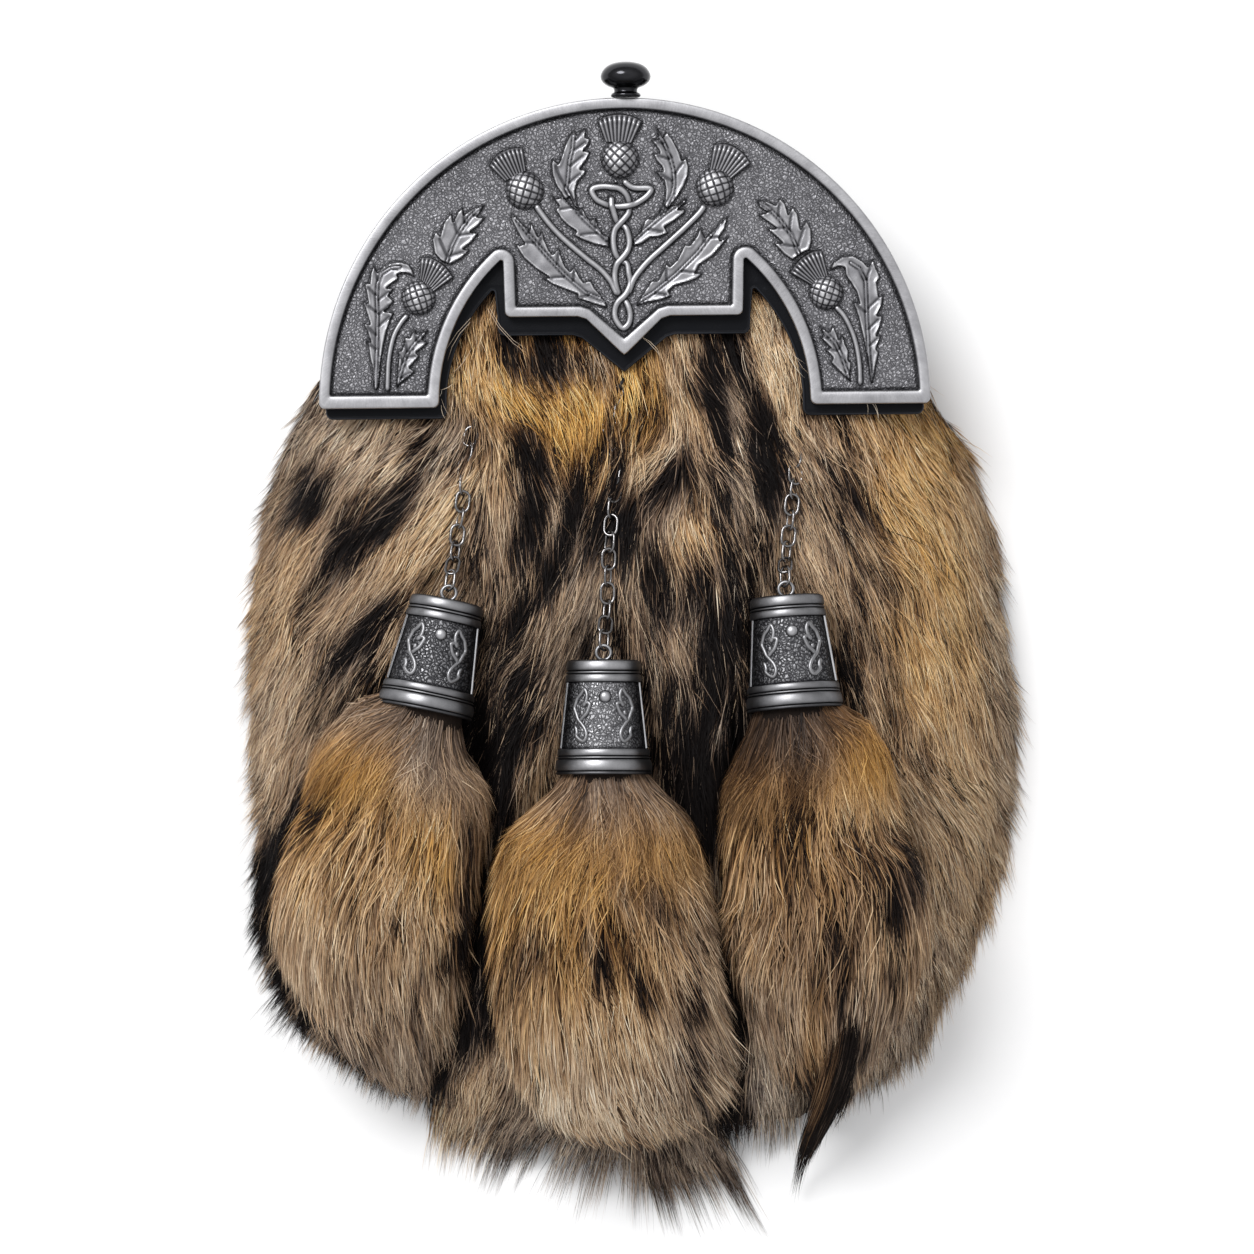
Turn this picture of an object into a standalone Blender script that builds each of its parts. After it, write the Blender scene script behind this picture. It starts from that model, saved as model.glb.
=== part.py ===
"""Full-dress sporran pouch, lying on its back: +Z is the front, +Y the top.

The origin is on the plane of the flat leather back, under the middle of the
pouch, on the centre line of the metal cantle.  All tables are in millimetres.
"""
import math

import bmesh
import bpy
import numpy as np
from mathutils import Matrix, Vector

MM = 0.001
GAP = 0.3                      # clearance between neighbouring pieces

# ---------------------------------------------------------------- cantle ----
CANTLE_CENTRE_Y = 55.9         # the outer arc is a half circle about this
CANTLE_BACK_Z = 34.3
CANTLE_FIELD_Z = 35.7          # recessed field between the rims
CANTLE_FRONT_Z = 37.3          # top of the rim

# One row for each outline: the metal cantle, its recessed field, and the
# leather flap behind it, a few millimetres proud along the lower edges.
OUTLINE_COLUMNS = ("name", "radius", "foot_y", "arm_x", "arm_height",
                   "apex_x", "apex_y", "notch", "step_x", "step_y",
                   "point_x", "point_y", "corner")
OUTLINE_ROWS = (
    ("cantle", 76.4, 55.2, 46.4, 48.6, 30.6, 91.4, 0.5,
     29.8, 77.7, 10.4, 68.0, 1.6),
    ("field", 73.7, 58.5, 49.3, 51.4, 30.6, 91.5, 3.3,
     27.0, 80.3, 9.6, 72.2, 0.5),
    ("flap", 74.9, 52.6, 44.6, 45.2, 32.8, 84.0, 0.5,
     31.6, 73.2, 11.6, 63.9, 1.8),
)

# Raised thistle heads: centre, ball radius, how far it stands off the field.
THISTLE_COLUMNS = ("x", "y", "radius", "rise", "lean_deg")
THISTLE_ROWS = (
    (-0.7, 116.9, 4.6, 3.0, 0.0),
    (-24.3, 109.3, 4.6, 3.0, 33.0),
    (22.9, 109.9, 4.6, 3.0, -33.0),
    (-51.4, 82.9, 3.9, 2.6, 20.0),
    (50.6, 83.4, 3.9, 2.6, -20.0),
)

# ---------------------------------------------------------------- leather ---
FLAP_BACK_Z = 32.0
FLAP_THICK = 2.0
STRAP_HALF_WIDTH = 30.0
STRAP_THICK = 2.0
STRAP_FOLD_Y = 108.5           # centre of the fold over the pouch's mouth
STRAP_FRONT_Y = 94.5           # where the front run ends, behind the cantle
STRAP_BACK_Y = 60.5            # where the back run is sewn to the pouch
LEATHER_WALL = 2.0

POUCH_COLUMNS = ("y", "half_width", "back_z", "front_z", "corner")
POUCH_ROWS = (
    (115.0, 9.0, 7.3, 25.0, 4.0),
    (112.6, 22.0, 7.3, 25.4, 6.0),
    (107.3, 35.0, 7.3, 25.8, 7.5),
    (97.9, 48.5, 7.3, 26.0, 9.0),
    (85.5, 58.9, 7.3, 26.0, 10.0),
    (71.0, 65.7, 7.3, 26.0, 10.0),
    (60.0, 67.6, 6.2, 26.0, 10.0),
    (48.0, 68.6, 1.2, 26.0, 10.0),
    (42.0, 69.0, 0.0, 26.0, 10.0),
    (10.0, 71.0, 0.0, 26.4, 10.5),
    (-25.0, 71.0, 0.0, 26.4, 11.0),
    (-52.0, 67.0, 0.0, 25.0, 11.0),
    (-72.0, 58.0, 0.0, 22.0, 10.0),
    (-87.0, 44.0, 0.0, 17.5, 8.0),
    (-96.0, 28.0, 0.0, 13.0, 6.0),
    (-99.5, 16.0, 0.0, 10.0, 4.5),
)
MOUTH_Y = 78.0                 # above this the gusset is open

# -------------------------------------------------------------------- fur ---
FUR_COLUMNS = ("y", "left", "right", "crest", "fullness")
FUR_ROWS = (
    (91.0, 26.0, 26.0, 31.3, 10.0),
    (88.0, 42.0, 42.0, 31.4, 10.0),
    (83.0, 53.0, 53.0, 31.5, 10.0),
    (76.0, 62.5, 62.5, 31.5, 10.0),
    (69.0, 69.5, 69.5, 31.5, 10.0),
    (62.0, 75.0, 75.5, 32.0, 8.0),
    (52.0, 82.0, 84.0, 35.0, 6.0),
    (40.0, 87.6, 90.0, 39.0, 4.5),
    (26.0, 92.4, 95.4, 42.0, 3.6),
    (12.0, 96.0, 98.0, 44.0, 3.1),
    (-2.0, 98.2, 99.8, 45.0, 2.9),
    (-18.0, 99.4, 101.2, 45.0, 2.8),
    (-34.0, 98.6, 100.6, 44.0, 2.7),
    (-50.0, 96.8, 97.4, 42.0, 2.6),
    (-66.0, 95.6, 92.8, 39.0, 2.6),
    (-80.0, 94.0, 87.0, 35.0, 2.6),
    (-92.0, 90.4, 80.4, 30.5, 2.6),
    (-104.0, 82.0, 75.0, 25.0, 2.6),
    (-114.0, 70.5, 67.0, 20.0, 2.5),
    (-121.0, 56.5, 56.5, 16.0, 2.4),
    (-130.0, 42.0, 44.0, 11.5, 2.3),
    (-138.0, 22.0, 32.0, 6.5, 2.2),
)
FUR_STATIONS = 40              # sections along the length
FUR_ACROSS = 32                # points across each section
FLAP_APRON = 5.0               # fur stays pressed this far beyond the flap

# ------------------------------------------------------ bells and tassels ---
BELL_TOP_RADIUS = 8.8
BELL_MOUTH_RADIUS = 11.9
BELL_HEIGHT = 28.3
BELL_WALL = 1.1
EYE_RADIUS = 1.8               # wire ring soldered on top, to the wire's centre
EYE_WIRE = 0.4                 # half its wire
EYE_RISE = 1.9                 # ring centre above the bell's top

BELL_COLUMNS = ("name", "top_x", "top_y", "top_z",
                "mouth_x", "mouth_y", "mouth_z")
BELL_ROWS = (
    ("left", -44.5, 7.0, 47.6, -50.3, -20.4, 49.6),
    ("centre", -5.9, -8.2, 50.6, -6.1, -36.5, 51.6),
    ("right", 39.6, 7.1, 48.2, 41.4, -21.0, 50.2),
)

TASSEL_COLUMNS = ("x", "y", "z", "half_width", "half_thick")
TASSEL_ROWS = {
    "left": (
        (-54.2, -27.0, 48.2, 18.0, 11.4),
        (-57.0, -36.5, 46.0, 22.2, 11.8),
        (-58.6, -48.0, 43.6, 23.6, 11.6),
        (-62.0, -60.0, 40.4, 25.0, 11.0),
        (-64.4, -72.0, 36.8, 25.6, 10.4),
        (-64.6, -83.5, 32.6, 24.0, 9.4),
        (-62.6, -94.0, 28.0, 19.6, 7.8),
        (-60.0, -103.5, 22.8, 12.6, 5.6),
        (-58.2, -112.0, 17.2, 6.0, 3.2),
    ),
    "centre": (
        (-5.8, -43.0, 51.0, 17.4, 11.8),
        (-6.0, -52.0, 49.4, 23.2, 12.2),
        (-7.2, -60.5, 47.8, 26.0, 12.2),
        (-7.2, -69.0, 45.6, 27.6, 12.0),
        (-6.8, -81.0, 41.6, 28.8, 11.4),
        (-5.0, -96.0, 35.4, 29.6, 10.4),
        (-2.0, -109.5, 28.6, 28.0, 9.0),
        (1.2, -118.5, 23.2, 23.6, 7.2),
        (5.4, -126.5, 17.6, 15.0, 4.2),
    ),
    "right": (
        (42.6, -27.0, 49.6, 17.0, 11.4),
        (44.8, -35.0, 48.8, 19.8, 11.8),
        (45.2, -45.0, 47.2, 21.6, 11.8),
        (46.0, -56.0, 45.2, 23.6, 11.6),
        (48.8, -68.0, 42.2, 26.0, 11.4),
        (49.2, -79.0, 38.4, 25.4, 10.8),
        (48.9, -89.0, 33.8, 23.4, 9.8),
        (48.6, -99.0, 28.4, 18.8, 8.2),
        (50.0, -107.5, 22.8, 12.6, 6.2),
        (51.4, -117.0, 15.4, 6.2, 3.6),
        (49.0, -128.0, 8.6, 3.4, 2.2),
        (44.0, -140.0, 4.6, 1.3, 1.0),
    ),
}
NECK_IN_BELL = 8.0             # how far the tassel's neck reaches into its bell

# ------------------------------------------------------------------ chains --
LINK_LENGTH = 6.0
LINK_WIDTH = 4.0
LINK_WIRE = 0.7
LINK_PITCH = 4.3               # largest step that keeps the links apart
LINK_TO_RING = 3.25            # centre of an end link to the centre of a ring

# The route of each chain over the fur, from its hidden post to its bell.
CHAIN_ROUTES = {
    "left": ((-37.8, 51.0), (-39.2, 45.5), (-40.2, 38.0), (-40.6, 32.0),
             (-41.8, 25.0), (-42.6, 19.0), (-43.6, 13.5)),
    "centre": ((-1.0, 60.6), (-3.5, 55.0), (-3.6, 47.5), (-2.0, 41.5),
               (-2.7, 35.0), (-3.6, 27.5), (-4.2, 20.5), (-4.6, 12.5),
               (-5.0, 4.0), (-5.6, -1.5)),
    "right": ((43.3, 47.2), (42.6, 41.5), (42.3, 36.0), (41.3, 29.5),
              (40.5, 23.0), (39.6, 16.5), (39.3, 13.0)),
}
POST_RADIUS = 0.9
POST_FLANGE_RADIUS = 2.4
POST_FLANGE_THICK = 0.9
POST_WELL_RADIUS = 3.3

# -------------------------------------------------------------------- knob --
KNOB_X = 1.0
KNOB_Z = 35.8
KNOB_COLUMNS = ("radius", "y")
KNOB_ROWS = (
    (0.0, 141.3), (2.6, 141.1), (4.6, 140.3), (5.8, 139.1), (6.25, 137.8),
    (6.0, 136.6), (5.1, 135.6), (3.5, 135.0), (2.9, 134.6), (2.9, 133.7),
    (3.6, 133.4), (3.6, 132.65), (0.0, 132.65),
)


# ============================================================== utilities ===
def rows(columns, table):
    """The rows of a table as dictionaries keyed by column name."""
    return [dict(zip(columns, row)) for row in table]


def column(table, name):
    return np.array([row[name] for row in table], dtype=float)


def smooth_lookup(table, key, name):
    """A monotone cubic through one column of a table, over another column."""
    order = np.argsort(column(table, key))
    x = column(table, key)[order]
    y = column(table, name)[order]
    step = np.diff(y) / np.diff(x)
    slope = np.zeros_like(y)
    slope[0], slope[-1] = step[0], step[-1]
    for i in range(1, len(y) - 1):
        if step[i - 1] * step[i] > 0:
            slope[i] = 2 * step[i - 1] * step[i] / (step[i - 1] + step[i])

    def value(at):
        at = min(max(at, x[0]), x[-1])
        i = min(max(int(np.searchsorted(x, at)) - 1, 0), len(x) - 2)
        h = x[i + 1] - x[i]
        t = (at - x[i]) / h
        return ((2 * t ** 3 - 3 * t ** 2 + 1) * y[i]
                + (t ** 3 - 2 * t ** 2 + t) * h * slope[i]
                + (3 * t ** 2 - 2 * t ** 3) * y[i + 1]
                + (t ** 3 - t ** 2) * h * slope[i + 1])
    return value


def make_material(name, colour, roughness, metallic):
    mat = bpy.data.materials.new(name)
    mat.use_nodes = True
    shader = mat.node_tree.nodes["Principled BSDF"]
    shader.inputs["Base Color"].default_value = (*colour, 1.0)
    shader.inputs["Roughness"].default_value = roughness
    shader.inputs["Metallic"].default_value = metallic
    mat.diffuse_color = (*colour, 1.0)
    return mat


def add_object(name, mesh, material, collection):
    obj = bpy.data.objects.new(name, mesh)
    collection.objects.link(obj)
    if material is not None:
        mesh.materials.clear()
        mesh.materials.append(material)
    return obj


def hide_cutter(obj):
    obj.hide_render = True
    obj.display_type = 'WIRE'
    return obj


def mesh_from_bmesh(name, bm):
    bmesh.ops.recalc_face_normals(bm, faces=bm.faces)
    mesh = bpy.data.meshes.new(name)
    bm.to_mesh(mesh)
    bm.free()
    return mesh


def loft(name, rings):
    """A closed body through rings of equal length, with flat ends."""
    bm = bmesh.new()
    loops = [[bm.verts.new(Vector(p) * MM) for p in ring] for ring in rings]
    count = len(loops[0])
    for low, high in zip(loops, loops[1:]):
        for i in range(count):
            j = (i + 1) % count
            bm.faces.new((low[i], low[j], high[j], high[i]))
    bm.faces.new(loops[0][::-1])
    bm.faces.new(loops[-1])
    return mesh_from_bmesh(name, bm)


def plate(name, outline, z_low, z_high):
    """A flat plate of one outline."""
    return loft(name, [[(x, y, z) for x, y in outline]
                       for z in (z_low, z_high)])


def curve_to_mesh(obj, name, collection):
    """The curve's evaluated mesh, its caps welded, in the curve's place."""
    bpy.context.view_layer.update()
    graph = bpy.context.evaluated_depsgraph_get()
    mesh = bpy.data.meshes.new_from_object(obj.evaluated_get(graph))
    mesh.name = name
    bm = bmesh.new()
    bm.from_mesh(mesh)
    bmesh.ops.remove_doubles(bm, verts=bm.verts, dist=1e-6)
    bmesh.ops.recalc_face_normals(bm, faces=bm.faces)
    bm.to_mesh(mesh)
    bm.free()
    matrix = obj.matrix_world.copy()
    bpy.data.objects.remove(obj)
    made = bpy.data.objects.new(name, mesh)
    made.matrix_world = matrix
    collection.objects.link(made)
    return made


def boolean(obj, cutter, operation):
    mod = obj.modifiers.new(operation.title(), 'BOOLEAN')
    mod.operation = operation
    mod.solver = 'EXACT'
    mod.object = cutter
    hide_cutter(cutter)
    return mod


# =============================================================== outlines ===
def cantle_outline(row):
    """The outline of the cantle, or of the flap: a half disc whose lower edge
    is cut into two arms and a pointed middle, with a narrow notch between."""
    cy, r = CANTLE_CENTRE_Y, row["radius"]
    foot, corner, notch = row["foot_y"], row["corner"], row["notch"]
    edge = r * math.sqrt(1.0 - ((foot + corner - cy) / r) ** 2)
    low = math.asin((foot + corner - cy) / r)
    right = []
    for i in range(25):                            # outer arc, crown to foot
        a = math.pi / 2 + (low - math.pi / 2) * i / 24
        right.append((r * math.cos(a), cy + r * math.sin(a)))
    for i in range(1, 4):                          # rounded outer corner
        a = math.radians(-i * 30.0)
        right.append((edge - corner + corner * math.cos(a),
                      foot + corner + corner * math.sin(a)))
    for i in range(4):                             # rounded inner corner
        a = math.radians(-90.0 - i * 30.0)
        right.append((row["arm_x"] + corner + corner * math.cos(a),
                      foot + corner + corner * math.sin(a)))
    y0 = 56.0
    top = math.asin((row["apex_y"] + 0.7 * notch - y0) / row["arm_height"])
    reach = row["arm_x"] * math.cos(top)
    start = max((foot + corner - y0) / row["arm_height"], 0.0) + 0.06
    for i in range(10):                            # inside of the arm
        t = i / 9
        a = start + (top - start) * t
        x = row["arm_x"] * math.cos(a)
        x += (row["apex_x"] + 0.7 * notch - reach) * t ** 2
        right.append((x, y0 + row["arm_height"] * math.sin(a)))
    for i in range(1, 5):                          # rounded end of the notch
        a = math.radians(45.0 + i * 33.75)
        right.append((row["apex_x"] + notch * math.cos(a),
                      row["apex_y"] + notch * math.sin(a)))
    right.append((row["step_x"] + 0.1, row["step_y"] + 4.5))
    for i in range(4):                             # outer corner of the middle
        a = math.radians(-i * 30.0)
        right.append((row["step_x"] - corner + corner * math.cos(a),
                      row["step_y"] + corner + corner * math.sin(a)))
    right.append((row["point_x"] + 1.2, row["step_y"]))
    right.append((row["point_x"] - 1.0, row["step_y"] - 0.7))
    right.append((0.9, row["point_y"] + 0.7))
    left = [(-x, y) for x, y in right[1:]][::-1]
    return right + [(0.0, row["point_y"])] + left


def distance_outside(outline, x, y):
    """How far a point is outside an outline: negative when it is inside."""
    inside, best = False, 1e9
    count = len(outline)
    for i in range(count):
        x1, y1 = outline[i]
        x2, y2 = outline[(i + 1) % count]
        if (y1 > y) != (y2 > y):
            if x < (x2 - x1) * (y - y1) / (y2 - y1) + x1:
                inside = not inside
        dx, dy = x2 - x1, y2 - y1
        t = ((x - x1) * dx + (y - y1) * dy) / (dx * dx + dy * dy)
        t = min(max(t, 0.0), 1.0)
        best = min(best, math.hypot(x - x1 - t * dx, y - y1 - t * dy))
    return -best if inside else best


# ================================================================= pieces ===
def rounded_section(half_width, z_low, z_high, front_corner, back_corner):
    """A section across the pouch: a rectangle with its corners rounded."""
    room = 0.47 * (z_high - z_low)
    front = min(front_corner, 0.9 * half_width, 2 * room - 1.0)
    back = min(back_corner, 0.9 * half_width, 0.3 * room)
    corners = ((half_width - front, z_high - front, front, 0.0, 5),
               (-half_width + front, z_high - front, front, 90.0, 5),
               (-half_width + back, z_low + back, back, 180.0, 3),
               (half_width - back, z_low + back, back, 270.0, 3))
    points = []
    for x, z, radius, start, count in corners:
        for i in range(count):
            a = math.radians(start + 90.0 * i / (count - 1))
            points.append((x + radius * math.cos(a),
                           z + radius * math.sin(a)))
    return points


def pouch_rings(grow, floor=None):
    """The pouch's outer form, grown by some millimetres."""
    rings = []
    table = rows(POUCH_COLUMNS, POUCH_ROWS)
    for number, row in enumerate(table):
        y = row["y"]
        if number == 0:
            y += grow
        if number == len(table) - 1:
            y -= grow
        low = row["back_z"] - grow if floor is None else floor
        section = rounded_section(row["half_width"] + grow, low,
                                  row["front_z"] + grow,
                                  row["corner"] + grow, 3.0)
        rings.append([(x, y, z) for x, z in section])
    return rings


def build_pouch(parts, cutters, leather):
    mesh = loft("pouch", pouch_rings(0.0))
    pouch = add_object("pouch", mesh, leather, parts)
    rings = []
    for ring, row in zip(pouch_rings(-LEATHER_WALL),
                         rows(POUCH_COLUMNS, POUCH_ROWS)):
        if row["y"] > MOUTH_Y:
            continue
        rings.append(ring)
    mouth = [r for r in rows(POUCH_COLUMNS, POUCH_ROWS)
             if r["y"] < MOUTH_Y][0]
    for y in (MOUTH_Y, 130.0):                     # open to the sides and top
        section = rounded_section(82.0, mouth["back_z"] + LEATHER_WALL,
                                  23.6, 2.0, 1.0)
        rings.insert(0, [(x, y, z) for x, z in section])
    step = rounded_section(mouth["half_width"] - LEATHER_WALL,
                           mouth["back_z"] + LEATHER_WALL, 24.0, 8.0, 2.0)
    rings.insert(2, [(x, MOUTH_Y - 1.0, z) for x, z in step])
    inner = add_object("cut_pouch_inside", loft("cut_pouch_inside", rings),
                       None, cutters)
    boolean(pouch, inner, 'DIFFERENCE')
    return pouch


class Fur:
    """The outer form of the deep fur over the front of the pouch."""

    def __init__(self, flap_outline):
        table = rows(FUR_COLUMNS, FUR_ROWS)
        self.left = smooth_lookup(table, "y", "left")
        self.right = smooth_lookup(table, "y", "right")
        self.crest = smooth_lookup(table, "y", "crest")
        self.fullness = smooth_lookup(table, "y", "fullness")
        self.flap_outline = flap_outline
        self.clear_of = []                 # functions: x, y -> highest z

    def width(self, x, y):
        return self.left(y) if x < 0 else self.right(y)

    def base(self, x, y):
        """The fur's surface before anything presses into it."""
        ratio = min(abs(x) / self.width(x, y), 1.0)
        z = self.crest(y) * math.sqrt(1.0 - ratio ** self.fullness(y))
        if y > 40.0:
            away = distance_outside(self.flap_outline, x, y)
            z = min(z, 31.4 + 1.2 * max(away - FLAP_APRON, 0.0))
        return z

    def top(self, x, y):
        z = self.base(x, y)
        for limit in self.clear_of:
            z = min(z, limit(x, y))
        return z


def build_fur(fur, chains, parts, cutters, material):
    first, last = FUR_ROWS[0][0], FUR_ROWS[-1][0]
    rings = []
    for i in range(FUR_STATIONS + 1):
        y = first + (last - first) * i / FUR_STATIONS
        ring = []
        for j in range(FUR_ACROSS + 1):
            u = -1.0 + 2.0 * j / FUR_ACROSS
            reach = math.sin(u * math.pi / 2) * 0.6 + u * 0.4
            x = reach * fur.width(reach, y)
            z = fur.top(x, y) if abs(u) < 1.0 else 0.0
            ring.append((x, y, max(z, 0.6 if abs(u) < 1.0 else 0.0)))
        rings.append(ring)
    obj = add_object("fur_front", loft("fur_front", rings), material, parts)
    inside = add_object("cut_fur_pouch",
                        loft("cut_fur_pouch", pouch_rings(GAP, -5.0)),
                        None, cutters)
    boolean(obj, inside, 'DIFFERENCE')
    for name, chain in chains.items():
        x, y, _ = chain["post"]
        bpy.ops.mesh.primitive_cylinder_add(
            vertices=12, radius=POST_WELL_RADIUS * MM, depth=40.0 * MM,
            location=(x * MM, y * MM, 40.0 * MM))
        well = bpy.context.object
        well.name = "cut_post_" + name
        move_to(well, cutters)
        boolean(obj, well, 'DIFFERENCE')
    return obj


def move_to(obj, collection):
    for other in list(obj.users_collection):
        other.objects.unlink(obj)
    collection.objects.link(obj)


def bell_frame(row):
    """The bell's top, its mouth and its axis, from the top to the mouth."""
    top = Vector((row["top_x"], row["top_y"], row["top_z"]))
    mouth = Vector((row["mouth_x"], row["mouth_y"], row["mouth_z"]))
    axis = (mouth - top).normalized()
    return top, top + axis * BELL_HEIGHT, axis


def axes_matrix(origin, x_axis, y_axis, z_axis):
    matrix = Matrix((x_axis, y_axis, z_axis)).transposed().to_4x4()
    matrix.translation = origin * MM
    return matrix


def build_bell(row, parts, cutters, metal):
    """A turned hollow cone, open below, with a wire eye on its top."""
    top, mouth, axis = bell_frame(row)
    slope = (BELL_MOUTH_RADIUS - BELL_TOP_RADIUS) / BELL_HEIGHT
    inner_top = BELL_TOP_RADIUS - BELL_WALL + slope * BELL_WALL
    profile = (
        (0.0, BELL_HEIGHT),
        (BELL_TOP_RADIUS - 0.5, BELL_HEIGHT),
        (BELL_TOP_RADIUS, BELL_HEIGHT - 0.5),
        (BELL_TOP_RADIUS + slope * 2.3, BELL_HEIGHT - 2.3),
        (BELL_MOUTH_RADIUS - slope * 4.6, 4.6),
        (BELL_MOUTH_RADIUS, 0.4),
        (BELL_MOUTH_RADIUS - 0.4, 0.0),
        (BELL_MOUTH_RADIUS - BELL_WALL, 0.0),
        (inner_top, BELL_HEIGHT - BELL_WALL),
        (0.0, BELL_HEIGHT - BELL_WALL),
    )
    name = "bell_" + row["name"]
    mesh = bpy.data.meshes.new(name)
    mesh.from_pydata([(x * MM, 0.0, z * MM) for x, z in profile],
                     [(i, i + 1) for i in range(len(profile) - 1)], [])
    bell = add_object(name, mesh, metal, parts)
    screw = bell.modifiers.new("Turn", 'SCREW')
    screw.axis = 'Z'
    screw.steps = 24
    screw.render_steps = 24
    screw.use_merge_vertices = True
    screw.merge_threshold = 0.00001
    screw.use_smooth_shade = True
    up = -axis
    side = Vector((0.0, 0.0, 1.0)).cross(up).normalized()
    front = up.cross(side).normalized()
    bell.matrix_world = axes_matrix(mouth, side, front, up)
    bpy.ops.mesh.primitive_torus_add(
        major_segments=12, minor_segments=5, major_radius=EYE_RADIUS * MM,
        minor_radius=EYE_WIRE * MM)
    eye = bpy.context.object
    eye.name = "add_eye_" + row["name"]
    move_to(eye, cutters)
    eye.matrix_world = axes_matrix(top + up * EYE_RISE, up, side, front)
    boolean(bell, eye, 'UNION')
    return bell


def tassel_path(row):
    """Sections of a tassel: its neck inside the bell, then its table."""
    _, mouth, axis = bell_frame(row)
    slope = (BELL_MOUTH_RADIUS - BELL_TOP_RADIUS) / BELL_HEIGHT
    inner = BELL_MOUTH_RADIUS - BELL_WALL
    path = []
    for along, radius in ((-NECK_IN_BELL, inner - slope * NECK_IN_BELL - 0.6),
                          (-0.3, inner - 0.6), (1.8, inner + 0.6)):
        p = mouth + axis * along
        path.append((p.x, p.y, p.z, radius, radius))
    for item in rows(TASSEL_COLUMNS, TASSEL_ROWS[row["name"]]):
        path.append(tuple(item[c] for c in TASSEL_COLUMNS))
    return path, axis


def build_tassel(row, parts, material):
    path, axis = tassel_path(row)
    rings = []
    count = 18
    for i, (x, y, z, half_width, half_thick) in enumerate(path):
        here = Vector((x, y, z))
        if i < 3:
            along = axis
        elif i == len(path) - 1:
            along = here - Vector(path[i - 1][:3])
        else:
            along = Vector(path[i + 1][:3]) - Vector(path[i - 1][:3])
        along = along.normalized()
        side = along.cross(Vector((0.0, 0.0, 1.0))).normalized()
        up = side.cross(along).normalized()
        power = 1.0 if i < 3 else 0.88
        ring = []
        for k in range(count):
            a = 2 * math.pi * k / count
            c, s = math.cos(a), math.sin(a)
            ring.append(here
                        + side * half_width * math.copysign(abs(c) ** power, c)
                        + up * half_thick * math.copysign(abs(s) ** power, s))
        rings.append(ring)
    return add_object("tassel_" + row["name"],
                      loft("tassel_" + row["name"], rings), material, parts)


def under_tassel(row, clearance):
    """The highest fur that stays clear below a bell and its tassel."""
    top, mouth, axis = bell_frame(row)
    path, _ = tassel_path(row)
    stations = [(top - axis * 3.2, 2.6, 2.6), (top, BELL_TOP_RADIUS + 0.2,
                                               BELL_TOP_RADIUS + 0.2),
                (mouth, BELL_MOUTH_RADIUS, BELL_MOUTH_RADIUS)]
    for x, y, z, half_width, half_thick in path[2:]:
        stations.append((Vector((x, y, z)), half_width, half_thick))
    pairs = list(zip(stations, stations[1:]))

    def limit(x, y):
        best = 1e9
        for (p, w1, t1), (q, w2, t2) in pairs:
            dx, dy = q.x - p.x, q.y - p.y
            length = math.hypot(dx, dy)
            if length < 0.01:
                continue
            t = ((x - p.x) * dx + (y - p.y) * dy) / length ** 2
            t = min(max(t, -4.0 / length), 1.0 + 4.0 / length)
            off = math.hypot(x - p.x - t * dx, y - p.y - t * dy)
            t = min(max(t, 0.0), 1.0)
            wide = (w1 + (w2 - w1) * t) + 1.0
            thick = t1 + (t2 - t1) * t
            if off >= wide + 2.0:
                continue
            drop = math.sqrt(max(1.0 - (off / wide) ** 2.4, 0.0))
            middle = p.z + (q.z - p.z) * t
            best = min(best, middle - thick * drop - clearance)
        return best
    return limit


def catmull(points, per_span):
    made = []
    for i in range(len(points) - 1):
        p0 = points[max(i - 1, 0)]
        p1, p2 = points[i], points[i + 1]
        p3 = points[min(i + 2, len(points) - 1)]
        for k in range(per_span):
            t = k / per_span
            made.append(0.5 * ((2 * p1) + (p2 - p0) * t
                               + (2 * p0 - 5 * p1 + 4 * p2 - p3) * t * t
                               + (3 * p1 - p0 - 3 * p2 + p3) * t ** 3))
    made.append(points[-1])
    return made


def chain_layout(name, fur, bell_row):
    """Where each link of a chain lies, half sunk in the fur."""
    top, _, axis = bell_frame(bell_row)
    ring = top - axis * EYE_RISE
    points = [Vector((x, y, fur.base(x, y) + 0.6))
              for x, y in CHAIN_ROUTES[name]]
    points[0].z = fur.base(points[0].x, points[0].y) + 1.2
    points[-1].z = max(points[-1].z, ring.z - 1.0)
    points[-2].z += 0.6
    points.append(ring)
    line = catmull(points, 14)
    lengths = [0.0]
    for a, b in zip(line, line[1:]):
        lengths.append(lengths[-1] + (b - a).length)
    total = lengths[-1]

    def at(distance):
        distance = min(max(distance, 0.0), total)
        i = min(int(np.searchsorted(lengths, distance)), len(line) - 1)
        i = max(i, 1)
        span = lengths[i] - lengths[i - 1]
        t = (distance - lengths[i - 1]) / span if span else 0.0
        return line[i - 1].lerp(line[i], t)

    count = int(math.ceil((total - 2 * LINK_TO_RING) / LINK_PITCH)) + 1
    pitch = (total - 2 * LINK_TO_RING) / (count - 1)
    links = []
    for i in range(count):
        s = LINK_TO_RING + pitch * i
        along = (at(s + 2.0) - at(s - 2.0)).normalized()
        on_edge = (count - 1 - i) % 2 == 0          # the last stands on edge
        links.append((at(s), along, on_edge))
    along = (at(2.0) - at(0.0)).normalized()
    return {"post": tuple(points[0]), "along": along, "links": links,
            "line": line, "flat_eye": links[0][2]}


def under_chain(layout, clearance):
    line = layout["line"]

    def limit(x, y):
        best = 1e9
        for p in line[::3]:
            off = math.hypot(x - p.x, y - p.y)
            if off < 12.0:
                best = min(best, p.z - clearance + max(off - 5.0, 0.0) * 1.0)
        return best
    return limit


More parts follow.
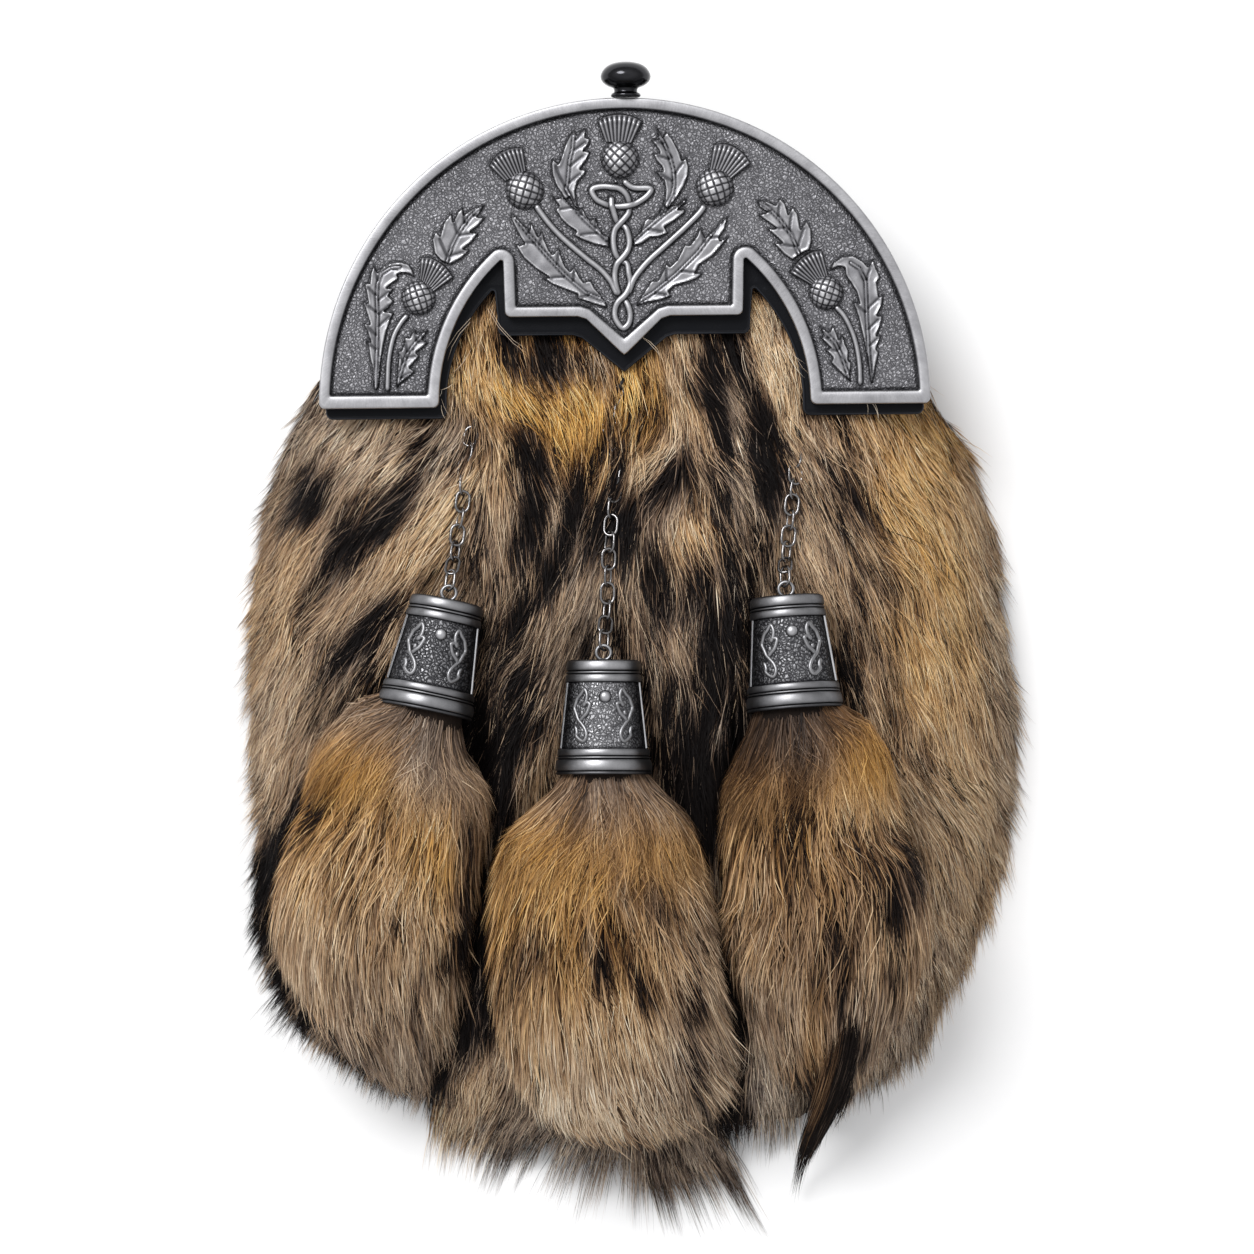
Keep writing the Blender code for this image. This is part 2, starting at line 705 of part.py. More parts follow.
def link_mesh(name):
    """One oval link of round wire, lying in its own XY plane."""
    half_length = (LINK_LENGTH - LINK_WIRE) / 2
    half_width = (LINK_WIDTH - LINK_WIRE) / 2
    straight = half_length - half_width
    route = []
    for end in (1.0, -1.0):
        for i in range(5):
            a = math.radians((-90.0 + 45.0 * i) + (0.0 if end > 0 else 180.0))
            route.append((end * straight + half_width * math.cos(a),
                          half_width * math.sin(a)))
    curve = bpy.data.curves.new(name, 'CURVE')
    curve.dimensions = '3D'
    curve.bevel_depth = LINK_WIRE / 2 * MM
    curve.bevel_resolution = 0
    spline = curve.splines.new('POLY')
    spline.points.add(len(route) - 1)
    for point, (x, y) in zip(spline.points, route):
        point.co = (x * MM, y * MM, 0.0, 1.0)
    spline.use_cyclic_u = True
    obj = bpy.data.objects.new(name, curve)
    bpy.context.scene.collection.objects.link(obj)
    made = curve_to_mesh(obj, name, bpy.context.scene.collection)
    mesh = made.data
    bpy.data.objects.remove(made)
    return mesh


def build_chain(name, layout, mesh, parts, metal):
    for number, (centre, along, on_edge) in enumerate(layout["links"], 1):
        up = Vector((0.0, 0.0, 1.0))
        side = along.cross(up).normalized()
        up = side.cross(along).normalized()
        obj = bpy.data.objects.new("link_%s_%02d" % (name, number), mesh)
        parts.objects.link(obj)
        across = up if on_edge else side
        obj.matrix_world = axes_matrix(centre, along, across,
                                       along.cross(across).normalized())
    mesh.materials.clear()
    mesh.materials.append(metal)


def build_post(name, layout, parts, cutters, metal):
    """A plain post through the fur, with an eye for the chain's first link."""
    x, y, z = layout["post"]
    base = POUCH_ROWS[9][3] + 0.2 + GAP
    along = layout["along"]
    flat = Vector((along.x, along.y, 0.0)).normalized()
    centre = Vector((x, y, z))
    if layout["flat_eye"]:
        foot = centre - flat * EYE_RADIUS
        high = z
    else:
        foot = centre.copy()
        high = z - EYE_RADIUS
    profile = ((0.0, high), (POST_RADIUS, high),
               (POST_RADIUS, base + POST_FLANGE_THICK),
               (POST_FLANGE_RADIUS, base + POST_FLANGE_THICK),
               (POST_FLANGE_RADIUS, base), (0.0, base))
    label = "chain_post_" + name
    mesh = bpy.data.meshes.new(label)
    mesh.from_pydata([(r * MM, 0.0, h * MM) for r, h in profile],
                     [(i, i + 1) for i in range(len(profile) - 1)], [])
    post = add_object(label, mesh, metal, parts)
    screw = post.modifiers.new("Turn", 'SCREW')
    screw.axis = 'Z'
    screw.steps = 12
    screw.render_steps = 12
    screw.use_merge_vertices = True
    screw.merge_threshold = 0.00001
    post.location = (foot.x * MM, foot.y * MM, 0.0)
    bpy.ops.mesh.primitive_torus_add(
        major_segments=12, minor_segments=5, major_radius=EYE_RADIUS * MM,
        minor_radius=EYE_WIRE * MM)
    eye = bpy.context.object
    eye.name = "add_post_eye_" + name
    move_to(eye, cutters)
    up = Vector((0.0, 0.0, 1.0))
    side = flat.cross(up).normalized()
    if layout["flat_eye"]:
        eye.matrix_world = axes_matrix(centre, flat, side, flat.cross(side))
    else:
        eye.matrix_world = axes_matrix(centre, flat, up, flat.cross(up))
    boolean(post, eye, 'UNION')
    return post


def build_knob(parts, metal):
    top = KNOB_ROWS[-1][1]
    mesh = bpy.data.meshes.new("cantle_knob")
    mesh.from_pydata([(r * MM, 0.0, (y - top) * MM) for r, y in KNOB_ROWS],
                     [(i, i + 1) for i in range(len(KNOB_ROWS) - 1)], [])
    knob = add_object("cantle_knob", mesh, metal, parts)
    screw = knob.modifiers.new("Turn", 'SCREW')
    screw.axis = 'Z'
    screw.steps = 24
    screw.render_steps = 24
    screw.use_merge_vertices = True
    screw.merge_threshold = 0.00001
    screw.use_smooth_shade = True
    knob.rotation_euler = (math.radians(-90.0), 0.0, 0.0)
    knob.location = (KNOB_X * MM, top * MM, KNOB_Z * MM)
    return knob


def build_strap(parts, leather):
    """The strap that hinges the flap: from behind the cantle, over the mouth
    of the pouch and down its back, where a belt runs under it."""
    front_z = FLAP_BACK_Z - GAP - STRAP_THICK / 2
    back_z = STRAP_THICK / 2
    radius = (front_z - back_z) / 2
    middle_z = (front_z + back_z) / 2
    path = [(STRAP_FRONT_Y, front_z, 90.0)]
    for i in range(13):
        a = 90.0 - i * 15.0
        path.append((STRAP_FOLD_Y + radius * math.cos(math.radians(a)),
                     middle_z + radius * math.sin(math.radians(a)), a))
    path.append((STRAP_BACK_Y, back_z, -90.0))
    rings = []
    for y, z, angle in path:
        ny, nz = math.cos(math.radians(angle)), math.sin(math.radians(angle))
        h = STRAP_THICK / 2
        rings.append([(-STRAP_HALF_WIDTH, y - ny * h, z - nz * h),
                      (STRAP_HALF_WIDTH, y - ny * h, z - nz * h),
                      (STRAP_HALF_WIDTH, y + ny * h, z + nz * h),
                      (-STRAP_HALF_WIDTH, y + ny * h, z + nz * h)])
    return add_object("hinge_strap", loft("hinge_strap", rings), leather,
                      parts)


def thistle_head(row):
    """A low dome: circles that shrink as they rise, rooted in the plate."""
    root = CANTLE_FIELD_Z - 0.7
    levels = [(1.0, root)]
    for i in range(5):
        a = math.radians(i * 19.0)
        levels.append((math.cos(a), CANTLE_FIELD_Z + row["rise"] * math.sin(a)))
    rings = []
    for scale, z in levels:
        radius = row["radius"] * scale
        rings.append([(row["x"] + radius * math.cos(math.radians(k * 30.0)),
                       row["y"] + radius * math.sin(math.radians(k * 30.0)), z)
                      for k in range(12)])
    return rings


def thistle_crown(row):
    """The fan of petals above a head: a half-round bar that widens."""
    lean = math.radians(90.0 + row["lean_deg"])
    ux, uy = math.cos(lean), math.sin(lean)
    root = CANTLE_FIELD_Z - 0.45
    rings = []
    for along, half_width, rise in ((0.35, 0.8, 0.5), (1.25, 0.9, 0.62),
                                    (2.45, 1.2, 0.62)):
        x = row["x"] + ux * row["radius"] * along
        y = row["y"] + uy * row["radius"] * along
        w, h = row["radius"] * half_width, row["rise"] * rise
        ring = []
        for side, z in ((-1.0, root), (1.0, root), (1.0, CANTLE_FIELD_Z + 0.3),
                        (0.6, CANTLE_FIELD_Z + 0.8 * h),
                        (0.0, CANTLE_FIELD_Z + h),
                        (-0.6, CANTLE_FIELD_Z + 0.8 * h),
                        (-1.0, CANTLE_FIELD_Z + 0.3)):
            ring.append((x - uy * w * side, y + ux * w * side, z))
        rings.append(ring)
    return rings


def build_cantle(outlines, parts, cutters, metal):
    cantle = add_object("cantle", plate("cantle", outlines["cantle"],
                                        CANTLE_BACK_Z, CANTLE_FRONT_Z),
                        metal, parts)
    field = add_object("cut_cantle_field",
                       plate("cut_cantle_field", outlines["field"],
                             CANTLE_FIELD_Z, CANTLE_FRONT_Z + 2.0),
                       None, cutters)
    boolean(cantle, field, 'DIFFERENCE')
    for number, row in enumerate(rows(THISTLE_COLUMNS, THISTLE_ROWS)):
        for part, rings in (("head", thistle_head(row)),
                            ("crown", thistle_crown(row))):
            label = "add_thistle_%s_%d" % (part, number)
            raised = add_object(label, loft(label, rings), None, cutters)
            boolean(cantle, raised, 'UNION')
    return cantle


def main():
    for obj in list(bpy.data.objects):
        bpy.data.objects.remove(obj)
    parts = bpy.data.collections.new("sporran_pouch")
    cutters = bpy.data.collections.new("cutters")
    bpy.context.scene.collection.children.link(parts)
    bpy.context.scene.collection.children.link(cutters)

    leather = make_material("black_leather", (0.015, 0.014, 0.014), 0.5, 0.0)
    fur_brown = make_material("fur", (0.20, 0.12, 0.06), 0.8, 0.0)
    pewter = make_material("antique_pewter", (0.42, 0.42, 0.41), 0.35, 1.0)
    gunmetal = make_material("gunmetal", (0.16, 0.16, 0.16), 0.3, 1.0)

    outlines = {row["name"]: cantle_outline(row)
                for row in rows(OUTLINE_COLUMNS, OUTLINE_ROWS)}
    bells = {row["name"]: row for row in rows(BELL_COLUMNS, BELL_ROWS)}

    fur = Fur(outlines["flap"])
    chains = {name: chain_layout(name, fur, bells[name]) for name in bells}
    for name, row in bells.items():
        fur.clear_of.append(under_tassel(row, 1.3))
        fur.clear_of.append(under_chain(chains[name], 3.4))

    build_cantle(outlines, parts, cutters, pewter)
    build_knob(parts, gunmetal)
    add_object("flap", plate("flap", outlines["flap"], FLAP_BACK_Z,
                             FLAP_BACK_Z + FLAP_THICK), leather, parts)
    build_strap(parts, leather)
    build_pouch(parts, cutters, leather)
    build_fur(fur, chains, parts, cutters, fur_brown)
    link = link_mesh("chain_link")
    for name, row in bells.items():
        build_post(name, chains[name], parts, cutters, gunmetal)
        build_chain(name, chains[name], link, parts, gunmetal)
        build_bell(row, parts, cutters, gunmetal)
        build_tassel(row, parts, fur_brown)


main()
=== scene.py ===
"""Looks of a full-dress sporran pouch lying on its back.

Tables are in millimetres in the frame's axes: +X right, +Y up along the
object, +Z the front.  The ornament is charted on the sheet it is drawn on, in
quarter millimetres with Y down, and turned into the frame by sheet().
"""
import math

import bpy
import numpy as np
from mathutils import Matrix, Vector
from mathutils.geometry import delaunay_2d_cdt, tessellate_polygon


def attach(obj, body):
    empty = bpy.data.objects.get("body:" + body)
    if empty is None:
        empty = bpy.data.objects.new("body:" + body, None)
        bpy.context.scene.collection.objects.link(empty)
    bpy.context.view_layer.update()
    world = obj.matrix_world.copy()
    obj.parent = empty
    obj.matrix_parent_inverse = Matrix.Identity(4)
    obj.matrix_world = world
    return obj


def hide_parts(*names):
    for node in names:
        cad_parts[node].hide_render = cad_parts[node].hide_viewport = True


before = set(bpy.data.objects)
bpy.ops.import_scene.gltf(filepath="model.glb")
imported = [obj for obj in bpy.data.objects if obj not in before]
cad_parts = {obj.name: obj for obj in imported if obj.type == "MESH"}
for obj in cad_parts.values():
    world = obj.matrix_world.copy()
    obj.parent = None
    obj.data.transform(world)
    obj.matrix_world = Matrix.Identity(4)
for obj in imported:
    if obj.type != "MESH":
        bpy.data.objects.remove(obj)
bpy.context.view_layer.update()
MM = 0.001
RNG = np.random.default_rng(4711)

# ------------------------------------------------------------ the outlines --
CANTLE_CENTRE_Y = 55.9
PLATE_BACK_Z = 34.3
FIELD_Z = 35.7
RIM_Z = 37.3
OUTLINES = {
    "cantle": dict(radius=76.4, foot_y=55.2, arm_x=46.4, arm_height=48.6,
                   apex_x=30.6, apex_y=91.4, notch=0.5, step_x=29.8,
                   step_y=77.7, point_x=10.4, point_y=68.0, corner=1.6),
    "field": dict(radius=73.7, foot_y=58.5, arm_x=49.3, arm_height=51.4,
                  apex_x=30.6, apex_y=91.5, notch=3.3, step_x=27.0,
                  step_y=80.3, point_x=9.6, point_y=72.2, corner=0.5),
    "flap": dict(radius=74.9, foot_y=52.6, arm_x=44.6, arm_height=45.2,
                 apex_x=32.8, apex_y=84.0, notch=0.5, step_x=31.6,
                 step_y=73.2, point_x=11.6, point_y=63.9, corner=1.8),
}


# ============================================================== small tools ==
def sheet(points):
    """Points of the drawing sheet, in quarter millimetres, as X and Y."""
    p = np.asarray(points, float)
    u, v = (p[:, 0] - 627.0) / 4.0, (627.0 - p[:, 1]) / 4.0
    return np.stack([u + 0.00986 * v, v - 0.00986 * u], 1)


def smooth_table(keys, values):
    """A monotone cubic through a table, for arrays."""
    order = np.argsort(keys)
    x, y = np.asarray(keys, float)[order], np.asarray(values, float)[order]
    step = np.diff(y) / np.diff(x)
    slope = np.zeros_like(y)
    slope[0], slope[-1] = step[0], step[-1]
    for i in range(1, len(y) - 1):
        if step[i - 1] * step[i] > 0:
            slope[i] = 2 * step[i - 1] * step[i] / (step[i - 1] + step[i])

    def value(at):
        at = np.clip(at, x[0], x[-1])
        i = np.clip(np.searchsorted(x, at) - 1, 0, len(x) - 2)
        h = x[i + 1] - x[i]
        t = (at - x[i]) / h
        return ((2 * t ** 3 - 3 * t ** 2 + 1) * y[i]
                + (t ** 3 - 2 * t ** 2 + t) * h * slope[i]
                + (3 * t ** 2 - 2 * t ** 3) * y[i + 1]
                + (t ** 3 - t ** 2) * h * slope[i + 1])
    return value


def segment_distance(a, b, pts):
    """Distance of points to one segment."""
    d = b - a
    size = float(d @ d)
    t = np.clip(((pts - a) @ d) / max(size, 1e-12), 0.0, 1.0)
    return np.hypot(pts[:, 0] - a[0] - t * d[0], pts[:, 1] - a[1] - t * d[1])


def line_distance(line, pts):
    best = np.full(len(pts), 1e9)
    for a, b in zip(line[:-1], line[1:]):
        best = np.minimum(best, segment_distance(a, b, pts))
    return best


def outline_distance(outline, pts):
    """Signed distance to a closed outline: negative inside."""
    inside = np.zeros(len(pts), bool)
    best = np.full(len(pts), 1e9)
    x, y = pts[:, 0], pts[:, 1]
    for i in range(len(outline)):
        a, b = outline[i], outline[(i + 1) % len(outline)]
        best = np.minimum(best, segment_distance(a, b, pts))
        if a[1] != b[1]:
            crosses = (a[1] > y) != (b[1] > y)
            inside ^= crosses & (x < (b[0] - a[0]) * (y - a[1])
                                 / (b[1] - a[1]) + a[0])
    return np.where(inside, -best, best)


def resample(line, step, closed=False):
    """A polyline at even steps."""
    pts = np.asarray(line, float)
    if closed:
        pts = np.vstack([pts, pts[:1]])
    seg = np.linalg.norm(np.diff(pts, axis=0), axis=1)
    pts = pts[np.concatenate([[True], seg > 1e-9])]
    seg = np.linalg.norm(np.diff(pts, axis=0), axis=1)
    s = np.concatenate([[0.0], np.cumsum(seg)])
    count = max(int(round(s[-1] / step)), 2)
    at = np.linspace(0.0, s[-1], count + 1)
    made = np.stack([np.interp(at, s, pts[:, k]) for k in range(pts.shape[1])], 1)
    return made[:-1] if closed else made


def catmull(points, per_span=8):
    """A smooth line through points of any dimension."""
    p = np.asarray(points, float)
    made = []
    for i in range(len(p) - 1):
        p0, p1 = p[max(i - 1, 0)], p[i]
        p2, p3 = p[i + 1], p[min(i + 2, len(p) - 1)]
        for k in range(per_span):
            t = k / per_span
            made.append(0.5 * (2 * p1 + (p2 - p0) * t
                               + (2 * p0 - 5 * p1 + 4 * p2 - p3) * t * t
                               + (3 * p1 - p0 - 3 * p2 + p3) * t ** 3))
    made.append(p[-1])
    return np.array(made)


def hash01(ix, iy, seed):
    """A fixed pseudo-random number in 0..1 for each whole-number cell."""
    h = (ix.astype(np.int64) * 374761393 + iy.astype(np.int64) * 668265263
         + seed * 1274126177) & 0xFFFFFFFF
    h = ((h ^ (h >> 13)) * 1274126177) & 0xFFFFFFFF
    h = (h ^ (h >> 16)) & 0xFFFFFF
    return h / float(0xFFFFFF)


def cells(x, y, size, seed):
    """Distances to the nearest and the second jittered cell point, and the
    nearest cell's own random number."""
    gx, gy = x / size, y / size
    ix, iy = np.floor(gx).astype(int), np.floor(gy).astype(int)
    first = np.full(x.shape, 9.0)
    second = np.full(x.shape, 9.0)
    own = np.zeros(x.shape)
    for dx in (-1, 0, 1):
        for dy in (-1, 0, 1):
            cx, cy = ix + dx, iy + dy
            px = cx + 0.15 + 0.7 * hash01(cx, cy, seed)
            py = cy + 0.15 + 0.7 * hash01(cx, cy, seed + 1)
            d = np.hypot(px - gx, py - gy)
            closer = d < first
            second = np.where(closer, first, np.minimum(second, d))
            own = np.where(closer, hash01(cx, cy, seed + 2), own)
            first = np.where(closer, d, first)
    return first * size, second * size, own


def value_noise(x, y, size, seed):
    """Smooth noise in -1..1."""
    gx, gy = np.asarray(x) / size, np.asarray(y) / size
    ix, iy = np.floor(gx).astype(int), np.floor(gy).astype(int)
    fx, fy = gx - ix, gy - iy
    fx, fy = fx * fx * (3 - 2 * fx), fy * fy * (3 - 2 * fy)
    a, b = hash01(ix, iy, seed), hash01(ix + 1, iy, seed)
    c, d = hash01(ix, iy + 1, seed), hash01(ix + 1, iy + 1, seed)
    return ((a * (1 - fx) + b * fx) * (1 - fy)
            + (c * (1 - fx) + d * fx) * fy) * 2.0 - 1.0


def smoothstep(low, high, value):
    t = np.clip((value - low) / (high - low), 0.0, 1.0)
    return t * t * (3.0 - 2.0 * t)


def grid_faces(rows, cols, wrap_rows=False, wrap_cols=False):
    """Quads of a grid whose points are numbered row by row."""
    r = np.arange(rows if wrap_rows else rows - 1)
    c = np.arange(cols if wrap_cols else cols - 1)
    rr, cc = np.meshgrid(r, c, indexing="ij")
    r2, c2 = (rr + 1) % rows, (cc + 1) % cols
    return np.stack([rr * cols + cc, rr * cols + c2,
                     r2 * cols + c2, r2 * cols + cc], -1).reshape(-1, 4)


def raw_mesh(name, verts, quads, tris, smooth=True):
    """A mesh from arrays: vertices in millimetres, quads and triangles."""
    mesh = bpy.data.meshes.new(name)
    quads = np.asarray(quads, np.int32).reshape(-1, 4)
    tris = np.asarray(tris, np.int32).reshape(-1, 3)
    loops = np.concatenate([quads.ravel(), tris.ravel()])
    starts = np.concatenate([np.arange(len(quads)) * 4,
                             len(quads) * 4 + np.arange(len(tris)) * 3])
    mesh.vertices.add(len(verts))
    mesh.vertices.foreach_set(
        "co", (np.asarray(verts, np.float32) * MM).ravel())
    mesh.loops.add(len(loops))
    mesh.loops.foreach_set("vertex_index", loops.astype(np.int32))
    mesh.polygons.add(len(starts))
    mesh.polygons.foreach_set("loop_start", starts.astype(np.int32))
    mesh.update(calc_edges=True)
    if smooth:
        mesh.shade_smooth()
    return mesh


class Pile:
    """Several bodies joined into one mesh, with a shade for each vertex: 0 in
    the darkest recess, 1 on the most rubbed height; on the bells it also
    holds painted shade, and on the leather flap a painted highlight."""

    def __init__(self):
        self.v, self.q, self.t, self.s, self.b = [], [], [], [], []
        self.count = 0

    def add(self, verts, quads=None, tris=None, shade=1.0, brush=None):
        verts = np.asarray(verts, float).reshape(-1, 3)
        n = len(verts)
        if quads is not None and len(quads):
            self.q.append(np.asarray(quads, int) + self.count)
        if tris is not None and len(tris):
            self.t.append(np.asarray(tris, int) + self.count)
        self.v.append(verts)
        self.s.append(np.broadcast_to(np.asarray(shade, float), (n,)))
        if brush is None:
            brush = np.zeros((n, 3))
        self.b.append(brush)
        self.count += n

    def triangles(self):
        return sum(len(q) for q in self.q) * 2 + sum(len(t) for t in self.t)

    def make(self, name, material, slot, replaces=(), sharp_deg=None):
        quads = np.concatenate(self.q) if self.q else []
        tris = np.concatenate(self.t) if self.t else []
        mesh = raw_mesh(name, np.concatenate(self.v), quads, tris)
        if sharp_deg is not None:
            mesh.set_sharp_from_angle(angle=math.radians(sharp_deg))
        shade = mesh.attributes.new("shade", 'FLOAT', 'POINT')
        shade.data.foreach_set(
            "value", np.concatenate(self.s).astype(np.float32))
        brush = mesh.attributes.new("brush", 'FLOAT_VECTOR', 'POINT')
        brush.data.foreach_set(
            "vector", np.concatenate(self.b).astype(np.float32).ravel())
        return place(name, mesh, material, replaces)


def place(name, mesh, material, replaces=()):
    obj = bpy.data.objects.new(name, mesh)
    bpy.context.scene.collection.objects.link(obj)
    mesh.materials.append(material)
    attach(obj, "root")
    if replaces:
        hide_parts(*replaces)
    return obj


def tube(pile, line, radius, sides=8, closed=False, shade=1.0, squash=1.0,
         normal=None):
    """A round rod along a line, radius a number or one for each point."""
    line = np.asarray(line, float)
    n = len(line)
    radius = np.broadcast_to(np.asarray(radius, float), (n,))
    if closed:
        tangent = np.roll(line, -1, 0) - np.roll(line, 1, 0)
    else:
        tangent = np.gradient(line, axis=0)
    tangent /= np.linalg.norm(tangent, axis=1)[:, None] + 1e-12
    up = np.array([0.0, 0.0, 1.0]) if normal is None else np.asarray(normal, float)
    side = np.cross(tangent, up)
    size = np.linalg.norm(side, axis=1)
    bad = size < 1e-3
    side[bad] = np.cross(tangent[bad], np.array([1.0, 0.0, 0.0]))
    side /= np.linalg.norm(side, axis=1)[:, None]
    lift = np.cross(side, tangent)
    a = np.arange(sides) * 2 * math.pi / sides
    ring = (line[:, None, :]
            + (side[:, None, :] * np.cos(a)[None, :, None]
               + lift[:, None, :] * squash * np.sin(a)[None, :, None])
            * radius[:, None, None])
    quads = grid_faces(n, sides, wrap_rows=closed, wrap_cols=True)[:, ::-1]
    verts = ring.reshape(-1, 3)
    tris = None
    if not closed:
        verts = np.vstack([verts, line[0], line[-1]])
        k = np.arange(sides)
        first = np.stack([np.full(sides, n * sides), (k + 1) % sides, k], 1)[:, ::-1]
        last = np.stack([np.full(sides, n * sides + 1), (n - 1) * sides + k,
                         (n - 1) * sides + (k + 1) % sides], 1)[:, ::-1]
        tris = np.vstack([first, last])
        if np.ndim(shade):
            shade = np.concatenate([np.repeat(shade, sides), shade[[0, -1]]])
    elif np.ndim(shade):
        shade = np.repeat(shade, sides)
    pile.add(verts, quads, tris, shade)


def turned(pile, profile, origin, axis, up, sides=96, shade=1.0, bumps=None):
    """A lathe shape: profile rows are radius and height; the shade is given apart."""
    profile = np.asarray(profile, float)
    axis = np.asarray(axis, float)
    axis /= np.linalg.norm(axis)
    side = np.cross(up, axis)
    side /= np.linalg.norm(side)
    front = np.cross(axis, side)
    a = np.arange(sides) * 2 * math.pi / sides
    radius = np.repeat(profile[:, 0][:, None], sides, 1)
    if bumps is not None:
        radius = radius + bumps
    ring = (np.asarray(origin, float)[None, None, :]
            + side[None, None, :] * (radius * np.cos(a)[None, :])[:, :, None]
            + front[None, None, :] * (radius * np.sin(a)[None, :])[:, :, None]
            + axis[None, None, :] * profile[:, 1][:, None, None])
    quads = grid_faces(len(profile), sides, wrap_cols=True)
    pile.add(ring.reshape(-1, 3), quads, None, shade)
    return side, front


def cantle_outline(row, fine=1):
    """A half disc whose lower edge is cut into two arms and a pointed middle,
    with a narrow notch between, as points with the same numbering for each
    row of the table."""
    cy, r = CANTLE_CENTRE_Y, row["radius"]
    foot, corner, notch = row["foot_y"], row["corner"], row["notch"]
    edge = r * math.sqrt(1.0 - ((foot + corner - cy) / r) ** 2)
    low = math.asin((foot + corner - cy) / r)
    right = []
    steps = 24 * fine
    for i in range(steps + 1):
        a = math.pi / 2 + (low - math.pi / 2) * i / steps
        right.append((r * math.cos(a), cy + r * math.sin(a)))
    steps = 3 * fine
    for i in range(1, steps + 1):
        a = math.radians(-i * 90.0 / steps)
        right.append((edge - corner + corner * math.cos(a),
                      foot + corner + corner * math.sin(a)))
    flat = right[-1]
    for i in range(1, 6 * fine):
        t = i / (6.0 * fine)
        right.append((flat[0] + (row["arm_x"] + corner - flat[0]) * t, foot))
    for i in range(steps + 1):
        a = math.radians(-90.0 - i * 90.0 / steps)
        right.append((row["arm_x"] + corner + corner * math.cos(a),
                      foot + corner + corner * math.sin(a)))
    y0 = 56.0
    top = math.asin((row["apex_y"] + 0.7 * notch - y0) / row["arm_height"])
    reach = row["arm_x"] * math.cos(top)
    start = max((foot + corner - y0) / row["arm_height"], 0.0) + 0.06
    steps = 10 * fine
    for i in range(steps):
        t = i / (steps - 1)
        a = start + (top - start) * t
        x = row["arm_x"] * math.cos(a)
        x += (row["apex_x"] + 0.7 * notch - reach) * t ** 2
        right.append((x, y0 + row["arm_height"] * math.sin(a)))
    steps = 4 * fine
    for i in range(1, steps + 1):
        a = math.radians(45.0 + i * 135.0 / steps)
        right.append((row["apex_x"] + notch * math.cos(a),
                      row["apex_y"] + notch * math.sin(a)))
    knee = (row["step_x"] + 0.1, row["step_y"] + 4.5)
    last = right[-1]
    for i in range(1, 2 * fine + 1):
        t = i / (2.0 * fine)
        right.append((last[0] + (knee[0] - last[0]) * t,
                      last[1] + (knee[1] - last[1]) * t))
    steps = 3 * fine
    for i in range(steps + 1):
        a = math.radians(-i * 90.0 / steps)
        right.append((row["step_x"] - corner + corner * math.cos(a),
                      row["step_y"] + corner + corner * math.sin(a)))
    last, turn = right[-1], (row["point_x"] + 1.2, row["step_y"])
    for i in range(1, 3 * fine + 1):
        t = i / (3.0 * fine)
        right.append((last[0] + (turn[0] - last[0]) * t,
                      last[1] + (turn[1] - last[1]) * t))
    last, end = (row["point_x"] - 1.0, row["step_y"] - 0.7), \
        (0.9, row["point_y"] + 0.7)
    for i in range(2 * fine + 1):
        t = i / (2.0 * fine)
        right.append((last[0] + (end[0] - last[0]) * t,
                      last[1] + (end[1] - last[1]) * t))
    left = [(-x, y) for x, y in right[1:]][::-1]
    return np.array(right + [(0.0, row["point_y"])] + left)


def inset(outline, amount):
    """An outline moved inwards along its corners' bisectors."""
    before = outline - np.roll(outline, 1, 0)
    after = np.roll(outline, -1, 0) - outline
    before /= np.linalg.norm(before, axis=1)[:, None] + 1e-12
    after /= np.linalg.norm(after, axis=1)[:, None] + 1e-12
    tangent = before + after
    tangent /= np.linalg.norm(tangent, axis=1)[:, None] + 1e-12
    normal = np.stack([-tangent[:, 1], tangent[:, 0]], 1)
    area = np.sum(outline[:, 0] * np.roll(outline[:, 1], -1)
                  - np.roll(outline[:, 0], -1) * outline[:, 1])
    if area < 0:
        normal = -normal
    return outline + normal * amount


def cap(outline):
    """Triangles that fill a closed outline, numbered as its points."""
    return np.array(tessellate_polygon(
        [[Vector((float(x), float(y), 0.0)) for x, y in outline]]))


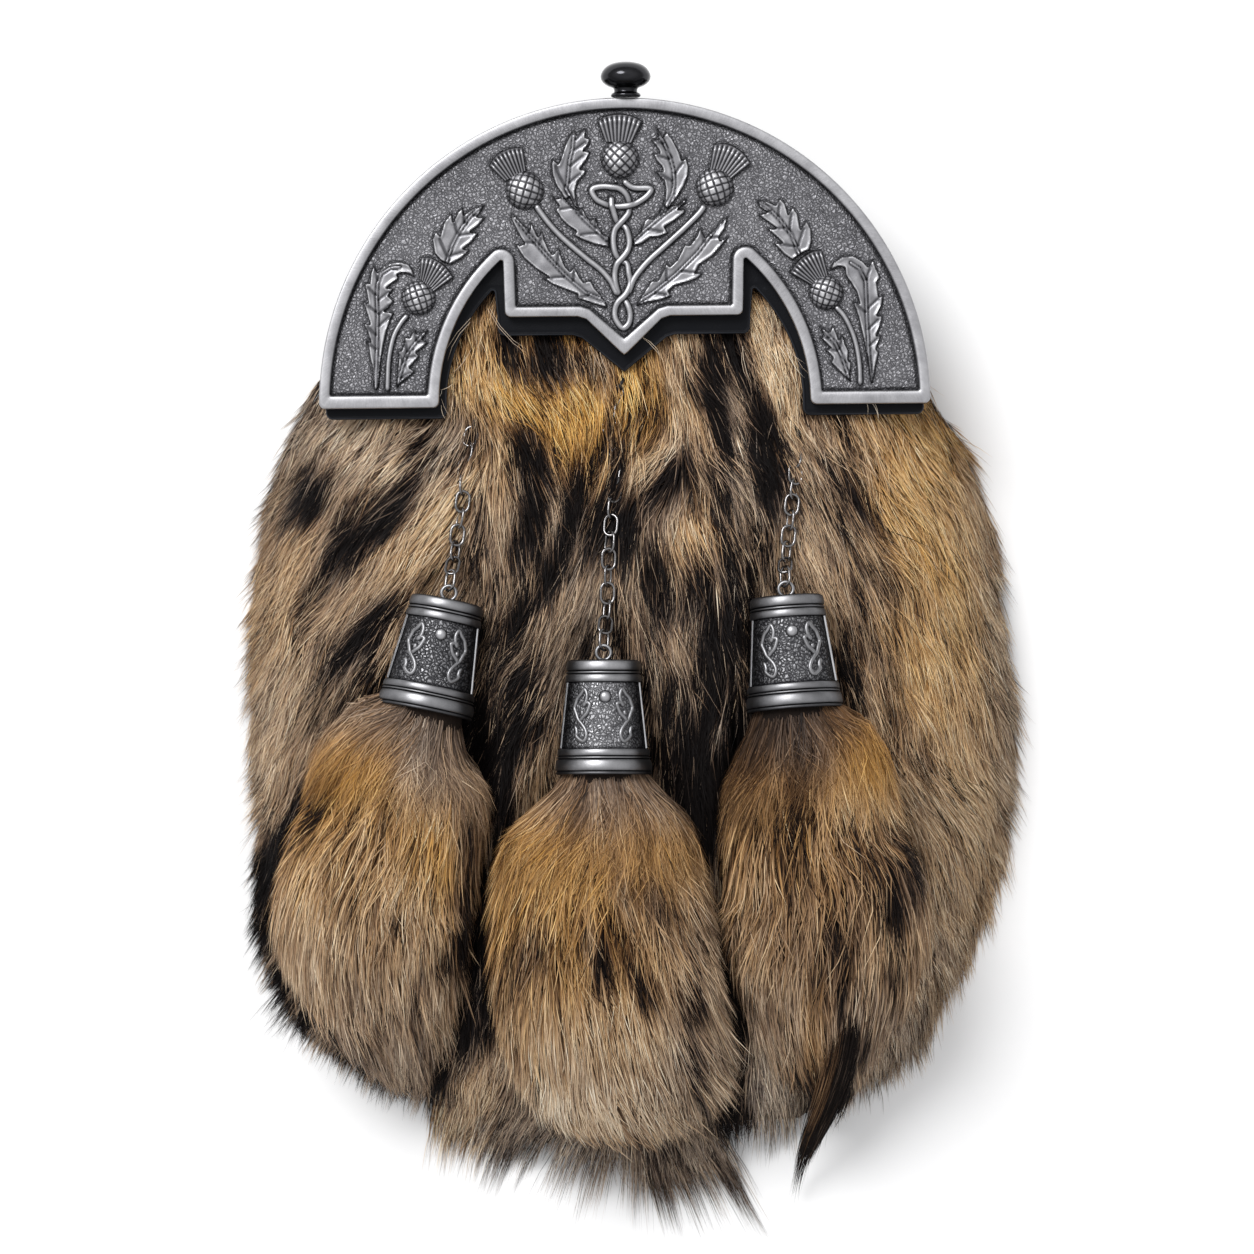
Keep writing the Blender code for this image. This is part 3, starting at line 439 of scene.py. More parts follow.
# ================================================================= finishes ==
class Finish:
    """A node material under construction."""

    def __init__(self, name):
        self.mat = bpy.data.materials.new(name)
        self.mat.use_nodes = True
        self.tree = self.mat.node_tree
        self.shader = self.tree.nodes["Principled BSDF"]
        self.column = -200

    def node(self, kind, **values):
        made = self.tree.nodes.new(kind)
        self.column -= 40
        made.location = (self.column, 0)
        for key, value in values.items():
            if hasattr(made, key):
                setattr(made, key, value)
            else:
                made.inputs[key.replace("_", " ").title()].default_value = value
        return made

    def link(self, source, socket, target, into):
        self.tree.links.new(source.outputs[socket], target.inputs[into])
        return target

    def attribute(self, name):
        return self.node("ShaderNodeAttribute", attribute_name=name)

    def noise(self, source, socket, scale, detail=3.0, rough=0.5):
        made = self.node("ShaderNodeTexNoise")
        made.inputs["Scale"].default_value = scale
        made.inputs["Detail"].default_value = detail
        made.inputs["Roughness"].default_value = rough
        return self.link(source, socket, made, "Vector")

    def ramp(self, source, socket, stops, smooth='LINEAR'):
        made = self.node("ShaderNodeValToRGB")
        ramp = made.color_ramp
        ramp.interpolation = smooth
        while len(ramp.elements) < len(stops):
            ramp.elements.new(0.5)
        for element, (position, colour) in zip(ramp.elements, stops):
            element.position = position
            if np.ndim(colour) == 0:
                colour = (colour, colour, colour)
            element.color = (*colour, 1.0)
        return self.link(source, socket, made, "Fac")

    def maths(self, operation, a, socket, other):
        made = self.node("ShaderNodeMath", operation=operation)
        self.link(a, socket, made, 0)
        if isinstance(other, tuple):
            self.tree.links.new(other[0].outputs[other[1]], made.inputs[1])
        else:
            made.inputs[1].default_value = other
        return made

    def spread(self, source, socket, low, high, to_low, to_high):
        made = self.node("ShaderNodeMapRange")
        for key, value in (("From Min", low), ("From Max", high),
                           ("To Min", to_low), ("To Max", to_high)):
            made.inputs[key].default_value = value
        return self.link(source, socket, made, "Value")

    def mix(self, blend, a, a_socket, b, b_socket, factor):
        """Colours a and b mixed; factor is a number or a node and a socket."""
        made = self.node("ShaderNodeMix", data_type='RGBA', blend_type=blend)
        self.tree.links.new(a.outputs[a_socket], made.inputs[6])
        if isinstance(b, tuple):
            made.inputs[7].default_value = (*b, 1.0)
        else:
            self.tree.links.new(b.outputs[b_socket], made.inputs[7])
        if isinstance(factor, tuple):
            self.tree.links.new(factor[0].outputs[factor[1]], made.inputs[0])
        else:
            made.inputs[0].default_value = factor
        return made

    def bump(self, height, socket, strength, distance_mm, before=None):
        made = self.node("ShaderNodeBump")
        made.inputs["Strength"].default_value = strength
        made.inputs["Distance"].default_value = distance_mm * MM
        self.link(height, socket, made, "Height")
        if before is not None:
            self.link(before, "Normal", made, "Normal")
        return made

    def position(self):
        return self.node("ShaderNodeTexCoord")


def cast_metal(name, stops, roughness, grain, satin, pebble_dark=0.13,
               pebble_light=0.27):
    """Cast metal with dark oxide in its recesses and rubbed heights.  The
    shade attribute says how rubbed a point is, and on the bells it also
    holds painted shade where they turn away from the front; the brush
    attribute gives the place along and across a brushed band, and is zero
    elsewhere; its third number is one on a pebbled ground."""
    f = Finish(name)
    place_at = f.position()
    blotch = f.noise(place_at, "Object", 260.0, 4.0, 0.6)
    fine = f.noise(place_at, "Object", 2600.0, 3.0, 0.65)
    wear_and_painted_light = f.attribute("shade")
    spread = f.spread(blotch, "Fac", 0.3, 0.7, -0.05, 0.05)
    speck = f.spread(fine, "Fac", 0.3, 0.7, -grain, grain)
    level = f.maths("ADD", wear_and_painted_light, "Fac", (spread, "Result"))
    level = f.maths("ADD", level, "Value", (speck, "Result"))
    brush = f.attribute("brush")
    split = f.node("ShaderNodeSeparateXYZ")
    f.link(brush, "Vector", split, 0)
    stray = f.noise(place_at, "Object", 620.0, 2.0, 0.5)
    moved = f.node("ShaderNodeVectorMath", operation='MULTIPLY')
    f.link(stray, "Color", moved, 0)
    moved.inputs[1].default_value = (0.0016, 0.0016, 0.0016)
    bent = f.node("ShaderNodeVectorMath", operation='ADD')
    f.link(place_at, "Object", bent, 0)
    f.link(moved, "Vector", bent, 1)
    cell = f.node("ShaderNodeTexVoronoi", feature='DISTANCE_TO_EDGE')
    cell.inputs["Scale"].default_value = 1120.0
    f.link(bent, "Vector", cell, "Vector")
    pebble = f.spread(cell, "Distance", 0.02, 0.27, 0.0, 1.0)
    pebble = f.maths("MULTIPLY", pebble, "Result", (split, "Z"))
    gap = f.maths("MULTIPLY", split, "Z", pebble_dark)
    level = f.maths("SUBTRACT", level, "Value", (gap, "Value"))
    gain = f.maths("MULTIPLY", pebble, "Value", pebble_light)
    level = f.maths("ADD", level, "Value", (gain, "Value"))
    colour = f.ramp(level, "Value", stops)
    scale = f.node("ShaderNodeVectorMath", operation='MULTIPLY')
    f.link(brush, "Vector", scale, 0)
    scale.inputs[1].default_value = (5.0, 0.35, 0.0)
    lines = f.noise(scale, "Vector", 1.0, 3.0, 0.7)
    tint = f.spread(lines, "Fac", 0.3, 0.7, 0.86, 1.12)
    coloured = f.mix('MULTIPLY', colour, "Color", tint, "Result", satin)
    f.link(coloured, 2, f.shader, "Base Color")
    rough = f.spread(blotch, "Fac", 0.3, 0.7, roughness - 0.05,
                     roughness + 0.07)
    dull = f.spread(level, "Value", 0.0, 0.6, 0.22, 0.0)
    rough = f.maths("ADD", rough, "Result", (dull, "Result"))
    f.link(rough, "Value", f.shader, "Roughness")
    f.shader.inputs["Metallic"].default_value = 1.0
    first = f.bump(fine, "Fac", 0.25, 0.05)
    second = f.bump(lines, "Fac", 0.35 * satin, 0.04, first)
    third = f.bump(pebble, "Value", 0.75, 0.16, second)
    f.link(third, "Normal", f.shader, "Normal")
    return f.mat


PEWTER = cast_metal("antique_pewter", (
    (0.0, (0.010, 0.010, 0.011)), (0.22, (0.045, 0.045, 0.049)),
    (0.45, (0.145, 0.144, 0.154)), (0.7, (0.315, 0.313, 0.328)),
    (1.0, (0.60, 0.60, 0.615))), 0.44, 0.03, 1.0)
GUNMETAL = cast_metal("gunmetal", (
    (0.0, (0.006, 0.006, 0.007)), (0.3, (0.022, 0.022, 0.024)),
    (0.6, (0.085, 0.085, 0.09)), (1.0, (0.33, 0.33, 0.345))),
    0.24, 0.03, 0.0)


def black_leather(name, base, edge):
    """Smooth-finished leather: fine pores, faint creases, lighter scuffs, and a painted
    highlight where the shade attribute is high.
    """
    f = Finish(name)
    place_at = f.position()
    pores = f.node("ShaderNodeTexVoronoi", feature='F1')
    pores.inputs["Scale"].default_value = 2600.0
    f.link(place_at, "Object", pores, "Vector")
    crease = f.noise(place_at, "Object", 420.0, 5.0, 0.6)
    cloud = f.noise(place_at, "Object", 60.0, 3.0, 0.5)
    wear_and_painted_light = f.attribute("shade")
    level = f.spread(cloud, "Fac", 0.3, 0.7, -0.12, 0.14)
    level = f.maths("ADD", wear_and_painted_light, "Fac", (level, "Result"))
    # shade above 0.55 runs to the edge colour: a painted highlight along rounded edges
    colour = f.ramp(level, "Value", ((0.0, base), (0.55, base), (1.0, edge)))
    scuff = f.ramp(crease, "Fac", ((0.0, 0.0), (0.66, 0.0), (0.78, 1.0)))
    coloured = f.mix('MIX', colour, "Color", tuple(edge), None,
                     (f.maths("MULTIPLY", scuff, "Color", 0.35), "Value"))
    f.link(coloured, 2, f.shader, "Base Color")
    rough = f.spread(crease, "Fac", 0.3, 0.7, 0.30, 0.46)
    f.link(rough, "Result", f.shader, "Roughness")
    f.shader.inputs["Specular IOR Level"].default_value = 0.09
    first = f.bump(pores, "Distance", 0.35, 0.06)
    second = f.bump(crease, "Fac", 0.3, 0.12, first)
    f.link(second, "Normal", f.shader, "Normal")
    return f.mat


# the second colour is the painted edge highlight, and the colour of the scuffs
LEATHER = black_leather("black_leather", (0.0045, 0.005, 0.0068),
                        (0.030, 0.033, 0.040))


def waxed_thread():
    f = Finish("waxed_thread")
    place_at = f.position()
    twist = f.node("ShaderNodeTexWave", wave_type='BANDS',
                   bands_direction='DIAGONAL')
    twist.inputs["Scale"].default_value = 700.0
    twist.inputs["Distortion"].default_value = 1.0
    f.link(place_at, "Object", twist, "Vector")
    colour = f.ramp(twist, "Fac", ((0.0, (0.006, 0.006, 0.007)),
                                   (1.0, (0.035, 0.034, 0.034))))
    f.link(colour, "Color", f.shader, "Base Color")
    f.shader.inputs["Roughness"].default_value = 0.6
    knot = f.bump(twist, "Fac", 0.5, 0.1)
    f.link(knot, "Normal", f.shader, "Normal")
    return f.mat


THREAD = waxed_thread()

# Dark to light along one hair colour, from cool grey to orange gold.
HAIR_RAMPS = (
    ((0.0, (0.004, 0.0035, 0.004)), (0.18, (0.028, 0.023, 0.022)),
     (0.40, (0.150, 0.121, 0.104)), (0.62, (0.43, 0.356, 0.296)),
     (0.82, (0.78, 0.67, 0.54)), (1.0, (0.98, 0.92, 0.80))),
    ((0.0, (0.0045, 0.003, 0.0025)), (0.18, (0.034, 0.020, 0.013)),
     (0.40, (0.185, 0.102, 0.053)), (0.62, (0.53, 0.335, 0.180)),
     (0.82, (0.86, 0.64, 0.40)), (1.0, (1.0, 0.88, 0.66))),
    ((0.0, (0.005, 0.003, 0.0015)), (0.18, (0.046, 0.019, 0.006)),
     (0.40, (0.250, 0.110, 0.024)), (0.62, (0.66, 0.34, 0.072)),
     (0.82, (0.96, 0.60, 0.18)), (1.0, (1.0, 0.84, 0.42))),
)


def hair_finish():
    """Hair whose colour is read from its own map: across is how light it is,
    up is how warm."""
    f = Finish("hair")
    uv = f.node("ShaderNodeUVMap", uv_map="fur")
    parts = f.node("ShaderNodeSeparateXYZ")
    f.link(uv, "UV", parts, "Vector")
    ramps = [f.ramp(parts, "X", [(at, tuple(0.90 * c for c in colour))
                                 for at, colour in stops])
             for stops in HAIR_RAMPS]
    low = f.node("ShaderNodeMath", operation='MULTIPLY', use_clamp=True)
    f.link(parts, "Y", low, 0)
    low.inputs[1].default_value = 2.0
    high = f.node("ShaderNodeMath", operation='MULTIPLY_ADD', use_clamp=True)
    f.link(parts, "Y", high, 0)
    high.inputs[1].default_value = 2.0
    high.inputs[2].default_value = -1.0
    first = f.mix('MIX', ramps[0], "Color", ramps[1], "Color", (low, "Value"))
    second = f.mix('MIX', first, 2, ramps[2], "Color", (high, "Value"))
    f.link(second, 2, f.shader, "Base Color")
    f.shader.inputs["Roughness"].default_value = 0.50
    f.shader.inputs["Specular IOR Level"].default_value = 0.05
    return f.mat


HAIR = hair_finish()


def underfur_finish():
    """Short dense underfur seen only between the hairs, near black: partly its own dark
    colour, partly painted shade for the gaps between hairs.
    """
    f = Finish("underfur")
    place_at = f.position()
    streak = f.node("ShaderNodeMapping")
    streak.inputs["Scale"].default_value = (1.0, 0.12, 1.0)
    f.link(place_at, "Object", streak, "Vector")
    hairs = f.noise(streak, "Vector", 2200.0, 3.0, 0.6)
    tone = f.attribute("shade")
    vary = f.spread(hairs, "Fac", 0.3, 0.7, -0.08, 0.1)
    level = f.maths("ADD", tone, "Fac", (vary, "Result"))
    colour = f.ramp(level, "Value", (
        (0.0, (0.005, 0.004, 0.004)), (0.4, (0.018, 0.012, 0.009)),
        (1.0, (0.11, 0.07, 0.045))))
    f.link(colour, "Color", f.shader, "Base Color")
    f.shader.inputs["Roughness"].default_value = 0.9
    f.shader.inputs["Specular IOR Level"].default_value = 0.1
    made = f.bump(hairs, "Fac", 0.8, 0.5)
    f.link(made, "Normal", f.shader, "Normal")
    return f.mat


UNDERFUR = underfur_finish()


# =================================================================== cantle ==
# Leaves, clockwise outlines on the drawing sheet, with their midribs.
LEAVES = (
    # left upper leaf: long upper part, then the part that joins the twist
    (((574.2, 130.9), (576.7, 135.5), (585.9, 127.9), (585.4, 137.6),
      (591, 138.6), (588, 145.7), (583.4, 150.8), (590.5, 151.8),
      (587.4, 159), (579.8, 169.2), (586.9, 170.2), (583.9, 175.3),
      (577.8, 181.4), (575.2, 191.6), (576.2, 199.8), (578.3, 208),
      (574.7, 206.9), (569.6, 196.7), (565.5, 199.8), (561.9, 194.7),
      (555.8, 185.5), (552.2, 175.3), (551.2, 164.1), (552.8, 158.5),
      (558.4, 164.1), (559.9, 161), (563, 150.8), (566.5, 141.6),
      (570.6, 134.5)),
     ((574.5, 206), (569, 194), (565.8, 188.8), (567.6, 183.5), (569.6, 161),
      (572.7, 148.8), (573.7, 136.5)),
     (((569, 183), (579.8, 174.3)), ((570.6, 166), (582.3, 156.4)),
      ((575, 150), (585, 142.6)), ((576, 139.6), (583, 132.5)),
      ((566, 187.5), (559.4, 176.3), (555.8, 166)))),
    (((565.5, 199.8), (576.5, 210.2), (582.7, 207.9), (585.7, 214.8),
      (590.3, 220.9), (595.7, 217.1), (598, 225.5), (602.6, 233.2),
      (609.4, 237), (609.4, 247.7), (594.9, 244.6), (582.7, 240.1),
      (573.5, 235.5), (576.5, 231.6), (567.4, 225.5), (561.2, 219.4),
      (555.1, 210.2), (559, 206), (551.3, 195.7), (558, 199), (562, 196)),
     ((607, 240), (585.7, 221), (573.5, 207), (562, 197)), None),
    # right upper leaf
    (((656.8, 126.3), (657.3, 133.5), (658.9, 139.6), (651.2, 139.1),
      (653.8, 143.7), (658.4, 149.8), (659.9, 153.4), (652.8, 153.9),
      (656.3, 161), (661.9, 167.1), (663, 171.2), (655.3, 171.2),
      (659.4, 176.3), (664, 181.4), (665.5, 189.6), (665, 197.8),
      (663, 204.9), (667.6, 209), (677.8, 196.7), (683.9, 186.5),
      (688, 176.3), (689, 167.1), (686.4, 158), (681.8, 160.5),
      (680.3, 154.9), (676.7, 146.7), (671.6, 137.6), (666.5, 131.9),
      (662.5, 137)),
     ((665.3, 208), (672, 196), (674.5, 185), (673.7, 171.2), (670.6, 159),
      (666.5, 148.8), (662.4, 139.6), (658.9, 129.4)), None),
    (((633.2, 237.8), (640.8, 231.6), (644.6, 220.9), (647.7, 217.9),
      (653.1, 219.4), (659.2, 213.3), (661.5, 207.1), (664.5, 213.3),
      (672, 205), (677.6, 205), (686.7, 198), (686, 201.8), (677.6, 210.2),
      (685.2, 208.7), (684.4, 213.3), (674.5, 220.9), (664.5, 227),
      (668.4, 233.2), (659.2, 237), (650, 237.8), (641.6, 243.9),
      (633.2, 246.2)),
     ((633.2, 241), (646.9, 228.6), (665.3, 213.3), (680, 203)), None),
    # lower leaves either side of the twist
    (((511.5, 212.5), (519.9, 220.9), (529.8, 230.1), (530.6, 220.9),
      (534.4, 228.6), (538.3, 237), (542.1, 230.1), (544.4, 239.3),
      (549, 250), (552.8, 254.6), (558.9, 247.7), (561.2, 256.1),
      (565.8, 266.8), (570.4, 271.4), (574.2, 266.8), (577.3, 273),
      (583.4, 282.1), (591.1, 280.6), (594.9, 288.3), (599.5, 292.9),
      (605.6, 302), (607.9, 308.2), (591.8, 303.6), (576.5, 298.2),
      (578.1, 294.4), (565.8, 289.8), (552, 284.4), (542.9, 278.3),
      (549, 277.6), (535.2, 268.4), (523, 257.7), (513.8, 242.4),
      (519.9, 245.4), (524.5, 243.9), (516.8, 231.6), (511.5, 219.4)),
     ((607.1, 302), (585.7, 292.9), (565.8, 276), (545.9, 254.6),
      (527.6, 233.2), (515.3, 217.9)), None),
    (((728.1, 215.6), (720.4, 222.5), (714.3, 230.1), (705.1, 237.8),
      (700.5, 227), (696.7, 236.2), (689.8, 245.4), (684.4, 244.6),
      (682.1, 250), (677.6, 259.2), (669.9, 266.8), (666.1, 263),
      (663, 271.4), (657.7, 280.6), (651.5, 280.6), (645.4, 289.8),
      (638.5, 300.5), (636.2, 305.9), (646.9, 302.8), (662.3, 299.8),
      (671.4, 295.9), (668.4, 291.3), (674.5, 286), (688.3, 282.1),
      (697.5, 278.3), (702.8, 273), (695.2, 273), (699, 265.3),
      (712.8, 256.1), (722, 245.4), (728.8, 236.2), (720.4, 240.8),
      (718.9, 237.8), (725, 228.6)),
     ((636.2, 303.6), (653.1, 292.9), (676, 274.5), (697.5, 253.1),
      (711.2, 234.7), (722, 220.9)), None),
    # left arm: small leaf, curled spray, leaf above the thistle
    (((396.9, 388.2), (400.7, 383), (411.2, 375.3), (415.1, 371),
      (409.3, 367.7), (413.1, 363.8), (419.4, 356.2), (416, 352.4),
      (422.7, 347.6), (428, 342.3), (421.7, 339.4), (425.6, 334.2),
      (428.4, 329.4), (417, 334.2), (414.6, 328.9), (411.2, 334.2),
      (410.3, 338), (404.5, 337.1), (404.1, 343.8), (401.7, 350.4),
      (397.8, 351.4), (398.8, 358.1), (397.4, 369.6), (396.4, 383.9)),
     ((397.8, 383.9), (402.1, 369.6), (406.4, 355.2), (415.1, 343.8),
      (424.6, 333.2)), None),
    (((375.8, 391.1), (373.4, 387.8), (372.5, 369.6), (369.6, 357.1),
      (368.2, 345.7), (365.3, 339.9), (370.6, 342.3), (367.2, 332.3),
      (363.4, 323.2), (370.1, 324.6), (366.3, 312.2), (362, 300.7),
      (368.2, 303.6), (366.3, 293), (364.3, 283.5), (369.6, 283.5),
      (370.6, 273), (373.9, 265.3), (377.7, 273), (383.5, 266.3),
      (392.1, 262.4), (401.7, 262), (409.3, 264.3), (412.7, 270.1),
      (415, 277.7), (409.3, 273.9), (401.7, 273), (396.9, 274.9),
      (399.3, 278.7), (392.1, 283.5), (386.4, 288.3), (394, 288.3),
      (388.3, 295.9), (394, 300.7), (388.3, 308.4), (384.4, 311.2),
      (394, 312.7), (391.1, 318.9), (386.4, 332.3), (383.5, 345.7),
      (380.6, 364.8), (378.7, 386.8)),
     ((375.8, 388.7), (377.3, 336.1), (377.7, 317), (376.8, 297.8),
      (377.7, 283.5), (381.6, 273.9), (390.2, 268.2), (399.7, 267.2)), None),
    (((441, 261), (434.5, 254), (432, 240), (435.6, 230.5), (440, 236),
      (444, 222), (451.8, 212.5), (453, 222), (458, 212), (462.7, 207.5),
      (464, 215), (472, 209), (484.8, 204.5), (480, 213), (477, 217),
      (485.5, 217), (478, 226), (470, 232), (478.5, 233), (472, 242),
      (463, 249), (470, 250), (462, 258), (449.7, 264.7)),
     ((447, 262), (452, 247), (460, 231), (470, 217), (481, 207)), None),
    # right arm
    (((850.8, 382.2), (841.4, 373.5), (830.7, 362.8), (832.7, 357.4),
      (824.7, 349.4), (830.7, 348), (820.6, 338), (824, 336),
      (819.3, 325.9), (829.3, 332), (833.4, 325.9), (837.4, 334.6),
      (838.7, 340), (842.7, 334.6), (845.4, 344), (848.8, 350.7),
      (848.1, 360.1), (851.4, 362.8), (850.1, 374.8)),
     ((849.4, 378.8), (842.7, 358.7), (836, 344), (824, 330.6)), None),
    (((870.9, 382.8), (866.8, 357.4), (862.2, 334.6), (858.1, 317.2),
      (852.8, 301.8), (859.5, 303.8), (856.1, 291.8), (850.1, 282.4),
      (845.4, 275.7), (844.7, 267.7), (838.7, 266.3), (828.7, 271),
      (833.4, 262.3), (842.7, 256.3), (853.4, 255.6), (862.8, 261),
      (868.2, 267), (872.9, 259), (876.2, 267.7), (880.2, 277.7),
      (876.9, 282.4), (878.9, 297.1), (883.6, 293.8), (881.6, 306.5),
      (876.9, 315.9), (882.9, 315.2), (880.2, 326.6), (876.2, 336),
      (880.9, 335.3), (876.2, 349.4), (878.9, 352), (875.5, 366.8),
      (872.9, 382.8)),
     ((870.9, 380.2), (868.8, 350.7), (866.8, 317.2), (866.2, 294.5),
      (865.5, 281), (860.1, 269), (850.8, 263)), None),
    (((756.4, 200), (766.4, 200.7), (775.8, 205.4), (779.8, 198),
      (785.2, 203.4), (788.5, 214.8), (792.5, 206.1), (797.9, 214.1),
      (799.9, 226.2), (800.6, 229.5), (806.6, 220.1), (811.3, 228.8),
      (811.9, 240.9), (809.3, 250.3), (802.6, 253), (792.5, 260.3),
      (783.8, 254.3), (773.8, 243.6), (782.5, 242.9), (774.5, 235.5),
      (767.1, 228.8), (776.5, 228.2), (767.8, 222.1), (757.7, 214.8),
      (767.1, 212.1), (759.7, 207.4)),
     ((799.2, 254.3), (791.9, 235.5), (779.8, 219.5), (767.8, 207.4),
      (759.7, 202.7)), None),
)
# Raised rods: sheet points with a third number, how far each is lifted where
# rods cross; then the width in millimetres.
STEMS = (
    (((535.2, 204.1, 0), (541.3, 213.3, 0), (552, 227, 0), (565.8, 240.8, 0),
      (585.7, 257.7, 0), (601, 269.9, 0), (610.2, 280.6, 0),
      (614.8, 289.8, 0), (617.9, 295.9, 0)), 1.7),
    (((705.1, 204.1, 0), (699, 213.3, 0), (683.7, 228.6, 0),
      (665.3, 245.4, 0), (646.9, 262.3, 0), (634.7, 277.6, 0),
      (630.1, 288.3, 0), (627.5, 295, 0)), 1.7),
    (((408.4, 314.1, 0), (401.7, 321.7, 0), (395, 333.2, 0),
      (391.1, 345.7, 0), (388.7, 360, 0), (387.8, 374.4, 0),
      (387.3, 391.6, 0)), 1.4),
    (((834.7, 305.8, 0), (844.1, 315.9, 0), (852.1, 332, 0),
      (856.8, 348, 0), (859.5, 366.8, 0), (860.1, 385.5, 0)), 1.45),
    # the knot under the middle thistle, running on into one strand
    (((622.7, 179.4, 0), (626.7, 183.5, 0), (631.8, 187, 0),
      (638, 188.1, 0), (648.2, 188.1, 0), (651.2, 190.1, 0),
      (646.1, 196.7, 0), (636.9, 202.9, 0), (631, 205, 0.3),
      (626.7, 205.9, 0.35), (621, 206.4, 0), (616.5, 206.4, -0.3),
      (611.5, 205.8, -0.5), (605.3, 203.9, -0.1), (597.1, 199.8, 0),
      (592, 192.7, 0), (593.1, 188.6, 0), (601.2, 186.5, 0),
      (611.4, 187, 0.25), (619.6, 188.6, 0.2), (625.7, 193.7, 0),
      (628.8, 200.8, -0.25), (629.2, 207, -0.5), (628.3, 213.1, 0),
      (624.7, 218.2, 0.3), (620.9, 222.5, 0.4), (614.8, 230.1, 0),
      (613.3, 240.8, 0), (614.8, 251.5, 0), (617.9, 257.7, -0.2),
      (621.5, 261, -0.5), (627, 263.8, -0.2), (628.6, 273, 0),
      (630.1, 283.7, 0), (625.5, 294.4, 0.3), (617.9, 302, 0.2),
      (614.8, 309.7, 0), (615.6, 318.9, 0), (622.5, 328, 0),
      (628.6, 323.5, 0), (630.1, 314.3, 0), (627.8, 305.1, 0),
      (623.5, 298.5, -0.4)), 1.75),
    (((611.9, 194.7, -0.3), (611.4, 201.8, 0.1), (611.7, 206, 0.35),
      (613, 210, 0.2), (616.5, 220.2, -0.2), (621, 224.5, -0.5),
      (626.3, 228.6, 0), (629.3, 240.8, 0), (627.8, 250, 0),
      (622.5, 257.7, 0.3), (617.1, 263.8, 0.3), (614.8, 273, 0),
      (615.6, 283.7, 0), (618.5, 293.5, -0.2), (620.5, 296.5, -0.5)), 1.75),
    (((616, 179.4, 0), (615.8, 181.5, 0), (615.5, 183.5, 0)), 0.9),
)
# Thistles: ball centre and radius, the two ends of the crown's base, then its
# flared top edge.
THISTLES = (
    ((620, 159), 18.0, (605.3, 141.6), (631.8, 142.7),
     ((597.1, 121.2), (606.3, 115.6), (619.6, 113.6), (631.8, 115.6),
      (642.6, 121.2))),
    ((524.6, 190.2), 18.0, (504.6, 181.1), (526, 170.4),
     ((489, 166), (495, 156.5), (504, 150.5), (514, 147.6), (523, 148))),
    ((714.8, 187.2), 18.0, (709.5, 169.5), (731.5, 178.5),
     ((713.5, 144.5), (724, 143.2), (734.5, 146.3), (744, 153.5),
      (751, 163.6))),
    ((418.4, 297.8), 16.2, (419.8, 278.7), (434.2, 291.1),
     ((420.8, 257.2), (427.5, 257.2), (434.2, 258.6), (445.7, 266.3),
      (453.8, 277.7))),
    ((826, 292.5), 16.2, (810.6, 284.4), (828, 275.7),
     ((789.2, 273), (798.6, 259.6), (810.6, 251.6), (816, 250.4),
      (822, 250.3))),
)
LEAF_RISE = 0.95


def side_veins(outline, rib):
    """A vein from the midrib out into each pointed lobe of a leaf."""
    before = np.roll(outline, 1, 0) - outline
    after = np.roll(outline, -1, 0) - outline
    cosine = np.sum(before * after, 1) / (
        np.linalg.norm(before, axis=1) * np.linalg.norm(after, axis=1) + 1e-9)
    centre = resample(rib, 0.3)
    area = np.sum(outline[:, 0] * np.roll(outline[:, 1], -1)
                  - np.roll(outline[:, 0], -1) * outline[:, 1])
    turn = before[:, 0] * after[:, 1] - before[:, 1] * after[:, 0]
    convex = turn * area < 0
    made = []
    for i in range(len(outline)):
        if not convex[i] or cosine[i] < -0.25:
            continue
        d = np.hypot(*(centre - outline[i]).T)
        near = int(np.argmin(d))
        if d[near] < 0.9 or near > len(centre) - 4:
            continue
        back = max(near - int(d[near] * 0.9 / 0.3), 0)
        start = centre[back]
        made.append(np.array([start + (outline[i] - start) * 0.10,
                              start + (outline[i] - start) * 0.70]))
    return made


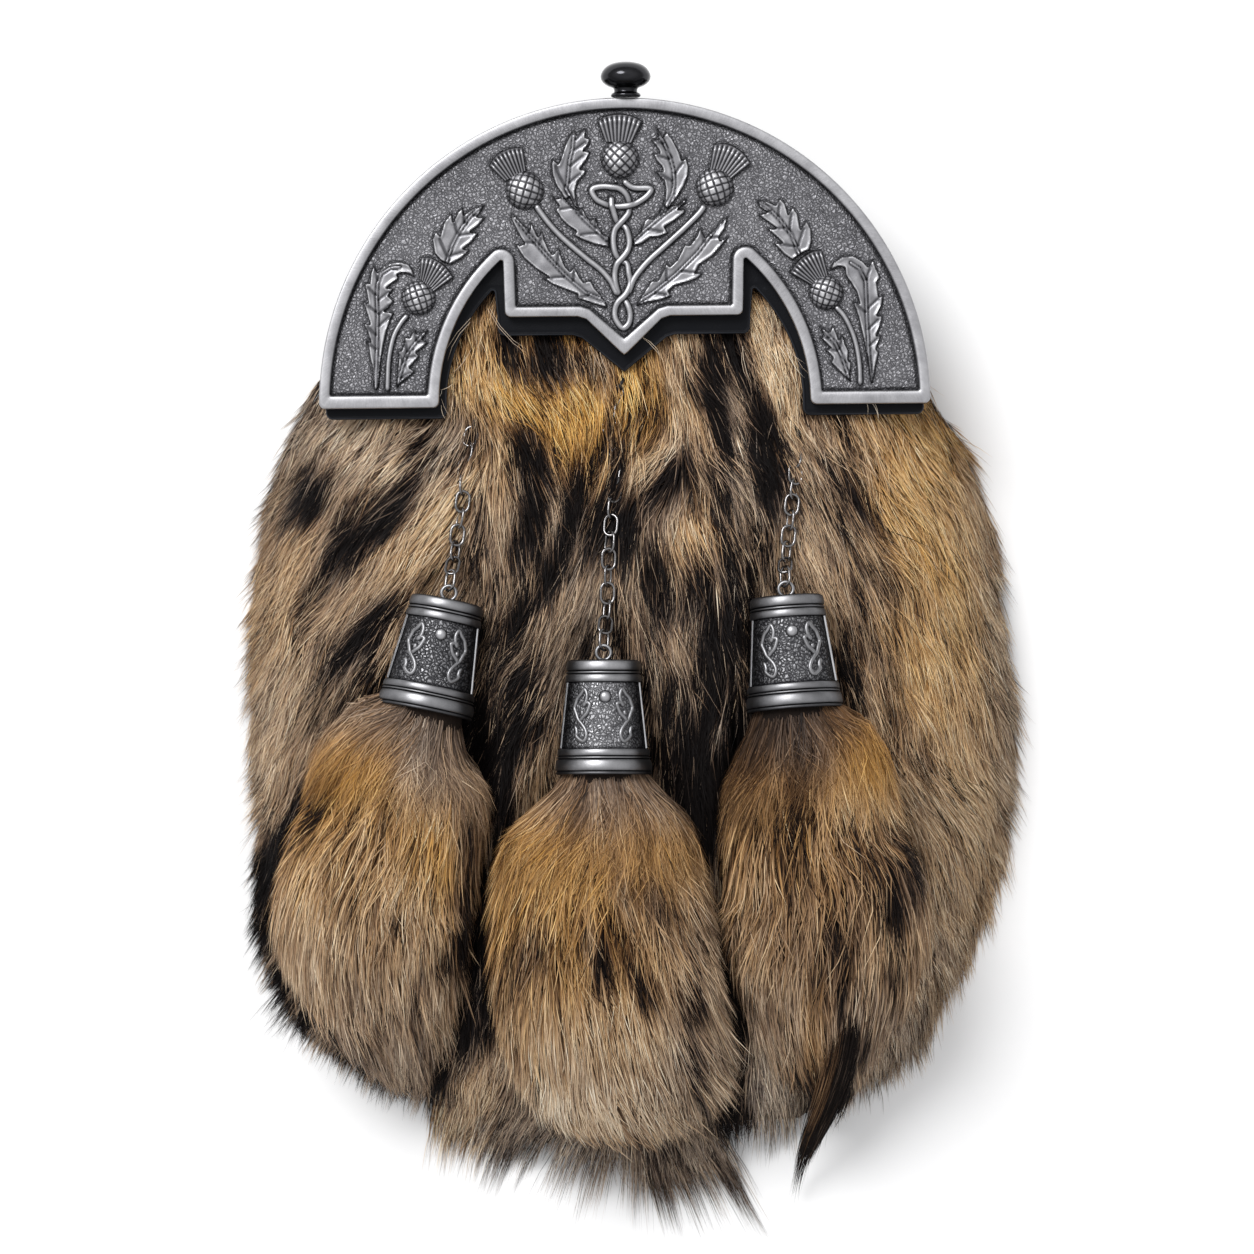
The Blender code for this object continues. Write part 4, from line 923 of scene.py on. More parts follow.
def add_leaf(pile, outline, rib, veins):
    outline = sheet(outline)
    rib = sheet(rib)
    veins = side_veins(outline, rib) if veins is None \
        else [sheet(v) for v in veins]
    edge = resample(outline, 0.30, closed=True)
    low, high = edge.min(0), edge.max(0)
    step = 0.31
    gx, gy = np.meshgrid(np.arange(low[0], high[0], step),
                         np.arange(low[1], high[1], step))
    gx = gx + (np.arange(len(gx)) % 2)[:, None] * step * 0.5
    inner = np.stack([gx.ravel(), gy.ravel()], 1)
    away = -outline_distance(edge, inner)
    inner = inner[away > 0.11]
    points = np.vstack([edge, inner])
    made = delaunay_2d_cdt([Vector(p) for p in points.tolist()], [],
                           [list(range(len(edge)))], 1, 1e-5)
    flat = np.array([(v.x, v.y) for v in made[0]])
    tris = np.array([f for f in made[2] if len(f) == 3])
    from_edge = np.maximum(-outline_distance(edge, flat), 0.0)
    from_rib = line_distance(resample(rib, 0.5), flat)
    from_vein = np.full(len(flat), 9.0)
    for vein in veins:
        from_vein = np.minimum(from_vein, line_distance(vein, flat))
    swell = np.sqrt(1.0 - (1.0 - np.clip(from_edge / 0.45, 0.0, 1.0)) ** 2)
    dished = smoothstep(0.42, 0.95, from_edge)
    swell = swell * (1.0 - 0.22 * dished)
    beside_rib = np.exp(-((from_rib - 0.40) / 0.17) ** 2)
    groove = (0.42 * beside_rib + 0.36 * np.exp(-(from_vein / 0.30) ** 4))
    z = FIELD_Z + 0.05 + LEAF_RISE * swell * (1.0 - np.minimum(groove, 0.8))
    wear_and_painted_light = (0.24 + 0.60 * smoothstep(0.03, 0.30, from_edge) - 0.20 * dished) \
        * (1.0 - 0.66 * beside_rib) \
        * (1.0 - 0.52 * np.exp(-(from_vein / 0.32) ** 4))
    wear_and_painted_light = wear_and_painted_light + 0.1 * value_noise(flat[:, 0], flat[:, 1], 1.7, 5) * (wear_and_painted_light > 0.5)
    top = np.column_stack([flat, z])
    flip = np.cross(flat[tris[:, 1]] - flat[tris[:, 0]],
                    flat[tris[:, 2]] - flat[tris[:, 0]]) < 0
    tris[flip] = tris[flip][:, ::-1]
    sides = np.vstack([tris[:, [0, 1]], tris[:, [1, 2]], tris[:, [2, 0]]])
    key = np.sort(sides, 1)
    _, index, count = np.unique(key[:, 0] * 1000003 + key[:, 1],
                                return_index=True, return_counts=True)
    rim = sides[index[count == 1]]
    used = np.unique(rim)
    lower = np.full(len(flat), -1)
    lower[used] = len(flat) + np.arange(len(used))
    skirt = top[used].copy()
    skirt[:, 2] = FIELD_Z - 0.6
    quads = np.stack([rim[:, 1], rim[:, 0], lower[rim[:, 0]],
                      lower[rim[:, 1]]], 1)
    pile.add(np.vstack([top, skirt]), quads, tris,
             np.concatenate([wear_and_painted_light, np.zeros(len(skirt))]))
    return edge


def add_stem(pile, points, width):
    p = np.asarray(points, float)
    flat = sheet(p[:, :2])
    line = catmull(np.column_stack([flat, p[:, 2]]), 7)
    line = resample(line, 0.30)
    n = len(line)
    tangent = np.gradient(line[:, :2], axis=0)
    tangent /= np.linalg.norm(tangent, axis=1)[:, None] + 1e-9
    across = np.stack([tangent[:, 1], -tangent[:, 0]], 1)
    s = np.linspace(0, 1, n) * (n - 1) * 0.30
    end = np.minimum(s, s[-1] - s)
    round_end = np.sqrt(np.clip(end / (width * 0.5), 0.02, 1.0))
    angles = np.linspace(0.0, math.pi, 9)
    half = width / 2 * round_end
    ring, shade = [], []
    for a in angles:
        off = half * math.cos(a)
        z = FIELD_Z + 0.1 + line[:, 2] + 0.95 * math.sin(a) ** 0.8 * round_end
        ring.append(np.column_stack([line[:, :2] + across * off[:, None], z]))
        shade.append((0.12 + 0.68 * smoothstep(0.25, 0.85, math.sin(a)))
                     * (1.0 + 0.55 * np.minimum(line[:, 2], 0.0)))
    for side in (-1.0, 1.0):
        ring.append(np.column_stack(
            [line[:, :2] + across * (half * side)[:, None],
             np.full(n, FIELD_Z - 0.6)]))
        shade.append(np.zeros(n))
    ring = np.stack(ring, 1)
    shade = np.stack(shade, 1)
    sides = ring.shape[1]
    quads = grid_faces(n, sides, wrap_cols=True)
    first = np.array([[0, i, i + 1] for i in range(1, sides - 1)])
    last = (n - 1) * sides + first[:, ::-1]
    pile.add(ring.reshape(-1, 3), quads, np.vstack([first, last]),
             shade.ravel())
    return line[:, :2], width / 2


def add_thistle(pile, centre, radius, left, right, crown):
    base = sheet((left, right))
    top = catmull(sheet(crown), 16)
    ball = sheet((centre,))[0]
    r = radius / 4.0
    lean = top.mean(0) - ball
    lean /= np.linalg.norm(lean)
    cross = np.array([lean[1], -lean[0]])
    # the ball: a dome of overlapping pointed scales
    rings, around = 28, 92
    rho = np.sin(np.linspace(0.0, 1.0, rings + 1)[1:] * math.pi / 2 * 0.985)
    a = np.arange(around) * 2 * math.pi / around
    px = (rho[:, None] * np.cos(a)).ravel()
    py = (rho[:, None] * np.sin(a)).ravel()
    px, py = np.append(px, 0.0), np.append(py, 0.0)
    height = np.sqrt(np.maximum(1.0 - px ** 2 - py ** 2, 0.0))
    ca = (px * cross[0] + py * cross[1])
    la = (px * lean[0] + py * lean[1])
    ua = np.arcsin(np.clip(ca, -1, 1)) * 1.65
    ub = np.arcsin(np.clip(la, -1, 1)) * 1.65
    one, two = (ua + ub) * 1.02, (ua - ub) * 1.02
    d1 = 1.0 - np.abs(2.0 * (one - np.floor(one)) - 1.0)
    d2 = 1.0 - np.abs(2.0 * (two - np.floor(two)) - 1.0)
    scale = np.minimum(smoothstep(0.02, 0.40, d1), smoothstep(0.02, 0.40, d2))
    tilt = (one - np.floor(one) + two - np.floor(two)) * 0.5 - 0.5
    rise = 2.75 * (r / 4.5)
    grow = 1.0 + (0.085 * scale - 0.03)
    verts = np.column_stack([
        ball[0] + px * r * grow, ball[1] + py * r * grow,
        FIELD_Z + 0.1 + rise * height * grow])
    wear_and_painted_light = (0.20 + 0.64 * scale ** 1.2) * (0.55 + 0.5 * height ** 0.7)
    wear_and_painted_light = wear_and_painted_light * (1.0 + 0.25 * value_noise(px * 5, py * 5, 1.0, 31 + int(radius * 10)))
    quads = grid_faces(rings, around, wrap_cols=True)
    k = np.arange(around)
    centre_tris = np.stack([np.full(around, rings * around), k,
                            (k + 1) % around], 1)
    foot = verts[(rings - 1) * around:rings * around].copy()
    foot[:, 2] = FIELD_Z - 0.6
    n = len(verts)
    skirt = np.stack([(rings - 1) * around + k, (rings - 1) * around
                      + (k + 1) % around, n + (k + 1) % around, n + k], 1)
    pile.add(np.vstack([verts, foot]), np.vstack([quads, skirt])[:, ::-1],
             centre_tris[:, ::-1][:, ::-1],
             np.concatenate([wear_and_painted_light, np.zeros(around)]))
    # the crown: a flared fan of petals, beaded under a turned lip
    cols, rows_ = 104, 22
    across = np.linspace(0.0, 1.0, cols)
    arc = resample(top, np.linalg.norm(np.diff(top, axis=0), axis=1).sum()
                   / (cols - 1))[:cols]
    low = base[0] + (base[1] - base[0]) * across[:, None]
    t = np.linspace(0.0, 1.0, rows_)
    flare = t ** 1.25
    flat = low[None] * (1 - flare)[:, None, None] + arc[None] * flare[:, None, None]
    petals = 9.0
    wave = (0.5 - 0.5 * np.cos(2 * math.pi * petals * across)) ** 0.36
    wave = wave[None, :] * np.ones((rows_, 1))
    tt = t[:, None] * np.ones((1, cols))
    bead = np.exp(-((tt - 0.80) / 0.055) ** 2) * wave
    lip = smoothstep(0.90, 0.94, tt)
    gap = np.exp(-((tt - 0.885) / 0.02) ** 2)
    body = 0.75 + 0.75 * smoothstep(0.0, 0.8, tt)
    edge = np.minimum(across, 1 - across)[None, :] * 30.0
    fall = np.sqrt(1 - (1 - np.clip(edge, 0, 1)) ** 2)
    fall_top = np.sqrt(1 - (1 - np.clip((1 - tt) * 22.0, 0, 1)) ** 2)
    z = FIELD_Z + 0.05 + r / 4.5 * fall * (
        body * (0.66 + 0.34 * wave * (1 - lip) + 0.34 * lip)
        * (0.35 + 0.65 * fall_top) + 0.25 * bead - 0.35 * gap)
    wear_and_painted_light = (0.24 + 0.54 * wave) * (1 - lip) * (0.84 + 0.16 * tt) \
        + 0.20 * bead + 0.70 * lip * fall_top
    wear_and_painted_light = wear_and_painted_light * (1 - 0.70 * gap) * (0.35 + 0.65 * fall)
    top_v = np.dstack([flat, z])
    under = top_v.copy()
    under[:, :, 2] = FIELD_Z - 0.6
    idx = np.arange(rows_ * cols).reshape(rows_, cols)
    loop = np.concatenate([idx[0], idx[1:, -1], idx[-1, ::-1][1:],
                           idx[::-1, 0][1:-1]])
    n = rows_ * cols
    nxt = np.roll(loop, -1)
    lower = n + np.arange(len(loop))
    skirt = np.stack([loop, nxt, np.roll(lower, -1), lower], 1)
    quads = grid_faces(rows_, cols)
    turn = np.cross(flat[0, -1] - flat[0, 0], flat[-1, 0] - flat[0, 0])
    faces = np.vstack([quads, skirt[:, ::-1]])
    if turn < 0:
        faces = faces[:, ::-1]
    pile.add(np.vstack([top_v.reshape(-1, 3), under.reshape(-1, 3)[loop]]),
             faces, None, np.concatenate([wear_and_painted_light.ravel(), np.zeros(len(loop))]))
    crown_edge = np.vstack([low, arc[::-1]])
    ring = np.stack([ball[0] + r * np.cos(a), ball[1] + r * np.sin(a)], 1)
    return crown_edge, ring


def build_cantle():
    fine = 3
    outer = cantle_outline(OUTLINES["cantle"], fine)
    inner = cantle_outline(OUTLINES["field"], fine)
    pile = Pile()
    # the rim, lofted from the outer contour to the field's
    stations = ((0.0, 34.3, 0.05), (0.0, 35.4, 0.25), (0.0, 36.75, 0.62),
                (0.012, 36.98, 0.78), (0.045, 37.17, 0.86),
                (0.10, 37.27, 0.84), (0.20, 37.31, 0.79),
                (0.35, 37.34, 0.77), (0.5, 37.35, 0.76), (0.65, 37.34, 0.76),
                (0.80, 37.30, 0.77), (0.89, 37.22, 0.83), (0.95, 37.06, 0.84),
                (0.985, 36.80, 0.66), (1.0, 36.4, 0.40), (1.01, 35.9, 0.18),
                (1.02, 34.8, 0.10))
    n = len(outer)
    seg = np.linalg.norm(outer - np.roll(outer, 1, 0), axis=1)
    along = np.cumsum(seg)
    verts, shade, brush = [], [], []
    for f, z, s in stations:
        flat = outer + (inner - outer) * f
        verts.append(np.column_stack([flat, np.full(n, z)]))
        shade.append(np.full(n, s))
        brush.append(np.column_stack([along, np.full(n, f * 2.8),
                                      np.zeros(n)]))
    verts, shade = np.stack(verts), np.stack(shade)
    wear_and_painted_light = 0.03 * value_noise(verts[:, :, 0], verts[:, :, 1], 9.0, 3)
    quads = grid_faces(len(stations), n, wrap_rows=True, wrap_cols=True)
    pile.add(verts.reshape(-1, 3), quads[:, ::-1], None,
             (shade + wear_and_painted_light).ravel(), np.concatenate(brush))
    # the plate behind the field
    back = inset(outer, 0.4)
    tris = cap(back)
    count = len(back)
    k = np.arange(count)
    low = np.column_stack([back, np.full(count, PLATE_BACK_Z + 0.02)])
    high = np.column_stack([back, np.full(count, 35.1)])
    wall = np.stack([k, (k + 1) % count, count + (k + 1) % count,
                     count + k], 1)
    pile.add(np.vstack([low, high]), wall,
             np.vstack([tris[:, ::-1], tris + count]), 0.1)
    rim = pile
    # the ornament
    ornament = Pile()
    shapes, rods = [], []
    for outline, rib, veins in LEAVES:
        shapes.append(add_leaf(ornament, outline, rib, veins))
    for points, width in STEMS:
        rods.append(add_stem(ornament, points, width))
    for row in THISTLES:
        shapes.extend(add_thistle(ornament, *row))
    # the pebbled field
    step = 0.42
    gx, gy = np.meshgrid(np.arange(-76.0, 76.0 + step, step),
                         np.arange(54.0, 133.0 + step, step))
    pts = np.stack([gx.ravel(), gy.ravel()], 1)
    away = outline_distance(inner, pts)
    near = np.full(len(pts), 9.0)
    for shape in shapes:
        lo, hi = shape.min(0) - 1.2, shape.max(0) + 1.2
        pick = np.all((pts > lo) & (pts < hi), axis=1) & (away < 0)
        if pick.any():
            near[pick] = np.minimum(near[pick],
                                    outline_distance(shape[::2], pts[pick]))
    for line, half in rods:
        lo, hi = line.min(0) - 1.6, line.max(0) + 1.6
        pick = np.all((pts > lo) & (pts < hi), axis=1) & (away < 0)
        near[pick] = np.minimum(near[pick],
                                line_distance(line[::2], pts[pick]) - half)
    warp = value_noise(pts[:, 0], pts[:, 1], 1.3, 11) * 0.45
    warp2 = value_noise(pts[:, 0], pts[:, 1], 1.3, 17) * 0.45
    first, second, own = cells(pts[:, 0] + warp, (pts[:, 1] + warp2), 0.92, 23)
    ridge = smoothstep(0.05, 0.42, second - first)
    merge = smoothstep(0.25, 0.75, value_noise(pts[:, 0], pts[:, 1], 1.6, 29)
                       * 0.5 + 0.5)
    pebble = ridge * (0.5 + 0.5 * own) * (0.55 + 0.45 * merge)
    # next to the rim the ground sinks into a dark groove, and it sinks and darkens a
    # little beside the ornament
    groove = smoothstep(-1.0, -0.2, away)
    close = 1.0 - smoothstep(0.0, 0.7, near)
    z = FIELD_Z - 0.22 + 0.17 * pebble - 0.30 * groove - 0.12 * close
    wear_and_painted_light = 0.47 + 0.10 * pebble + 0.05 * (pebble > 0.75) * own
    wear_and_painted_light = wear_and_painted_light * (1 - 0.55 * groove) * (1 - 0.36 * close)
    wear_and_painted_light = np.clip(wear_and_painted_light + 0.03 * value_noise(pts[:, 0], pts[:, 1], 14.0, 37),
                   0, 1)
    ny, nx = gx.shape
    quads = grid_faces(ny, nx)
    keep = (away[quads] < 0.85).all(1)
    hidden = (near[quads] < -0.45).all(1)
    quads = quads[keep & ~hidden]
    used = np.unique(quads)
    number = np.full(len(pts), -1)
    number[used] = np.arange(len(used))
    field = Pile()
    pebbled = (1.0 - 0.5 * groove - 0.35 * close)[used]
    field.add(np.column_stack([pts[used], z[used]]), number[quads], None,
              wear_and_painted_light[used], np.column_stack([0 * pebbled, 0 * pebbled, pebbled]))
    rim.make("cantle_rim", PEWTER, "pewter", ("cantle",), 50)
    field.make("cantle_field", PEWTER, "pewter")
    ornament.make("cantle_ornament", PEWTER, "pewter", sharp_deg=60)


build_cantle()


# ========================================================== bells and chains ==
BELL_TOP_RADIUS = 8.8
BELL_MOUTH_RADIUS = 11.9
BELL_HEIGHT = 28.3
BELL_WALL = 1.1
EYE_RADIUS = 1.8
EYE_RISE = 1.9
NECK_IN_BELL = 8.0
BELLS = {
    "left": ((-44.5, 7.0, 47.6), (-50.3, -20.4, 49.6)),
    "centre": ((-5.9, -8.2, 50.6), (-6.1, -36.5, 51.6)),
    "right": ((39.6, 7.1, 48.2), (41.4, -21.0, 50.2)),
}
CHAIN_ROUTES = {
    "left": ((-37.8, 51.0), (-39.2, 45.5), (-40.2, 38.0), (-40.6, 32.0),
             (-41.8, 25.0), (-42.6, 19.0), (-43.6, 13.5)),
    "centre": ((-1.0, 60.6), (-3.5, 55.0), (-3.6, 47.5), (-2.0, 41.5),
               (-2.7, 35.0), (-3.6, 27.5), (-4.2, 20.5), (-4.6, 12.5),
               (-5.0, 4.0), (-5.6, -1.5)),
    "right": ((43.3, 47.2), (42.6, 41.5), (42.3, 36.0), (41.3, 29.5),
              (40.5, 23.0), (39.6, 16.5), (39.3, 13.0)),
}
LINK_LENGTH, LINK_WIDTH, LINK_WIRE, LINK_PITCH = 6.0, 4.0, 0.7, 4.3
LINK_TO_RING = 3.25
FUR_ROWS = (
    (91.0, 26.0, 26.0, 31.3, 10.0), (88.0, 42.0, 42.0, 31.4, 10.0),
    (83.0, 53.0, 53.0, 31.5, 10.0), (76.0, 62.5, 62.5, 31.5, 10.0),
    (69.0, 69.5, 69.5, 31.5, 10.0), (62.0, 75.0, 75.5, 32.0, 8.0),
    (52.0, 82.0, 84.0, 35.0, 6.0), (40.0, 87.6, 90.0, 39.0, 4.5),
    (26.0, 92.4, 95.4, 42.0, 3.6), (12.0, 96.0, 98.0, 44.0, 3.1),
    (-2.0, 98.2, 99.8, 45.0, 2.9), (-18.0, 99.4, 101.2, 45.0, 2.8),
    (-34.0, 98.6, 100.6, 44.0, 2.7), (-50.0, 96.8, 97.4, 42.0, 2.6),
    (-66.0, 95.6, 92.8, 39.0, 2.6), (-80.0, 94.0, 87.0, 35.0, 2.6),
    (-92.0, 90.4, 80.4, 30.5, 2.6), (-104.0, 82.0, 75.0, 25.0, 2.6),
    (-114.0, 70.5, 67.0, 20.0, 2.5), (-121.0, 56.5, 56.5, 16.0, 2.4),
    (-130.0, 42.0, 44.0, 11.5, 2.3), (-138.0, 22.0, 32.0, 6.5, 2.2),
)
_y, _left, _right, _crest, _full = np.array(FUR_ROWS).T
fur_left, fur_right = smooth_table(_y, _left), smooth_table(_y, _right)
fur_crest, fur_full = smooth_table(_y, _crest), smooth_table(_y, _full)
FLAP_OUTLINE = cantle_outline(OUTLINES["flap"], 1)


def fur_base(x, y):
    """Height of the fur's outer form before anything presses into it."""
    x, y = np.atleast_1d(np.asarray(x, float)), np.atleast_1d(np.asarray(y, float))
    width = np.where(x < 0, fur_left(y), fur_right(y))
    ratio = np.minimum(np.abs(x) / width, 1.0)
    z = fur_crest(y) * np.sqrt(1.0 - ratio ** fur_full(y))
    high = y > 40.0
    if high.any():
        away = outline_distance(FLAP_OUTLINE, np.stack([x[high], y[high]], 1))
        z[high] = np.minimum(z[high],
                             31.4 + 1.2 * np.maximum(away - 5.0, 0.0))
    return z


def bell_frame(name):
    """The bell's mouth, its axes across, to the front and up, and its top."""
    top, mouth = (np.array(p, float) for p in BELLS[name])
    axis = (mouth - top) / np.linalg.norm(mouth - top)
    mouth = top + axis * BELL_HEIGHT
    side = np.cross((0.0, 0.0, 1.0), -axis)
    side /= np.linalg.norm(side)
    return mouth, side, np.cross(-axis, side), -axis, top


def chain_layout(name):
    top, axis = bell_frame(name)[4], -bell_frame(name)[3]
    ring = top - axis * EYE_RISE
    route = np.array(CHAIN_ROUTES[name])
    z = fur_base(route[:, 0], route[:, 1]) + 0.6
    z[0] += 0.6
    z[-1] = max(z[-1], ring[2] - 1.0)
    z[-2] += 0.6
    line = catmull(np.vstack([np.column_stack([route, z]), ring]), 14)
    lengths = np.concatenate([[0.0], np.cumsum(
        np.linalg.norm(np.diff(line, axis=0), axis=1))])
    total = lengths[-1]

    def at(s):
        return np.array([np.interp(s, lengths, line[:, k]) for k in range(3)])

    count = int(math.ceil((total - 2 * LINK_TO_RING) / LINK_PITCH)) + 1
    pitch = (total - 2 * LINK_TO_RING) / (count - 1)
    links = []
    for i in range(count):
        s = LINK_TO_RING + pitch * i
        along = at(s + 2.0) - at(s - 2.0)
        links.append((at(s), along / np.linalg.norm(along),
                      (count - 1 - i) % 2 == 0))
    return line, links


CHAINS = {name: chain_layout(name) for name in BELLS}

# One scroll of the bell's relief, left of its middle: sheet points on the
# middle bell, whose axis is at 604 and top at 659.5.
SCROLL = (
    ((583.3, 706.0), (585.7, 703.2), (587.1, 699.3), (587.6, 693.6),
     (585.2, 688.8), (581.8, 693.6), (578.5, 697.4), (576.6, 703.0),
     (575.4, 707.5), (577.1, 712.7), (579.0, 718.5), (581.8, 722.3),
     (585.2, 727.1), (587.1, 732.8), (586.1, 737.6), (583.8, 740.0),
     (580.4, 738.6), (577.1, 734.7), (577.6, 731.9), (577.1, 728.0),
     (575.6, 724.7)),
    ((583.8, 706.0), (584.8, 703.2), (587.1, 702.0), (590.5, 703.2),
     (589.5, 707.0), (587.1, 712.7), (583.3, 716.6), (580.4, 720.4)),
    ((582.8, 709.5), (583.0, 712.2), (582.2, 714.5)),
)


def bell_radius(h):
    return BELL_MOUTH_RADIUS - (BELL_MOUTH_RADIUS - BELL_TOP_RADIUS) \
        / BELL_HEIGHT * h


def band(low, high, swell, bright, steps=8):
    """Lathe rows of one rounded band of the bell, from its lower edge up."""
    made = []
    for k in range(steps + 1):
        a = math.pi * k / steps
        h = low + (high - low) * (0.5 - 0.5 * math.cos(a))
        made.append((bell_radius(h) - 0.12 + swell * math.sin(a) ** 0.8, h,
                     0.25 + (bright - 0.25) * math.sin(a) ** 0.5))
    return made


def build_bell(name):
    mouth, side, front, up, top = bell_frame(name)
    pile = Pile()
    sides = 68
    rows_ = [(BELL_MOUTH_RADIUS - BELL_WALL, 0.35, 0.05),
             (BELL_MOUTH_RADIUS - 0.75, 0.05, 0.25),
             (BELL_MOUTH_RADIUS - 0.35, 0.0, 0.45)]
    rows_ += band(0.1, 0.75, 0.15, 0.5, 4)
    rows_ += [(bell_radius(0.8) - 0.25, 0.85, 0.08)]
    rows_ += band(0.95, 3.75, 0.42, 0.93, 10)
    rows_ += [(bell_radius(3.9) - 0.30, 3.9, 0.05)]
    rows_ += band(3.98, 4.42, 0.22, 0.85, 5)
    rows_ += [(bell_radius(4.55) - 0.30, 4.55, 0.05)]
    rows_ += band(4.65, 6.35, 0.30, 0.90, 8)
    lower = np.array(rows_)
    rows_ = band(22.85, 24.75, 0.30, 0.90, 8)
    rows_ += [(bell_radius(24.85) - 0.30, 24.85, 0.05)]
    rows_ += band(24.95, 25.45, 0.22, 0.85, 5)
    rows_ += [(bell_radius(25.6) - 0.32, 25.6, 0.05)]
    rows_ += band(25.7, 28.1, 0.38, 0.93, 10)
    rows_ += [(BELL_TOP_RADIUS - 0.35, 28.3, 0.6),
              (BELL_TOP_RADIUS - 1.2, 28.33, 0.45), (2.0, 28.35, 0.42),
              (0.01, 28.35, 0.42)]
    upper = np.array(rows_)
    inside = np.array([(0.01, 27.2, 0.0), (7.6, 27.2, 0.0),
                       (BELL_MOUTH_RADIUS - BELL_WALL, 0.35, 0.05)])
    # painted shade on the bands: the side factor below darkens them towards both sides,
    # where the bell turns away from the front; each bell is also set to its own overall
    # level
    way = np.arange(sides) * 2 * math.pi / sides
    way = np.abs((way - math.pi / 2 + math.pi) % (2 * math.pi) - math.pi)
    painted_side_shade = 1.0 - 0.42 * smoothstep(0.55, 1.15, way) \
        * (1.0 - smoothstep(1.95, 2.5, way))
    bright, field = {"left": (0.88, 0.76), "centre": (0.96, 1.09),
                     "right": (0.85, 0.80)}[name]
    painted_side_shade = painted_side_shade * bright
    for part in (lower, upper):
        turned(pile, part[:, :2], mouth, up, (0, 0, 1), sides,
               (part[:, 2][:, None] * painted_side_shade[None]).ravel())
    turned(pile, inside[:, :2], mouth, up, (0, 0, 1), sides,
           np.repeat(inside[:, 2], sides))
    # the pebbled field between the bands
    heights = np.linspace(6.3, 22.9, 34)
    around = 128
    a = np.arange(around) * 2 * math.pi / around
    hh, aa = np.meshgrid(heights, a, indexing="ij")
    arc = aa * 10.3
    seed = {"left": 50, "centre": 60, "right": 70}[name]
    warp = value_noise(arc, hh, 1.2, seed) * 0.5
    first, second, own = cells(arc + warp, hh - warp, 0.98, seed + 3)
    pebble = smoothstep(0.05, 0.45, second - first) * (0.5 + 0.5 * own)
    # painted shade on the field: its sides are sunk 0.1 mm, which is real, but darkened
    # by 80 % there, which is painted shade, and turn darkens them further where the
    # bell turns away from the front
    middle = np.abs((aa - math.pi / 2 + math.pi) % (2 * math.pi) - math.pi)
    recess = smoothstep(0.98, 1.12, middle) * (1 - smoothstep(1.9, 2.05, middle))
    rim_dark = np.minimum(hh - 6.35, 22.85 - hh)
    near = 1.0 - smoothstep(0.0, 0.6, rim_dark)
    bumps = -0.34 + 0.18 * pebble - 0.15 * near - 0.1 * recess
    profile = np.column_stack([bell_radius(heights), heights])
    turn = smoothstep(0.45, 1.0, middle) * (1 - smoothstep(1.9, 2.1, middle))
    wear_and_painted_light = (0.55 + 0.14 * pebble) * (1 - 0.7 * near) * (1 - 0.80 * recess) \
        * (1 - 0.42 * turn) * field
    turned(pile, profile, mouth, up, (0, 0, 1), around, wear_and_painted_light.ravel(), bumps)
    ground = (1 - 0.8 * near).ravel()
    pile.b[-1] = np.column_stack([0 * ground, 0 * ground, ground])

    def on_cone(off, h, lift=0.0):
        r = bell_radius(h) - 0.15 + lift
        s = np.clip(off / bell_radius(h), -0.999, 0.999)
        c = np.sqrt(1 - s ** 2)
        return (mouth + np.outer(h, up) + np.outer(r * s, side)
                + (r * c)[:, None] * front)

    flip = 1.0 if side[0] > 0 else -1.0
    for hand in (1.0, -1.0):
        for part in SCROLL:
            p = catmull(np.array(part), 5)
            off = (p[:, 0] - 604.0) / 4.0 * hand * flip
            off = off + 0.35 * hand * flip * -1.0 * 0.0
            h = BELL_HEIGHT - (p[:, 1] - 659.5) / 4.0
            line = on_cone(off, h, 0.05)
            n = len(line)
            grow = 0.52 * np.minimum(1.0, np.minimum(
                np.arange(n) + 1.5, n - np.arange(n) + 0.5) / 4.0)
            tube(pile, line, grow, 8, shade=0.80)
    # four thin upright seams, and the stud
    for angle in (-1.27, 1.27, math.pi - 1.27, math.pi + 1.27):
        h = np.linspace(6.5, 22.7, 12)
        line = on_cone(bell_radius(h) * math.sin(angle), h, 0.0) \
            if abs(angle) < 2 else None
        if line is None:
            r = bell_radius(h) - 0.15
            line = (mouth + np.outer(h, up)
                    + np.outer(r * math.sin(angle), side)
                    + np.outer(r * math.cos(angle), front))
        tube(pile, line, 0.32, 6, shade=0.95)
    stud = np.array([1.7 / 4.0])
    h0 = BELL_HEIGHT - (696.3 - 659.5) / 4.0
    base = on_cone(stud * flip, np.array([h0]), -0.1)[0]
    out = base - (mouth + up * h0)
    out /= np.linalg.norm(out)
    dome = np.array([(1.62, -0.2, 0.05), (1.55, 0.12, 0.05), (1.45, 0.15, 0.3),
                     (1.4, 0.4, 0.75), (1.25, 0.72, 0.92), (0.95, 0.98, 0.97),
                     (0.5, 1.14, 1.0), (0.01, 1.18, 1.0)])
    turned(pile, dome[:, :2], base, out, (1, 0, 0) if abs(out[0]) < 0.9
           else (0, 1, 0), 24, np.repeat(dome[:, 2], 24))
    # the soldered wire eye
    a = np.arange(40) * 2 * math.pi / 40
    centre = top + up * EYE_RISE
    ring = (centre + np.outer(np.cos(a) * EYE_RADIUS, up)
            + np.outer(np.sin(a) * EYE_RADIUS, side))
    tube(pile, ring, 0.42, 10, closed=True, shade=0.85, normal=front)
    tube(pile, np.array([top - up * 0.1, top + up * 0.35]), 0.9, 16, shade=0.5)
    pile.make("bell_" + name + "_detail", BELL_METAL, "gunmetal",
              ("bell_" + name,), 50)
    return pile.triangles()


